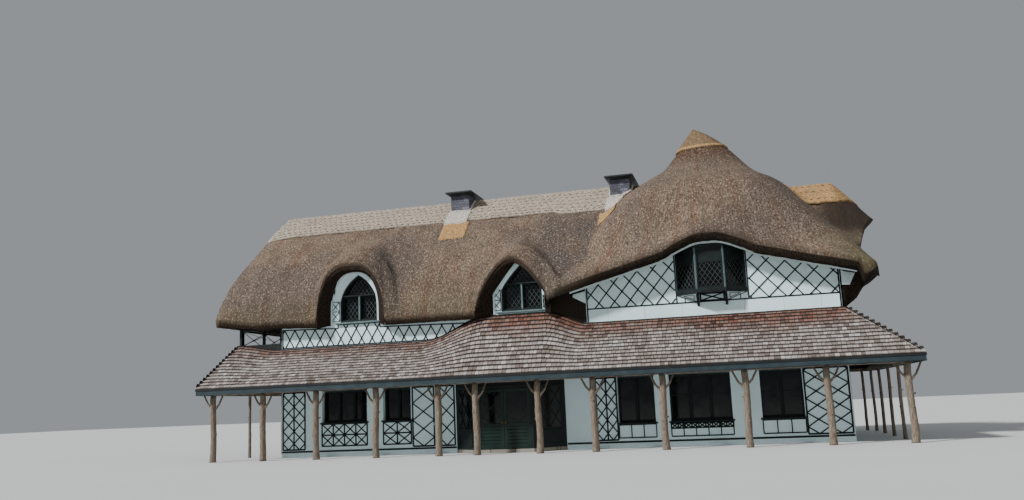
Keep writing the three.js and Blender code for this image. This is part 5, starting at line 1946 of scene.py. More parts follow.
@dataclass
class ThatchedRoof:
    """All the straw of the roof. Sizes in millimetres, but for the spars' own."""

    palette: Palette
    cap_reach: float = 0.36
    gablet_reach: float = 0.235
    gablet_end: float = 11650
    gablet_taper: Point3 = (11100, 0.9, 1.6)
    speck: Point3 = (0.13, 0.022, 0.014)
    speck_step: float = 240.0
    spar_rows: tuple[tuple, ...] = (
        (-11500, 2700, (0.2, 0.36, 0.52, 0.68, 0.84, 0.95), 0.36), (9350, 11200, (0.3, 0.6, 0.9), 0.235),
    )
    patch_rows: tuple[tuple, ...] = ((-3740, -2690, 0.37, 0.6), (2560, 3230, 0.4, 0.56))
    apron_rows: tuple[tuple, ...] = ((-3760, -2800, 0.2, 0.4), (2760, 3480, 0.19, 0.4))

    def build(self) -> None:
        """Build both stretches of thatch, the caps, their spars and the patches under the chimneys."""
        thatch = ThatchShell("combed_thatch").build()
        thatch.data.materials.append(self.palette.thatch)
        settle(thatch, replaces=["thatch_long_roof", "thatch_gable_roof"])
        low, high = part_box("ridge_cap_long")
        cap = StrawCap("long_straw_cap", low[0] * 1000, high[0] * 1000, (-self.cap_reach, self.cap_reach))
        settle(cap.build(self.palette.straw), replaces=["ridge_cap_long"])
        low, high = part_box("ridge_cap_gablet")
        reach = (-self.gablet_reach, self.gablet_reach)
        cap = StrawCap("gablet_straw_cap", low[0] * 1000, self.gablet_end, reach, taper=self.gablet_taper)
        settle(cap.build(self.palette.gold), replaces=["ridge_cap_gablet"])
        peak = PeakCap().build(self.palette.peak, self.palette.gold)
        settle(peak, replaces=["peak_cap"])
        for number, dormer in enumerate(FORM.dormers):
            for word, way in (("front", -1), ("rear", 1)):
                hood = DormerHood(f"dormer_hood_{word}_{number}", dormer, way)
                settle(hood.build(self.palette.thatch))
        self.spars()
        self.patches()

    def spars(self) -> None:
        """Peg the caps with rows of short hazel spars."""
        unit = unit_block("spar", -0.5, (0.4, -0.3, 1), (0.4, 0.3, 1))
        spots, turns = [], []
        for start, end, shares, reach in self.spar_rows:
            for k, share in enumerate(shares):
                for side in (-1, 1):
                    xs = np.arange(start + (k % 2) * self.speck_step / 2, end, self.speck_step)
                    px, py = FORM.plan(xs, np.full_like(xs, side * share * reach))
                    for x, y in zip(px, py):
                        spots.append(self.on_cap(x, y))
                        down = self.on_cap(x, y + side * 40) - spots[-1]
                        turns.append(aim((1, 0, 0), np.cross((1, 0, 0), down * side)))
        sizes = np.tile(self.speck, (len(spots), 1))
        thing = set_out("ridge_spars", spots, turns, sizes, unit, self.palette.hazel, jitter=0.25)
        bpy.data.objects.remove(unit)
        settle(thing)

    def on_cap(self, x: float, y: float, lift: float = 66.0) -> np.ndarray:
        """Give a point on top of a cap, in metres."""
        return np.array((x, y, float(FORM.height(np.array(x), np.array(y))) + lift)) / 1000

    def patches(self) -> None:
        """Lay a mortar apron over the cap and newer straw below it at each chimney, in front and behind."""
        for number in (0, 1):
            for word, way in (("front", -1), ("rear", 1)):
                for name, (left, right, near, far), sizes, finish, slot in (
                    ("straw_patch", self.patch_rows[number], (46, 40, 60, 18, 30),
                     self.palette.patch, "new_straw"),
                    ("mortar_apron", self.apron_rows[number], (112, 60, 40, 24, 35),
                     self.palette.mortar, "plaster"),
                ):
                    rows = tuple(sorted((way * near, way * far)))
                    cap = StrawCap(f"{name}_{word}_{number}", left, right, rows, *sizes)
                    settle(cap.build(finish))


@dataclass
class Studio:
    """Floor, lights and camera. Sizes in metres and degrees."""

    spot: Point3 = (7.674, -35.052, 1.6)
    yaw: float = 14.5
    pitch: float = 9.8
    roll: float = 2.4
    focal_pixels: float = 900.0
    frame_pixels: float = 1024.0
    sensor: float = 36.0
    far: float = 500.0
    floor_half: float = 160.0
    floor_drop: float = 0.004
    sky: str = "dfe5ec"
    sky_strength: float = 0.4
    suns: tuple[tuple, ...] = (("key", 4.9, 6, (0.66, 0.6, -0.7)), ("fill", 0.3, 60, (-0.8, 0.4, -0.5)))

    def build(self) -> None:
        """Set out the studio."""
        self.floor()
        self.camera()
        self.lights()

    def floor(self) -> None:
        """Lay a plain pale floor."""
        corners = ((-1, -1), (1, -1), (1, 1), (-1, 1))
        points = [(x * self.floor_half, y * self.floor_half, -self.floor_drop) for x, y in corners]
        floor = new_mesh("studio_floor", np.array(points), [[0, 1, 2, 3]], [])
        s = Surface("studio_floor_matt_paint", Coords.OBJECT, 0.9)
        floor.data.materials.append(s.paint(s.lay("c4c5c3", "cbccca", s.pattern((4000,)))))

    def camera(self) -> None:
        """Stand the camera where the photograph was taken."""
        yaw, pitch, roll = (math.radians(a) for a in (self.yaw, self.pitch, self.roll))
        ahead = Vector((-math.sin(yaw) * math.cos(pitch), math.cos(yaw) * math.cos(pitch), math.sin(pitch)))
        level = Vector((math.cos(yaw), math.sin(yaw), 0.0))
        over = level.cross(ahead)
        right = level * math.cos(roll) - over * math.sin(roll)
        up = level * math.sin(roll) + over * math.cos(roll)
        lens = bpy.data.cameras.new("camera")
        lens.sensor_width = self.sensor
        lens.lens = self.focal_pixels / self.frame_pixels * self.sensor
        lens.clip_end = self.far
        camera = bpy.data.objects.new("camera", lens)
        turn = Matrix((right, up, -ahead)).transposed().to_4x4()
        camera.matrix_world = Matrix.Translation(self.spot) @ turn
        bpy.context.scene.collection.objects.link(camera)
        bpy.context.scene.camera = camera

    def lights(self) -> None:
        """Light the house with a soft sun from the upper left front, a broad faint one and a pale sky."""
        world = bpy.data.worlds.new("studio_light")
        world.use_nodes = True
        back = world.node_tree.nodes["Background"]
        back.inputs[0].default_value = linear(self.sky)
        back.inputs[1].default_value = self.sky_strength
        bpy.context.scene.world = world
        for name, power, angle, aim_at in self.suns:
            sun = bpy.data.lights.new(name, "SUN")
            sun.energy = power
            sun.angle = math.radians(angle)
            lamp = bpy.data.objects.new(name, sun)
            lamp.rotation_euler = Vector(aim_at).to_track_quat("-Z", "Y").to_euler()
            bpy.context.scene.collection.objects.link(lamp)


# Veranda

@dataclass
class Veranda:
    """The shingled roof round the house, its fascia boards and its tree-trunk posts. Sizes in metres."""

    palette: Palette
    front: float = 5.65
    left: float = -12.2
    right: float = 12.77
    wall: float = 3.4
    wall_left: float = -11.75
    wall_right: float = 10.75
    eave: float = 2.65
    top_end: float = 4.35
    top_left: float = 4.1
    top_right: float = 4.4
    crest: float = 4.87
    wave: tuple[float, float, float, float] = (-3.9, -1.5, 0.7, 2.1)
    courses: int = 14
    fresh_courses: float = 5.0
    shingle: Point3 = (0.15, 1.55, 0.03)
    width_spread: Point2 = (0.72, 1.28)
    thick_spread: Point2 = (0.7, 1.25)
    joint: float = 0.011
    first_course: float = 0.0135
    last_course: float = 0.9835
    bulge: float = 0.03
    worn_left: float = -1.4
    hip_shingle: Point3 = (0.14, 0.24, 0.012)
    hip_step: float = 0.09
    hip_start: float = 1.7
    bead_radius: float = 0.016
    bead_height: float = 2.432

    def left_top(self, x: float) -> float:
        """Give the height at the wall over the left-hand end, where the slope dips to the side's own."""
        return self.top_left + (self.top_end - self.top_left) * (1 - float(ease(self.wall_left, -9.9, x)))

    def top_front(self, x: float) -> float:
        """Give the height where the front slope meets the wall, with its wave under the middle window.

        Args:
            x: place along the house, in metres.

        Returns:
            the height, in metres.
        """
        left = self.left_top(x)
        up = float(ease(self.wave[0], self.wave[1], x))
        down = float(ease(self.wave[2], self.wave[3], x))
        return (left + (self.crest - left) * up) * (1 - down) + self.top_right * down

    def top_rear(self, x: float) -> float:
        """Give the height where the rear slope meets the wall."""
        left = self.left_top(x)
        return left + (self.top_right - left) * float(ease(-1.0, 3.0, x))

    def point(self, face: str, along: float, up: float) -> np.ndarray:
        """Place a point on one of the four slopes.

        Args:
            face: front, rear, left or right.
            along: place along the eave, in metres.
            up: share of the way from the eave to the wall.

        Returns:
            The point.
        """
        deep = self.front + (self.wall - self.front) * up
        if face in ("front", "rear"):
            inside = min(max(along, self.wall_left), self.wall_right)
            top = self.top_front(inside) if face == "front" else self.top_rear(inside)
            return np.array((along, -deep if face == "front" else deep, self.eave + (top - self.eave) * up))
        if face == "left":
            x = self.left + (self.wall_left - self.left) * up
            return np.array((x, along, self.eave + (self.top_end - self.eave) * up))
        x = self.right + (self.wall_right - self.right) * up
        return np.array((x, along, self.eave + (self.top_right - self.eave) * up))

    def span(self, face: str, up: float) -> Point2:
        """Give where a course starts and ends on a slope.

        Args:
            face: the side of the house.
            up: share of the way up the slope.

        Returns:
            both places along the face, in metres.
        """
        if face in ("front", "rear"):
            left = self.left + (self.wall_left - self.left) * up
            return (left, self.right + (self.wall_right - self.right) * up)
        deep = self.front + (self.wall - self.front) * up
        return (-deep, deep)

    def build(self) -> None:
        """Build the whole veranda."""
        unit = unit_block("shingle", 0, (0.48, 0.01, 1), (0.49, 1, 0.15))
        for number, face in enumerate(("front", "rear", "left", "right")):
            self.slope(face, unit, number)
            # The roof's solid takes the near-black painted shade underneath and along its edge
            dress([f"veranda_roof_{face}"], self.palette.under)
            dress([f"fascia_{face}"], self.palette.solid_fascia)
        bpy.data.objects.remove(unit)
        self.hips()
        self.beads()

    def course_ends(self, face: str, up: float, rng: np.random.Generator) -> np.ndarray:
        """Give where the shingles of one course start and end, of random widths that fill the slope.

        Args:
            face: the side of the house.
            up: share of the way up the slope.
            rng: the source of the widths.

        Returns:
            the places along the face.
        """
        start, end = self.span(face, up)
        cuts = [start]
        while cuts[-1] < end - 0.08:
            cuts.append(cuts[-1] + self.shingle[0] * rng.uniform(*self.width_spread))
        return start + (np.array(cuts) - start) * (end - start) / (cuts[-1] - start)

    def freshness(self, face: str, middle: float, course: int) -> float:
        """Give how red a shingle still is: most near the wall, over fewer courses and less red left of the
        entrance.

        Args:
            face: the side of the house.
            middle: middle of the shingle along the face.
            course: its course, from the eaves.

        Returns:
            a share from 0 to 1.
        """
        exposed = face == "front" and middle < self.worn_left
        near = 1.25 - (self.courses - 1 - course) / (self.fresh_courses * (0.7 if exposed else 1.0))
        patch = 0.3 * float(grain_noise(np.array(middle * 0.9), np.array(course * 0.5), 2.0))
        return min(1.0, max(0.0, near + patch)) * (0.8 if exposed else 1.0)

    def slope(self, face: str, unit: bpy.types.Object, number: int) -> None:
        """Lay the courses of one slope, each joint off the joints below.

        Args:
            face: the side of the house.
            unit: the shape to set out.
            number: number of the piece, for its random draws.
        """
        rng = np.random.default_rng(40 + number)
        spots, turns, sizes, fresh = [], [], [], []
        for course in range(self.courses):
            up = self.first_course + self.last_course * course / self.courses
            cuts = self.course_ends(face, up, rng)
            for a, b in zip(cuts[:-1], cuts[1:]):
                middle = (a + b) / 2
                here = self.point(face, middle, up)
                ahead = self.point(face, middle, min(up + 1 / self.courses, 1.0)) - here
                beside = self.point(face, b, up) - self.point(face, a, up)
                if face in ("rear", "left"):
                    beside = -beside
                out = np.cross(beside, ahead)
                lap = self.shingle[1] if course < self.courses - 1 else 0.98
                swell = ease(-4.3, -3.3, middle) * ease(2.5, 1.5, middle) * up if face == "front" else 0.0
                spots.append(here + out / np.linalg.norm(out) * (0.004 + self.bulge * swell))
                turns.append(aim(beside, out))
                thick = self.shingle[2] * rng.uniform(*self.thick_spread)
                wide = float(np.linalg.norm(beside)) - self.joint
                sizes.append((wide, float(np.linalg.norm(ahead)) * lap, thick))
                fresh.append(self.freshness(face, middle, course) * rng.uniform(0.7, 1.0))
        thing = set_out(
            f"shingles_{face}", spots, turns, sizes, unit, self.palette.shingle,
            rng.uniform(0, 1, len(spots)), 0.008, 11 + number, {"fresh": fresh},
        )
        settle(thing)

    def hips(self) -> None:
        """Cap the four hips with a run of shingles bent over them."""
        points = [(x, y, z * (1 if y < 0.5 else 0.2) - 2.2 * abs(x * 2)) for y in (0, 1)
                  for x, z in ((-0.5, 0), (0, 0), (0.5, 0), (0.5, 1), (0, 1), (-0.5, 1))]
        rim = [[(i + 1) % 6, i, i + 6, (i + 1) % 6 + 6] for i in range(6)]
        ends = [[0, 1, 4, 5], [1, 2, 3, 4], [11, 10, 7, 6], [10, 9, 8, 7]]
        unit = unit_shape("hip_shingle", points, ends + rim)
        spots, turns, sizes = [], [], []
        for side in (-1, 1):
            for low_x, high_x, top in (
                (self.left, self.wall_left, self.top_end), (self.right, self.wall_right, self.top_right),
            ):
                low = np.array((low_x, side * self.front, self.eave))
                high = np.array((high_x, side * self.wall, top))
                along = high - low
                level = np.cross(along, (0, 0, 1.0))
                out = np.cross(level, along)
                if out[2] < 0:
                    out, level = -out, -level
                count = int(np.linalg.norm(along) / self.hip_step)
                for i in range(count):
                    share = (i + self.hip_start) / count
                    spots.append(low + along * share * 0.93 + out / np.linalg.norm(out) * 0.008)
                    turns.append(aim(level, out))
                    sizes.append(self.hip_shingle)
        rng = np.random.default_rng(3)
        thing = set_out(
            "shingles_hips", spots, turns, sizes, unit, self.palette.shingle,
            rng.uniform(0, 1, len(spots)), 0.01, 5, {"fresh": np.zeros(len(spots))},
        )
        bpy.data.objects.remove(unit)
        settle(thing)

    def beads(self) -> None:
        """Run a rounded bead along the foot of each fascia board."""
        work = Joinery()
        out, z, r = 0.003, self.bead_height, self.bead_radius
        y, x0, x1 = self.front - 0.02, self.left + 0.02, self.right - 0.02
        corners = [(x0 - out, -y - out), (x1 + out, -y - out), (x1 + out, y + out), (x0 - out, y + out)]
        for start, end in around(corners):
            work.tube([np.array((*start, z)), np.array((*end, z))], [r * 0.8, r * 0.8], 10)
        settle(work.piece("fascia_beads", [self.palette.fascia]))


def dress(nodes: Sequence[str], material: bpy.types.Material) -> None:
    """Give solids that stay their finish.

    Args:
        nodes: the names of the solids.
        material: the finish of all of them.
    """
    for node in nodes:
        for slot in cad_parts[node].material_slots:
            slot.material = material


@dataclass
class TrunkPosts:
    """Posts made of whole tree trunks with their forks, and the beams that they carry. Sizes in metres."""

    palette: Palette
    line: float = 5.2
    top: float = 2.4
    beam: float = 0.15
    thick: float = 0.115
    slender: float = 0.06
    front_left: tuple[float, ...] = (-11.7, -9.66, -7.54, -5.24, -2.92, -1.55)
    front_right: tuple[float, ...] = (0.64, 2.52, 4.81, 7.42, 9.9, 12.26)
    rear: tuple[float, ...] = (-11.72, -8.3, -4.9, -1.5, 1.9, 5.3, 8.7, 12.06)
    left: tuple[float, ...] = (-2.6, 0.0, 2.6)
    right: tuple[float, ...] = (-2.8, -0.4, 2.0, 4.4)
    fork_low: float = 1.85
    fork_reach: float = 0.39
    sides: int = 16
    left_line: float = -11.75
    right_line: float = 12.32
    left_top: float = 3.6

    def trunk(
        self, work: Joinery, x: float, y: float, radius: float, top: float, seed: float, along: Point2,
    ) -> None:
        """Add one trunk, a little crooked, with knots, cut stubs and a spreading foot.

        Args:
            work: the piece that it joins.
            x: place of its foot.
            y: place of its foot.
            radius: its mean radius.
            top: height of its head.
            seed: makes it differ from the others.
            along: direction in plan in which its forks spread.
        """
        heights = np.concatenate((np.array([0, 0.05, 0.14, 0.3]), np.linspace(0.5, top, 16)))
        sides = self.sides
        points = []
        for z in heights:
            flare = 1 + 0.16 * math.exp(-z / 0.12) - 0.1 * z / top
            sway = 0.18 * radius * np.array((math.sin(z * 1.7 + seed), math.cos(z * 1.3 + seed * 2)))
            sway = sway * min(1, z / 0.4) * min(1, (top - z) / 0.3 + 0.15)
            for k in range(sides):
                turn = 2 * math.pi * k / sides
                coarse = grain_noise(np.array(turn * 2.3 + seed * 5), np.array(z * 1.6 + seed), seed)
                bark = 1 + 0.07 * float(coarse)
                bark += 0.05 * float(grain_noise(np.array(k * 0.5 + seed), np.array(z * 7), seed + 2))
                knot = math.exp(-((z - 0.9 - 0.5 * (seed % 1)) / 0.07) ** 2)
                knot = knot * max(0, math.cos(turn - seed * 3)) ** 3
                r = radius * flare * bark * (1 + 0.22 * knot)
                across, out = sway[0] + r * math.cos(turn), sway[1] + r * math.sin(turn)
                points.append(np.array((x + across, y + out, z)))
        grain = [(z + seed * 3, 2 * radius * abs(math.pi - 2 * math.pi * k / sides))
                 for z in heights for k in range(sides)]
        work.take(points, grain, hoops(len(heights), sides), 0, True)
        direction = np.array((*along, 0.0))
        if radius > self.slender + 0.01:
            for side in (-1, 1):
                foot = np.array((x, y, self.fork_low - 0.04 * side * math.sin(seed)))
                head = foot + direction * side * self.fork_reach
                head[2] = self.top + 0.02
                bend = (foot + head) / 2 + np.array((0, 0, -0.05)) + direction * side * 0.03
                work.tube([foot, foot * 0.6 + bend * 0.4, bend, head], [0.05, 0.043, 0.036, 0.03], 8)
        for z in (0.75 + 0.35 * (seed % 1), 1.35 + 0.3 * ((seed * 1.7) % 1)):
            turn = seed * 4 + z * 5
            out = np.array((math.cos(turn), math.sin(turn), 0.45))
            root = np.array((x, y, z))
            work.tube([root, root + out * (radius + 0.045)], [radius * 0.28, radius * 0.2], 7)

    def under_roof(self, veranda: Veranda, face: str, along: float) -> float:
        """Give the height of the veranda roof's underside over the line of posts.

        Args:
            veranda: the roof they stand under.
            face: the side of the house.
            along: place along the face, in metres.

        Returns:
            the height, in metres.
        """
        up = (veranda.front - self.line) / (veranda.front - veranda.wall)
        if face == "right":
            up = 0.45 / (veranda.right - veranda.wall_right)
        return float(veranda.point(face, along, up)[2]) - 0.075

    def beam_along(self, work: Joinery, face: str, start: float, end: float, veranda: Veranda) -> None:
        """Add a hewn beam on the posts, with boarding between it and the roof.

        Args:
            work: the joinery to add to.
            face: the side of the house.
            start: where it starts along the face.
            end: where it ends along the face.
            veranda: the roof they stand under.
        """
        y = self.line if face == "rear" else -self.line
        plane = Plane((self.right_line, 0, 0), (0, 1, 0)) if face == "right" else Plane((0, y, 0), (1, 0, 0))
        half = self.beam / 2
        work.strip(plane, (start, self.top + half), (end, self.top + half), self.beam, -half, half, 0, 0.02)
        xs = np.linspace(start, end, 60)
        roof = [(float(x), self.under_roof(veranda, face, float(x))) for x in xs]
        low = [(float(x), self.top + 0.14) for x in xs]
        work.ribbon(plane, low, roof, -0.03, 0.03, 1)

    def build(self, veranda: Veranda) -> None:
        """Build the five rows.

        Args:
            veranda: the roof they stand under.
        """
        rows = (
            ("posts_front_left", [(x, -self.line) for x in self.front_left], self.thick, (1, 0)),
            ("posts_front_right", [(x, -self.line) for x in self.front_right], self.thick, (1, 0)),
            ("posts_rear", [(x, self.line) for x in self.rear], self.slender, (1, 0)),
            ("posts_left", [(self.left_line, y) for y in self.left], self.slender, (0, 1)),
            ("posts_right", [(self.right_line, y) for y in self.right], self.slender, (0, 1)),
        )
        spans = {
            "posts_front_left": ("front", -11.825, -0.451), "posts_front_right": ("front", -0.45, 12.395),
            "posts_rear": ("rear", -11.825, 12.395), "posts_right": ("right", -5.08, 5.08),
        }
        for number, (name, feet, radius, along) in enumerate(rows):
            work = Joinery()
            for i, (x, y) in enumerate(feet):
                top = self.left_top if name == "posts_left" else self.top + 0.02
                self.trunk(work, x, y, radius, top, 1.37 * i + 0.61 * number + 0.3, along)
            if name in spans:
                self.beam_along(work, *spans[name], veranda)
            else:
                work.box((-11.825, -5.08, self.top), (-11.675, 5.08, self.top + 0.24))
            thing = work.piece(name.replace("posts", "trunks"), [self.palette.bark, self.palette.timber])
            settle(thing, replaces=[name])


# Lattice, rails and other bars on the walls

def clip(a: Point2, b: Point2, outline: Sequence[Point2]) -> list[tuple[Point2, Point2]]:
    """Keep the parts of a line that lie inside an outline.

    Args:
        a: start of the line.
        b: end of the line.
        outline: the outline, of any shape.

    Returns:
        The parts inside.
    """
    ax, ay = a
    dx, dy = b[0] - ax, b[1] - ay
    shares = [0.0, 1.0]
    ring = around(outline)
    for (px, py), (qx, qy) in ring:
        ex, ey = qx - px, qy - py
        cross = dx * ey - dy * ex
        if abs(cross) > 1e-12:
            t = ((px - ax) * ey - (py - ay) * ex) / cross
            s = ((px - ax) * dy - (py - ay) * dx) / cross
            if 0 < t < 1 and 0 <= s <= 1:
                shares.append(t)
    shares.sort()
    parts = []
    for t0, t1 in zip(shares, shares[1:]):
        mx, my = ax + dx * (t0 + t1) / 2, ay + dy * (t0 + t1) / 2
        inside = sum(
            (py > my) != (qy > my) and mx < (qx - px) * (my - py) / (qy - py) + px
            for (px, py), (qx, qy) in ring
        ) % 2
        if inside and t1 - t0 > SHORTEST:
            parts.append(((ax + dx * t0, ay + dy * t0), (ax + dx * t1, ay + dy * t1)))
    return parts


class Lattice:
    """Straight bars on the faces of the house, set out together by Geometry Nodes."""

    def __init__(self, wide: float = 0.046, low: float = -0.004, high: float = 0.016) -> None:
        """Start a set of bars of one width, standing between two distances out of the wall.

        Args:
            wide: width in metres.
            low: how far out of the face the back lies.
            high: how far out of the face the front lies.
        """
        self.wide, self.low, self.high = wide, low, high
        self.spots: list[np.ndarray] = []
        self.turns: list[tuple[float, float, float]] = []
        self.sizes: list[Point3] = []

    def line(
        self, plane: Plane, a: Point2, b: Point2, wide: float | None = None, high: float | None = None,
    ) -> None:
        """Add one bar.

        Args:
            plane: the face they lie on.
            a: where it starts on the face.
            b: where it ends on the face.
            wide: its width, where it isn't the usual one.
            high: how far out of the face its front lies, where it isn't the usual distance.
        """
        high = self.high if high is None else high
        start, end = plane.at(*a, self.low), plane.at(*b, self.low)
        self.spots.append((start + end) / 2)
        self.turns.append(aim(end - start, plane.out))
        self.sizes.append((float(np.linalg.norm(end - start)), wide or self.wide, high - self.low))

    def outline(
        self, plane: Plane, points: Sequence[Point2], closed: bool = True, wide: float | None = None,
    ) -> None:
        """Add bars along an outline.

        Args:
            plane: the face they lie on.
            points: the corners.
            closed: whether the last one joins the first.
            wide: width in metres.
        """
        for a, b in around(points)[:None if closed else -1]:
            self.line(plane, a, b, wide)

    def diamonds(
        self, plane: Plane, outline: Sequence[Point2], pitch: Point2, phase: Point2 = (0.0, 0.0),
        lean: float = 0.0,
    ) -> None:
        """Fill an outline with crossing diagonals.

        Args:
            plane: the face.
            outline: where they end.
            pitch: width and height of one diamond.
            phase: a crossing of two diagonals.
            lean: how much the rows of crossings rise per metre to the right.
        """
        ends = np.array(outline)
        reach = float(np.ptp(ends, axis=0).sum()) * 1.5
        spare = float(np.ptp(ends[:, 1])) * pitch[0] / pitch[1] + 2 * pitch[0]
        sides = (ends[:, 0].min() - spare, ends[:, 0].max() + spare)
        first, last = ((side - phase[0]) / pitch[0] for side in sides)
        for way in (-1, 1):
            run = np.array((pitch[0], way * pitch[1] + lean * pitch[0]))
            run = run / np.linalg.norm(run) * reach
            for i in range(math.floor(first), math.ceil(last) + 1):
                node = np.array((phase[0] + i * pitch[0], phase[1] + i * pitch[0] * lean))
                for a, b in clip(tuple(node - run), tuple(node + run), outline):
                    self.line(plane, a, b)

    def crosses(
        self, plane: Plane, u0: float, u1: float, v0: float, v1: float, count: int, rows: int,
    ) -> None:
        """Add a dado of diagonal crosses between rails and uprights.

        Args:
            plane: the face they lie on.
            u0: left-hand end.
            u1: right-hand end.
            v0: foot.
            v1: top.
            count: number of crosses in a row.
            rows: number of rows.
        """
        for row in range(rows + 1):
            v = v0 + (v1 - v0) * row / rows
            self.line(plane, (u0, v), (u1, v), self.wide * 1.2)
        for i in range(count + 1):
            u = u0 + (u1 - u0) * i / count
            self.line(plane, (u, v0), (u, v1), self.wide * 1.2)
        for i in range(count):
            for row in range(rows):
                a, b = u0 + (u1 - u0) * i / count, u0 + (u1 - u0) * (i + 1) / count
                low, high = v0 + (v1 - v0) * row / rows, v0 + (v1 - v0) * (row + 1) / rows
                self.line(plane, (a, low), (b, high))
                self.line(plane, (a, high), (b, low))

    def panel(
        self, plane: Plane, u0: float, u1: float, v0: float, v1: float, pitch: Point2, columns: int = 1,
    ) -> None:
        """Add a framed panel of diamonds, split by upright bars into columns.

        Args:
            plane: the face they lie on.
            u0: left-hand end.
            u1: right-hand end.
            v0: foot.
            v1: top.
            pitch: width and height of one diamond.
            columns: number of columns.
        """
        self.outline(plane, [(u0, v0), (u1, v0), (u1, v1), (u0, v1)], wide=self.wide * 1.3)
        for i in range(columns):
            a, b = u0 + (u1 - u0) * i / columns, u0 + (u1 - u0) * (i + 1) / columns
            if i:
                self.line(plane, (a, v0), (a, v1), self.wide * 1.2)
            outline = [(a, v0), (b, v0), (b, v1), (a, v1)]
            self.diamonds(plane, outline, (b - a, pitch[1]), ((a + b) / 2, v0))

    def build(self, name: str, material: bpy.types.Material, slot: str) -> None:
        """Set out all the bars as one piece, and hand it over.

        Args:
            name: name of the object.
            material: the finish.
            slot: name of its material slot; not used.
        """
        unit = unit_block("bar", -0.5, (0.5, -0.42, 1), (0.5, 0.42, 1))
        thing = set_out(name, self.spots, self.turns, self.sizes, unit, material)
        bpy.data.objects.remove(unit)
        settle(thing)


# Walls and windows

def pointed(dormer: Dormer, inset: float = 0.0, steps: int = 10) -> list[Point2]:
    """Give the pointed outline of a dormer window from its left foot over the apex to its right foot.

    Args:
        dormer: the window.
        inset: how far inside the opening the outline lies, in metres.
        steps: points on each curved side.

    Returns:
        The outline in metres.
    """
    half, sill, spring = 0.77 - inset, 5.0 + inset, 5.8
    x, apex = dormer.x / 1000, dormer.apex / 1000 - inset * 1.35
    pull_u = half * dormer.pull[0]
    pull_v = spring + (apex - spring) * dormer.pull[1]
    side = []
    for i in range(steps + 1):
        t = i / steps
        u = (1 - t) ** 2 * half + 2 * t * (1 - t) * pull_u
        v = (1 - t) ** 2 * spring + 2 * t * (1 - t) * pull_v + t * t * apex
        side.append((u, v))
    left = [(x - u, v) for u, v in side]
    right = [(x + u, v) for u, v in side[::-1][1:]]
    return [(x - half, sill), *left, *right, (x + half, sill)]


def mirrored(outline: Sequence[Point2], plane: Plane) -> list[Point2]:
    """Turn places along the front into places along another face that looks the other way."""
    return [(u * plane.right[0], v) for u, v in outline][:: int(plane.right[0])]


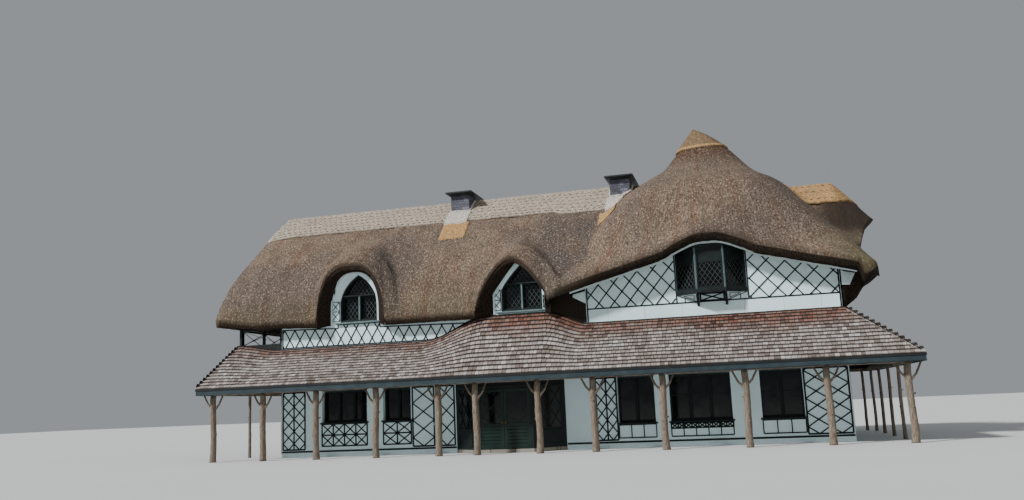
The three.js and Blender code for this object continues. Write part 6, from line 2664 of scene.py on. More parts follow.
@dataclass
class Windows:
    """Frames, mullions, leads, sills and arch boards of all windows. Sizes in metres."""

    palette: Palette
    left: tuple[Point2, ...] = ((-7.29, 1.84), (-5.17, 1.1))
    right: tuple[Point2, ...] = ((3.7, 1.28), (5.885, 2.07), (8.565, 1.37))
    left_sill: float = 1.25
    right_sill: float = 0.85
    head: float = 2.43
    glass: float = -0.3
    frame_wide: float = 0.06
    lead_pitch: Point2 = (0.17, 0.24)
    bevel: float = 0.006
    upper_back: float = -0.245
    transom: float = 6.0
    upper_sill: float = 5.1
    half_upper: float = 0.69

    def build(self) -> None:
        """Build the windows of every face."""
        self.work = Joinery()
        self.leads = Lattice(0.013, -0.244, -0.232)
        for plane in (FRONT, REAR):
            for openings, sill in ((self.left, self.left_sill), (self.right, self.right_sill)):
                for u, wide in openings:
                    self.casements(plane, u * plane.right[0], wide, sill)
            for dormer in FORM.dormers:
                self.dormer(plane, dormer)
        for plane in (LEFT_END, RIGHT_END):
            self.casements(plane, 0.0, 1.3, self.right_sill)
        self.flat(REAR, -6.55, 1.12, 5.25, 6.68, 3)
        self.flat(RIGHT_END, 0.0, 0.7, 5.15, 6.5, 2)
        self.balcony_door()
        palette = self.palette
        frames = self.work.piece("window_frames", [palette.timber, palette.grey, palette.white])
        settle(frames)
        self.leads.build("window_leads_upper", palette.came, "glass")
        dress((
            "glass_front_left", "glass_front_right", "glass_rear", "glass_front_upper", "glass_rear_upper",
            "glass_left", "glass_right", "glass_balcony_door", "glass_gablet",
        ), palette.glass)

    def rim(
        self, plane: Plane, u0: float, u1: float, v0: float, v1: float, low: float, high: float, wide: float,
    ) -> None:
        """Add the four members of a rectangular frame inside an opening.

        Args:
            plane: the face they lie on.
            u0: left-hand end.
            u1: right-hand end.
            v0: foot.
            v1: top.
            low: how far out of the face the back lies.
            high: how far out of the face the front lies.
            wide: width of a member.
        """
        w = wide / 2
        for a, b in (
            ((u0 + w, v0), (u0 + w, v1)), ((u1 - w, v0), (u1 - w, v1)),
            ((u0 + wide, v0 + w), (u1 - wide, v0 + w)), ((u0 + wide, v1 - w), (u1 - wide, v1 - w)),
        ):
            self.work.strip(plane, a, b, wide, low, high, 0, self.bevel)

    def casements(self, plane: Plane, u: float, wide: float, sill: float) -> None:
        """Fill a ground floor opening with casements, a sill and a drip board.

        Args:
            plane: the face they lie on.
            u: middle of the opening.
            wide: width of the opening.
            sill: height of the sill.
        """
        u0, u1 = u - wide / 2, u + wide / 2
        low, high, head = self.glass + 0.004, self.glass + 0.1, self.head
        self.rim(plane, u0, u1, sill, head, low, high, self.frame_wide)
        lights = max(2, round(wide / 0.62))
        for i in range(1, lights):
            at = u0 + wide * i / lights
            mullion = (at, sill + 0.05), (at, head - 0.05)
            self.work.strip(plane, *mullion, 0.05, low, high - 0.01, 0, self.bevel)
        bar = sill + (head - sill) * 0.55
        self.work.strip(plane, (u0 + 0.05, bar), (u1 - 0.05, bar), 0.03, low, high - 0.04, 0, 0.004)
        for i in range(lights):
            a, b = u0 + wide * i / lights + 0.03, u0 + wide * (i + 1) / lights - 0.03
            self.rim(plane, a, b, sill + 0.055, head - 0.055, low, high - 0.03, 0.028)
        foot = sill - 0.03
        self.work.strip(plane, (u0 - 0.06, foot), (u1 + 0.06, foot), 0.06, -0.28, 0.05, 0, 0.012)
        drip = head + 0.025
        self.work.strip(plane, (u0 - 0.04, drip), (u1 + 0.04, drip), 0.05, -0.05, 0.03, 0, 0.01)

    def dormer(self, plane: Plane, dormer: Dormer) -> None:
        """Fill a pointed opening, and hang the white board under the edge of its thatch.

        Args:
            plane: the face they lie on.
            dormer: the window.
        """
        low, high = self.upper_back, -0.06
        outer, inner = (mirrored(pointed(dormer, inset), plane) for inset in (0.0, 0.07))
        self.work.ribbon(plane, inner, outer, low, high)
        u = dormer.x / 1000 * plane.right[0]
        top, sill, half = self.transom, self.upper_sill, self.half_upper
        for a, b, wide, back, front, finish, bevel in (
            ((u - 0.72, 5.035), (u + 0.72, 5.035), 0.07, low, high, 0, 0.008),
            ((u - 0.66, top), (u + 0.66, top), 0.06, low, high + 0.02, 0, 0.008),
            ((u, 5.05), (u, top), 0.06, low, high, 1, 0.008),
            ((u - 0.92, 4.955), (u + 0.92, 4.955), 0.07, -0.25, 0.13, 1, 0.015),
        ):
            self.work.strip(plane, a, b, wide, back, front, finish, bevel)
        for a, b in ((u - half, u - 0.03), (u + 0.03, u + half)):
            self.rim(plane, a, b, 5.075, top - 0.035, low, high - 0.07, 0.035)
            light = [(a, sill), (b, sill), (b, top - 0.04), (a, top - 0.04)]
            self.leads.diamonds(plane, light, self.lead_pitch, (u, sill))
        lunette = [(a, b) for a, b in mirrored(pointed(dormer, 0.07), plane) if b > top]
        light = [(u - 0.62, top), *lunette, (u + 0.62, top)]
        self.leads.diamonds(plane, light, self.lead_pitch, (u, sill))
        self.arch(plane, dormer)

    def arch(self, plane: Plane, dormer: Dormer, wide: float = 0.06) -> None:
        """Fix a curved white board to the wall, round a dormer window.

        Args:
            plane: the face they lie on.
            dormer: the window.
            wide: width of the board.
        """
        line = [tuple(p) for p in board_line(dormer)]
        path = np.array(mirrored(line[: int(len(line) * dormer.board_share)], plane))
        step = np.gradient(path, axis=0)
        step /= np.linalg.norm(step, axis=1, keepdims=True)
        inner = path + np.stack((step[:, 1], -step[:, 0]), axis=1) * wide
        self.work.ribbon(plane, [tuple(p) for p in inner], [tuple(p) for p in path], 0.0, 0.05, 2)

    def flat(self, plane: Plane, u: float, half: float, sill: float, head: float, lights: int) -> None:
        """Fill a square-headed upper opening with leaded casements.

        Args:
            plane: the face they lie on.
            u: middle of the opening.
            half: half the width of the opening.
            sill: height of the sill.
            head: height of its head.
            lights: number of casements.
        """
        low, high = self.upper_back, -0.09
        self.rim(plane, u - half, u + half, sill, head, low, high, 0.07)
        for i in range(lights):
            a, b = u - half + 2 * half * i / lights, u - half + 2 * half * (i + 1) / lights
            if i:
                self.work.strip(plane, (a, sill + 0.06), (a, head - 0.06), 0.06, low, high, 1, 0.008)
            light = [(a, sill), (b, sill), (b, head), (a, head)]
            self.leads.diamonds(plane, light, self.lead_pitch, (u, sill))
        foot, out = sill - 0.04, half + 0.1
        self.work.strip(plane, (u - out, foot), (u + out, foot), 0.08, -0.25, 0.1, 1, 0.015)

    def balcony_door(self) -> None:
        """Fill the balcony's doorway with a glazed frame."""
        self.rim(LEFT_END, -0.45, 0.45, 3.86, 5.9, self.upper_back, -0.12, 0.07)
        half, rail = 0.38, 4.6
        self.work.strip(LEFT_END, (-half, rail), (half, rail), 0.1, self.upper_back, -0.15, 0, 0.008)
        panel = [(-half, 3.93), (half, 3.93), (half, 4.55), (-half, 4.55)]
        self.work.plate(LEFT_END, panel, -0.235, -0.2)
        light = [(-half, 4.65), (half, 4.65), (half, 5.83), (-half, 5.83)]
        self.leads.diamonds(LEFT_END, light, (0.19, 0.26), (0, 4.65))


@dataclass
class Walls:
    """Plastered walls with their painted lattice. Sizes in metres."""

    palette: Palette
    foot: float = 0.28
    top: float = 2.42
    rail: float = 4.87
    diamond: Point2 = (0.6, 0.67)
    band_diamond: Point2 = (0.43, 0.74)
    band_lean: float = -0.03
    panels: tuple[tuple, ...] = (
        (-9.84, -8.92, 2), (-4.55, -3.72, 1), (-3.55, -2.93, 1), (2.3, 3.02, 2), (9.3, 10.69, 2),
    )
    dados: tuple[tuple, ...] = ((-8.21, -6.37, 1.19, 4), (-5.72, -4.62, 1.19, 2))
    rails: tuple[tuple, ...] = ((3.06, 4.34, 3), (4.85, 6.92, 5), (7.88, 9.25, 3))
    rail_heights: Point2 = (0.78, 0.34)
    sill_rails: tuple[Point2, ...] = ((-9.88, -2.88), (1.22, 10.73))
    gable_sides: tuple[tuple, ...] = (
        (2.2, 5.3, (0.563, 0.655), (2.602, 5.058), 0.044, 5.335),
        (7.8, 10.7, (0.61, 0.627), (8.128, 5.223), -0.09, 7.765),
    )
    band_ends: tuple[float, ...] = (-9.86, -7.52, -5.8)
    joints: tuple[float, ...] = (2.9, 4.2, 5.5, 7.6, 8.9, 10.1)
    lip_board: Point2 = (1.68, 11.24)
    lip_depth: Point2 = (0.6, 0.65)
    lip_boxes: tuple[tuple[Point2, ...], ...] = (
        ((10.78, 5.1), (11.02, 5.08), (11.22, 5.46), (10.78, 5.6)),
        ((1.7, 5.31), (2.16, 5.06), (2.16, 5.5), (1.72, 5.4)),
    )
    stained_count: int = 10
    stained_start: float = 0.845
    stained_step: float = 0.135
    stained_wide: float = 0.134
    bow_panel: Point2 = (5.36, 7.74)

    def build(self, veranda: Veranda) -> None:
        """Dress the walls and set out their lattice.

        Args:
            veranda: the roof that meets the wall.
        """
        dress((
            "front_wall_left", "front_wall_right", "front_wall_over_entrance", "rear_wall", "left_wall",
            "right_wall", "front_wall_upper", "gable_wall", "rear_wall_upper", "left_wall_upper",
            "right_wall_upper",
        ), self.palette.plaster)
        dress(["ground_floor"], self.palette.flags)
        dress(["upper_floor"], self.palette.boards)
        bars, thin = Lattice(), Lattice(0.024)
        for plane in (FRONT, REAR):
            self.ground(bars, plane)
            self.upper(bars, thin, plane, veranda)
        for plane in (LEFT_END, RIGHT_END):
            self.ends(bars, plane)
        bars.build("wall_lattice", self.palette.timber, "dark_timber")
        thin.build("dormer_cheek_lattice", self.palette.timber, "dark_timber")
        self.boards()

    def ground(self, bars: Lattice, plane: Plane) -> None:
        """Set out the ground floor of the front or rear.

        Args:
            bars: the bars to add to.
            plane: the face they lie on.
        """
        way = plane.right[0]

        def span(a: float, b: float) -> Point2:
            """Mirror a stretch of wall where the face looks back."""
            return (a, b) if way > 0 else (-b, -a)

        for a, b, columns in self.panels:
            pitch = ((b - a) / columns, 0.62 if columns == 1 else 0.46)
            bars.panel(plane, *span(a, b), self.foot, self.top, pitch, columns)
        for a, b, top, count in self.dados:
            bars.crosses(plane, *span(a, b), self.foot + 0.1, top, count, 2)
        high, low = self.rail_heights
        for a, b, count in self.rails:
            u0, u1 = span(a, b)
            for v in (high, low):
                bars.line(plane, (u0, v), (u1, v), 0.045)
            for i in range(count + 1):
                u = u0 + (u1 - u0) * i / count
                bars.line(plane, (u, low), (u, high), 0.04)
            if count == 5:
                bars.crosses(plane, u0, u1, 0.61, high, 9, 1)
        for a, b in self.sill_rails:
            u0, u1 = span(a, b)
            bars.line(plane, (u0, self.top + 0.06), (u1, self.top + 0.06), 0.06)
            bars.line(plane, (u0, 0.2), (u1, 0.2), 0.07)
        if plane is REAR:
            bars.panel(plane, -0.9, 2.6, self.foot, self.top, (0.583, 0.62), 6)

    def boards(self) -> None:
        """Fix the white board under the gable's lip, its boxed ends, the boarding left of it, whose
        near-black stain is partly painted shade, and a dark panel above the bow window that stands for shade.
        """
        work = Joinery()
        xs = np.linspace(*self.lip_board, 80)
        top = FORM.height(xs * 1000, np.full_like(xs, -4030.0), True) / 1000 - 0.012
        foot = np.minimum(FORM.lip(xs * 1000) / 1000 - 0.045, top - 0.02)
        work.ribbon(FRONT, list(zip(xs, foot)), list(zip(xs, top)), *self.lip_depth)
        for outline in self.lip_boxes:
            work.plate(FRONT, outline, 0.2, 0.22)
        board = work.piece("gable_white_boards", [self.palette.white])
        settle(board, replaces=["gable_barge_board"])
        # Near-black boards on the wall under the tent's left wing: partly their stain, partly painted shade
        work = Joinery()
        for i in range(self.stained_count):
            u = self.stained_start + self.stained_step * i
            high = min(FORM.level(u, -3.43, True) - 0.02, 6.3)
            work.strip(FRONT, (u, 4.42), (u, high), self.stained_wide, 0.0, 0.03, 0, 0.006)
        settle(work.piece("stained_wall_boards", [self.palette.stained_and_shaded]))
        # A dark panel on the wall above the bow window, up to the thatch: painted shade under the thatch's
        # brow
        work = Joinery()
        us = np.linspace(*self.bow_panel, 30)
        high = [(float(u), float(v)) for u, v in zip(us, self.edge(us, 0.02))]
        left, right = self.bow_panel
        work.plate(FRONT, [(left, 6.6), (right, 6.6), *high[::-1]], 0.0, 0.02)
        settle(work.piece("bow_window_panel", [self.palette.timber]))

    def edge(self, us: np.ndarray, drop: float = 0.03) -> np.ndarray:
        """Give the height where the thatch's underside meets the long walls."""
        return FORM.height(us * 1000, np.full_like(us, -3400.0), True) / 1000 - drop

    def upper(self, bars: Lattice, thin: Lattice, plane: Plane, veranda: Veranda) -> None:
        """Set out the upper floor of the front or rear.

        Args:
            bars: the bars to add to.
            thin: the thinner bars to add to.
            plane: the face they lie on.
            veranda: the roof that meets the wall.
        """
        way = plane.right[0]
        self.band(bars, plane, veranda)
        for dormer in FORM.dormers:
            x = dormer.x / 1000
            for a, b, top in ((x - 1.12, x - 0.79, 5.8), (x + 0.8, x + 0.92, 5.5)):
                a, b = sorted((a * way, b * way))
                thin.crosses(plane, a, b, 5.05, top, 1, 2)
        bars.line(plane, (2.2 * way, self.rail), (10.72 * way, self.rail), 0.05)
        for u, at in ((2.18, 2.18), (10.71, 10.6)):
            bars.line(plane, (u * way, 4.42), (u * way, float(self.edge(np.array(at)))), 0.05)
        for a, b, pitch, phase, lean, side in self.gable_sides:
            us = np.linspace(a, b, 24)
            roof = [(float(u), float(v)) for u, v in zip(us, self.edge(us))]
            outline = mirrored([(a, self.rail), (b, self.rail), *roof[::-1]], plane)
            bars.diamonds(plane, outline, pitch, (phase[0] * way, phase[1]), lean * way)
            bars.line(plane, (side * way, self.rail), (side * way, 6.7), 0.05)
        if plane is FRONT:
            bars.crosses(plane, 6.15, 6.95, 4.9, 5.14, 1, 1)
            for u in (5.62, 7.5):
                bars.line(plane, (u, self.rail), (u, 5.12), 0.03)
            for u in self.joints:
                bars.line(plane, (u, 4.42), (u, self.rail - 0.03), 0.006, 0.002)

    def band(self, bars: Lattice, plane: Plane, veranda: Veranda) -> None:
        """Set out the band of diamonds between the veranda's roof and the dormer windows.

        Args:
            bars: the bars to add to.
            plane: the face they lie on.
            veranda: the roof that meets the wall.
        """
        way = plane.right[0]
        front = plane is FRONT
        foot = veranda.top_front if front else veranda.top_rear
        end = -1.75 if front else 2.1
        fall = 0.023 if front else 0.0
        start, step, turn = self.band_ends
        low = [(float(u), foot(float(u)) + 0.04) for u in np.linspace(start, end, 60)]
        top = [(u, 4.84 - fall * (u - start)) for u in (start, step, turn, end)]
        top[2:2] = [(step, 4.92), (turn, 4.92)]
        outline = mirrored(low + top[::-1], plane)
        bars.diamonds(plane, outline, self.band_diamond, (-9.56 * way, 4.453), self.band_lean * way)
        for line in (low, top):
            bars.outline(plane, mirrored(line, plane), False)
        bars.line(plane, (start * way, 4.1), (start * way, self.rail), 0.05)

    def ends(self, bars: Lattice, plane: Plane) -> None:
        """Set out the two end walls.

        Args:
            bars: the bars to add to.
            plane: the face they lie on.
        """
        for a, b in ((-3.3, -0.85), (0.85, 3.3)):
            bars.panel(plane, a, b, self.foot, self.top, (0.61, 0.62), 4)
        bars.crosses(plane, -0.65, 0.65, 0.3, 0.79, 3, 1)
        x = plane.origin[0]
        ys = np.linspace(-3.3, 3.3, 60)
        roof = FORM.height(np.full_like(ys, (x - 0.02 * np.sign(x)) * 1000), ys * 1000, True) / 1000 - 0.04
        roof = np.minimum(roof, 6.7)
        gap = 0.72 if x > 0 else 0.5
        for side in (-1, 1):
            keep = [(float(y) * plane.right[1], float(z)) for y, z in zip(ys, roof) if y * side > gap]
            keep.sort()
            foot = 4.45 if x > 0 else 3.95
            outline = [(keep[0][0], foot), (keep[-1][0], foot), *keep[::-1]]
            bars.diamonds(plane, outline, self.diamond, (0.0, foot))
            bars.outline(plane, outline)


@dataclass
class BowWindow:
    """The three-sided window on brackets. Sizes in metres."""

    palette: Palette
    x: float = 6.55
    half: float = 1.19
    half_front: float = 0.48
    depth: float = 0.56
    sill: float = 5.25
    head: float = 6.68
    wall: float = -3.4
    post: float = 0.085
    panel_drop: float = 0.25

    def corners(self, inset: float = 0.0) -> list[Point2]:
        """Give the plan from the left at the wall round to the right at the wall.

        Args:
            inset: how far inside the outer faces it lies.

        Returns:
            its corners, in metres.
        """
        run = self.half - self.half_front
        slant = math.hypot(run, self.depth)
        back, corner = inset * slant / self.depth, inset * (slant - run) / self.depth
        return [
            (self.x - self.half + back, self.wall),
            (self.x - self.half_front + corner, self.wall - self.depth + inset),
            (self.x + self.half_front - corner, self.wall - self.depth + inset),
            (self.x + self.half - back, self.wall),
        ]

    def facets(self) -> list[tuple[Plane, float]]:
        """Give the plane of each facet, with its width.

        Returns:
            the facets from left to right.
        """
        ring = self.corners()
        found = []
        for (ax, ay), (bx, by) in zip(ring, ring[1:]):
            wide = math.hypot(bx - ax, by - ay)
            found.append((Plane((ax, ay, 0.0), ((bx - ax) / wide, (by - ay) / wide, 0.0)), wide))
        return found

    def build(self) -> None:
        """Dress the solids and add mullions, leads, boards and panels."""
        dress(("bow_window_board", "bow_window_head"), self.palette.solid_timber)
        dress(["bow_window_glass"], self.palette.glass)
        work, leads = Joinery(), Lattice(0.011, -0.06, -0.048)
        low, high, post = self.sill, self.head, self.post
        for number, (plane, wide) in enumerate(self.facets()):
            for u in (post / 2, wide - post / 2):
                work.strip(plane, (u, low), (u, high), post, -0.07, 0.0, 0, 0.01)
                if number == 1 or (u > post) == (number == 0):
                    at = 0.018 if u < post else wide - 0.018
                    work.strip(plane, (at, low), (at, high), 0.022, -0.002, 0.006, 1, 0.003)
            inside = wide - post
            for v in (low + 0.045, high - 0.045):
                work.strip(plane, (post, v), (inside, v), 0.09, -0.07, -0.004, 0, 0.008)
            work.strip(plane, (0.0, low - 0.012), (wide, low - 0.012), 0.03, -0.02, 0.012, 1, 0.004)
            bar = low + (high - low) * 0.64
            work.strip(plane, (post, bar), (inside, bar), 0.035, -0.066, -0.03, 0, 0.004)
            work.plate(plane, [(post, bar), (inside, bar), (inside, high), (post, high)], -0.064, -0.046)
            light = [(post, low), (inside, low), (inside, bar), (post, bar)]
            leads.diamonds(plane, light, (0.17, 0.23), (wide / 2, low + 0.1))
        above = Plane((0.0, 0.0, self.head + 0.108), (1.0, 0.0, 0.0), (0.0, 1.0, 0.0))
        work.plate(above, self.corners(0.02), 0.0, 0.2)
        self.corbel(work)
        palette = self.palette
        thing = work.piece("bow_window_joinery", [palette.timber, palette.grey, palette.white])
        settle(thing, replaces=["bow_window_frame"])
        leads.build("bow_window_leads", palette.came, "glass")

    def corbel(self, work: Joinery) -> None:
        """Close the slanting sides under the window with white panels, trimmed with dark timber.

        Args:
            work: the joinery to add to.
        """
        run = self.half - self.half_front
        slant = math.hypot(run, self.depth)
        level = self.sill - 0.115
        for side in (-1, 1):
            right = np.array((run, side * self.depth, 0.0)) / slant
            start = np.array((self.x - self.half if side < 0 else self.x + self.half_front, self.wall, level))
            start[1] -= self.depth if side > 0 else 0.0
            foot = np.array((self.x + side * self.half_front, self.wall, level - self.panel_drop)) - start
            along = float(foot @ right)
            up = along * right - foot
            deep = float(np.linalg.norm(up))
            plane = Plane(tuple(start), tuple(right), tuple(up / deep))
            outline = [(0.0, 0.0), (along, -deep), (slant, 0.0)]
            work.plate(plane, outline, 0.0, 0.014, 2)
            centre = np.mean(outline, axis=0)
            for share, wide in ((0.96, 0.03), (0.5, 0.022)):
                for a, b in around([tuple(centre + (np.array(p) - centre) * share) for p in outline]):
                    work.strip(plane, a, b, wide, 0.012, 0.026, 0, 0.004)


class Side(Enum):
    """The two leaves of the entrance door."""

    LEFT = -1
    RIGHT = 1


@dataclass
class Entrance:
    """The glazed bay with its double door. Sizes in metres."""

    palette: Palette
    x: float = -0.83
    half_front: float = 1.05
    half_back: float = 2.03
    wall: float = -3.4
    depth: float = 0.9
    frame_deep: float = 0.09
    gap: float = 0.006
    leaf_back: float = -4.214
    leaf_front: float = -4.264
    foot: float = 0.13
    top: float = 2.2
    stile: float = 0.11
    lock: float = 0.9
    board_count: int = 5
    hinge_heights: Point3 = (0.33, 1.12, 1.91)
    knob: tuple[Point2, ...] = (
        (0.0, 0.026), (0.004, 0.026), (0.012, 0.01), (0.02, 0.01), (0.034, 0.025), (0.044, 0.022),
        (0.05, 0.008),
    )

    def build(self) -> None:
        """Build the bay and both leaves."""
        timber = ("bay_screen_left", "bay_screen_right", "entrance_frame", "bay_roof")
        dress(timber, self.palette.solid_timber)
        dress(("bay_glass_left", "bay_glass_right"), self.palette.glass)
        self.screens()
        for side in Side:
            self.leaf(side)

    def screens(self) -> None:
        """Bar the slanting screens and panel their feet."""
        work, bars = Joinery(), Lattice(0.03, -0.028, -0.004)
        front = self.wall - self.depth
        wide = math.hypot(self.half_back - self.half_front, self.depth)
        run, deep = (self.half_back - self.half_front) / wide, self.depth / wide
        for plane, shares in (
            (Plane((self.x - self.half_back, self.wall, 0.0), (run, -deep, 0.0)), (0.12, 0.84)),
            (Plane((self.x + self.half_front, front, 0.0), (run, deep, 0.0)), (0.16, 0.88)),
        ):
            u0, u1 = (share * wide for share in shares)
            light = [(u0, 0.82), (u1, 0.82), (u1, 2.24), (u0, 2.24)]
            bars.diamonds(plane, light, (0.48, 0.71), ((u0 + u1) / 2, 0.82))
            for v in (0.24, 0.72):
                work.strip(plane, (u0, v), (u1, v), 0.05, 0.0, 0.02, 0, 0.006)
            for u in (u0 + 0.02, u1 - 0.02):
                work.strip(plane, (u, 0.24), (u, 0.72), 0.05, 0.0, 0.02, 0, 0.006)
            work.strip(plane, (0.06, 2.29), (wide - 0.06, 2.29), 0.05, 0.0, 0.025, 0, 0.008)
        middle = Plane((self.x, front, 0.0), (1, 0, 0))
        work.strip(middle, (-1.05, 2.3), (1.05, 2.3), 0.05, 0.0, 0.025, 0, 0.008)
        settle(work.piece("bay_mouldings", [self.palette.timber]))
        bars.build("bay_bars", self.palette.timber, "dark_timber")

    def leaf(self, side: Side) -> None:
        """Build one leaf: glazed above with large diamonds, boarded below, with its hinges and knob.

        Args:
            side: which of the two.
        """
        outer = self.x + side.value * (self.half_front - self.frame_deep - self.gap)
        inner = self.x + side.value * self.gap / 2
        x0, x1 = min(outer, inner), max(outer, inner)
        thick = self.leaf_back - self.leaf_front
        plane = Plane((0.0, self.leaf_front, 0.0), (1.0, 0.0, 0.0))
        work, w = Joinery(), self.stile / 2
        for u in (x0 + w, x1 - w):
            work.strip(plane, (u, self.foot), (u, self.top), self.stile, -thick, 0.0, 0, 0.006)
        a, b = x0 + self.stile, x1 - self.stile
        for v, wide in ((self.foot + 0.09, 0.18), (self.lock + 0.055, 0.11), (self.top - w, self.stile)):
            work.strip(plane, (a, v), (b, v), wide, -thick, 0.0, 0, 0.006)
        low = self.foot + 0.18
        step = self.lock - low
        for i in range(self.board_count):
            v = low + step * (i + 0.5) / self.board_count
            wide = step / self.board_count - 0.006
            work.strip(plane, (a, v), (b, v), wide, -thick + 0.014, -0.014, 0, 0.008)
        self.light(work, plane, (a, b))
        self.furniture(work, side.value, inner, outer)
        palette = self.palette
        word = side.name.lower()
        thing = work.piece(f"{word}_door_leaf", [palette.door, palette.timber, palette.glass, palette.brass])
        settle(thing, f"{word}_door", [f"door_{word}"])

    def light(self, work: Joinery, plane: Plane, ends: Point2) -> None:
        """Glaze the upper part of a leaf, with two large diamonds of bars.

        Args:
            work: the joinery to add to.
            plane: the front face of the leaf.
            ends: left-hand and right-hand end of the light.
        """
        a, b = ends
        low, high = self.lock + 0.11, self.top - self.stile
        work.plate(plane, [(a, low), (b, low), (b, high), (a, high)], -0.03, -0.024, 2)
        middle, rise = (a + b) / 2, (high - low) / 2
        for k in range(2):
            v0, v1 = low + k * rise, low + (k + 1) * rise
            vm = (v0 + v1) / 2
            diamond = [(a, vm), (middle, v1), (b, vm), (middle, v0)]
            for p, q in around(diamond):
                work.strip(plane, p, q, 0.024, -0.042, -0.008, 0, 0.004)

    def furniture(self, work: Joinery, way: int, inner: float, outer: float) -> None:
        """Fit a leaf with a knob on both sides, and with hinges at its outer edge.

        Args:
            work: the joinery to add to.
            way: -1 for the left leaf and 1 for the right one.
            inner: edge where the leaves meet.
            outer: edge with the hinges.
        """
        at = inner + way * 0.055
        for face, out in ((self.leaf_front, -1), (self.leaf_back, 1)):
            path = [np.array((at, face + out * d, 1.03)) for d, _ in self.knob]
            work.tube(path, [radius for _, radius in self.knob], 14, 3)
        axis, tip = self.leaf_back + 0.008, outer - way * 0.024
        for z in self.hinge_heights:
            work.tube([np.array((outer, axis, z)), np.array((outer, axis, z + 0.1))], [0.0067, 0.0067], 12, 3)
            work.box((min(outer, tip), self.leaf_back - 0.004, z), (max(outer, tip), axis, z + 0.1), 3)


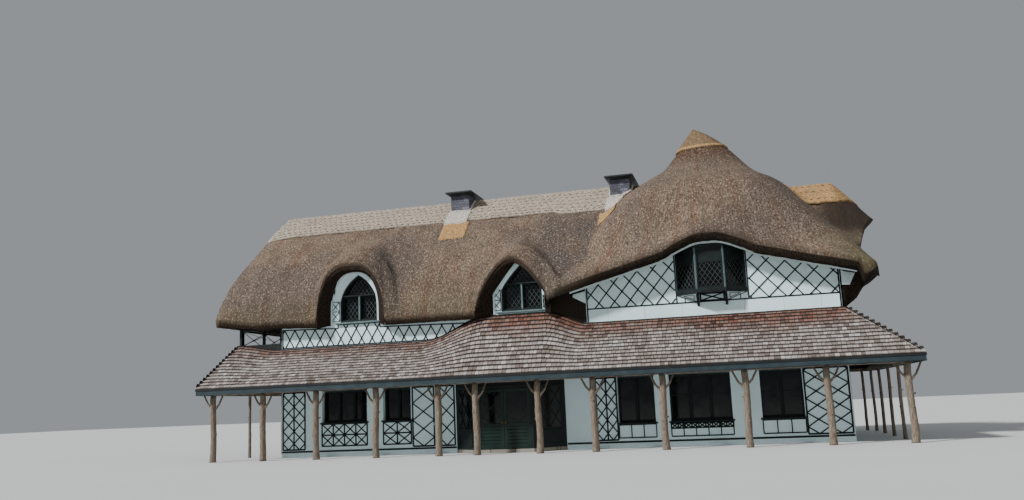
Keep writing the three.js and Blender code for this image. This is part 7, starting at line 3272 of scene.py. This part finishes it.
@dataclass
class Chimneys:
    """Two slate-hung stacks with dressed lead slabs. Sizes in metres."""

    palette: Palette
    places: tuple[tuple[str, float], ...] = (("left", -3.29), ("right", 3.26))
    wide: float = 0.78
    deep: float = 1.6
    low: float = 9.1
    top: float = 10.2
    slab: Point3 = (1.12, 2.05, 0.09)
    core: float = 0.018
    course: float = 0.115
    courses: int = 10
    slate: float = 0.17
    slate_thick: float = 0.015
    joint: float = 0.004
    skirt_steps: int = 9

    def build(self) -> None:
        """Build both stacks."""
        unit = unit_block("slate", 0, (0.49, 0.01, 1), (0.49, 1, 0.3))
        for number, (word, x) in enumerate(self.places):
            self.stack(word, x)
            self.slates(word, x, unit, number)
            self.skirt(word, x, number)
        bpy.data.objects.remove(unit)

    def stack(self, word: str, x: float) -> None:
        """Build a core and its slab, whose underside slopes out from the core.

        Args:
            word: side of the house, for the names.
            x: middle of the stack.
        """
        work = Joinery()
        hw, hd = self.wide / 2 - self.core, self.deep / 2 - self.core
        work.box((x - hw, -hd, self.low), (x + hw, hd, self.top - 0.05), 0)
        sw, sd, high = self.slab[0] / 2, self.slab[1] / 2, self.slab[2]
        rings = [
            (hw, hd, self.top - 0.06), (hw + 0.05, hd + 0.06, self.top - 0.03),
            (sw - 0.03, sd - 0.03, self.top + 0.015), (sw, sd, self.top + 0.03),
            (sw, sd, self.top + high - 0.02), (sw - 0.03, sd - 0.03, self.top + high),
        ]
        corners = ((-1, -1), (1, -1), (1, 1), (-1, 1))
        points = [np.array((x + i * w, j * d, z)) for w, d, z in rings for i, j in corners]
        work.take(points, [(0.0, 0.0)] * len(points), hoops(len(rings), 4), 1)
        for j in (-1, 1):
            y, z = j * 0.02 + 0.4 * j, self.top + high - 0.004
            roll = [np.array((x + i * (sw - 0.05), y, z)) for i in (-1, 1)]
            work.tube(roll, [0.014, 0.014], 8, 1)
        thing = work.piece(f"{word}_stack", [self.palette.slate, self.palette.lead])
        settle(thing, replaces=[f"chimney_{word}"])

    def slates(self, word: str, x: float, unit: bpy.types.Object, number: int) -> None:
        """Hang the slates in courses, with a paler upright strip on the front.

        Args:
            word: side of the house, for the names.
            x: middle of the stack.
            unit: the shape to set out.
            number: number of the piece, for its random draws.
        """
        rng = np.random.default_rng(60 + number)
        spots, turns, sizes, shades = [], [], [], []
        half, deep = self.wide / 2, self.deep / 2
        for plane, wide in (
            (Plane((x, -deep + self.core, 0), (1, 0, 0)), self.wide),
            (Plane((x, deep - self.core, 0), (-1, 0, 0)), self.wide),
            (Plane((x - half + self.core, 0, 0), (0, -1, 0)), self.deep),
            (Plane((x + half - self.core, 0, 0), (0, 1, 0)), self.deep),
        ):
            for row in range(self.courses):
                z = self.low + row * self.course
                edges = np.linspace(-wide / 2, wide / 2, max(3, round(wide / self.slate)) + 1)
                if row % 2:
                    edges = np.concatenate(([-wide / 2], (edges[1:] + edges[:-1]) / 2, [wide / 2]))
                for a, b in zip(edges[:-1], edges[1:]):
                    spots.append(plane.at((a + b) / 2, z, 0.001))
                    turns.append(aim(plane.right, plane.out))
                    high = min(self.course * 1.25, self.top - 0.05 - z)
                    sizes.append((b - a - self.joint, high, self.slate_thick))
                    pale = 0.55 if (a + b) / 2 > 0.02 and wide < 1 else 0.0
                    shades.append(min(1.0, rng.uniform(0, 0.5) + pale))
        thing = set_out(
            f"{word}_stack_slates", spots, turns, sizes, unit, self.palette.slate, shades, 0.01, 21 + number,
        )
        settle(thing)

    def skirt(self, word: str, x: float, number: int) -> None:
        """Pack mortar round the foot, where the stack leaves the straw.

        Args:
            word: side of the house, for the names.
            x: middle of the stack.
            number: number of the piece, for its random draws.
        """
        hw, hd = self.wide / 2 + 0.02, self.deep / 2 + 0.02
        path, radii = [], []
        for (ai, aj), (bi, bj) in around([(-1, -1), (1, -1), (1, 1), (-1, 1)]):
            for k in range(self.skirt_steps):
                t = k / self.skirt_steps
                px, py = x + (ai + (bi - ai) * t) * hw, (aj + (bj - aj) * t) * hd
                path.append(np.array((px, py, FORM.level(px, py) + 0.085)))
                lump = float(grain_noise(np.array(px * 9), np.array(py * 9), 5.0 + number))
                radii.append(0.055 + 0.016 * lump)
        path.append(path[0] + np.array((0.004, 0.0, 0.0)))
        radii.append(radii[0])
        work = Joinery()
        work.tube(path, radii, 8)
        settle(work.piece(f"{word}_stack_skirt", [self.palette.mortar]))


@dataclass
class Balcony:
    """The timber balcony under the left-hand end of the thatch."""

    palette: Palette

    def build(self) -> None:
        """Dress the three sides."""
        dress([f"balcony_{face}" for face in ("front", "rear", "left")], self.palette.solid_timber)


def main() -> None:
    """Build every sub-assembly in order."""
    palette = Palette()
    Studio().build()
    ThatchedRoof(palette).build()
    veranda = Veranda(palette)
    veranda.build()
    TrunkPosts(palette).build(veranda)
    Walls(palette).build(veranda)
    Windows(palette).build()
    BowWindow(palette).build()
    Entrance(palette).build()
    Chimneys(palette).build()
    Balcony(palette).build()


if __name__ == "__main__":
    main()
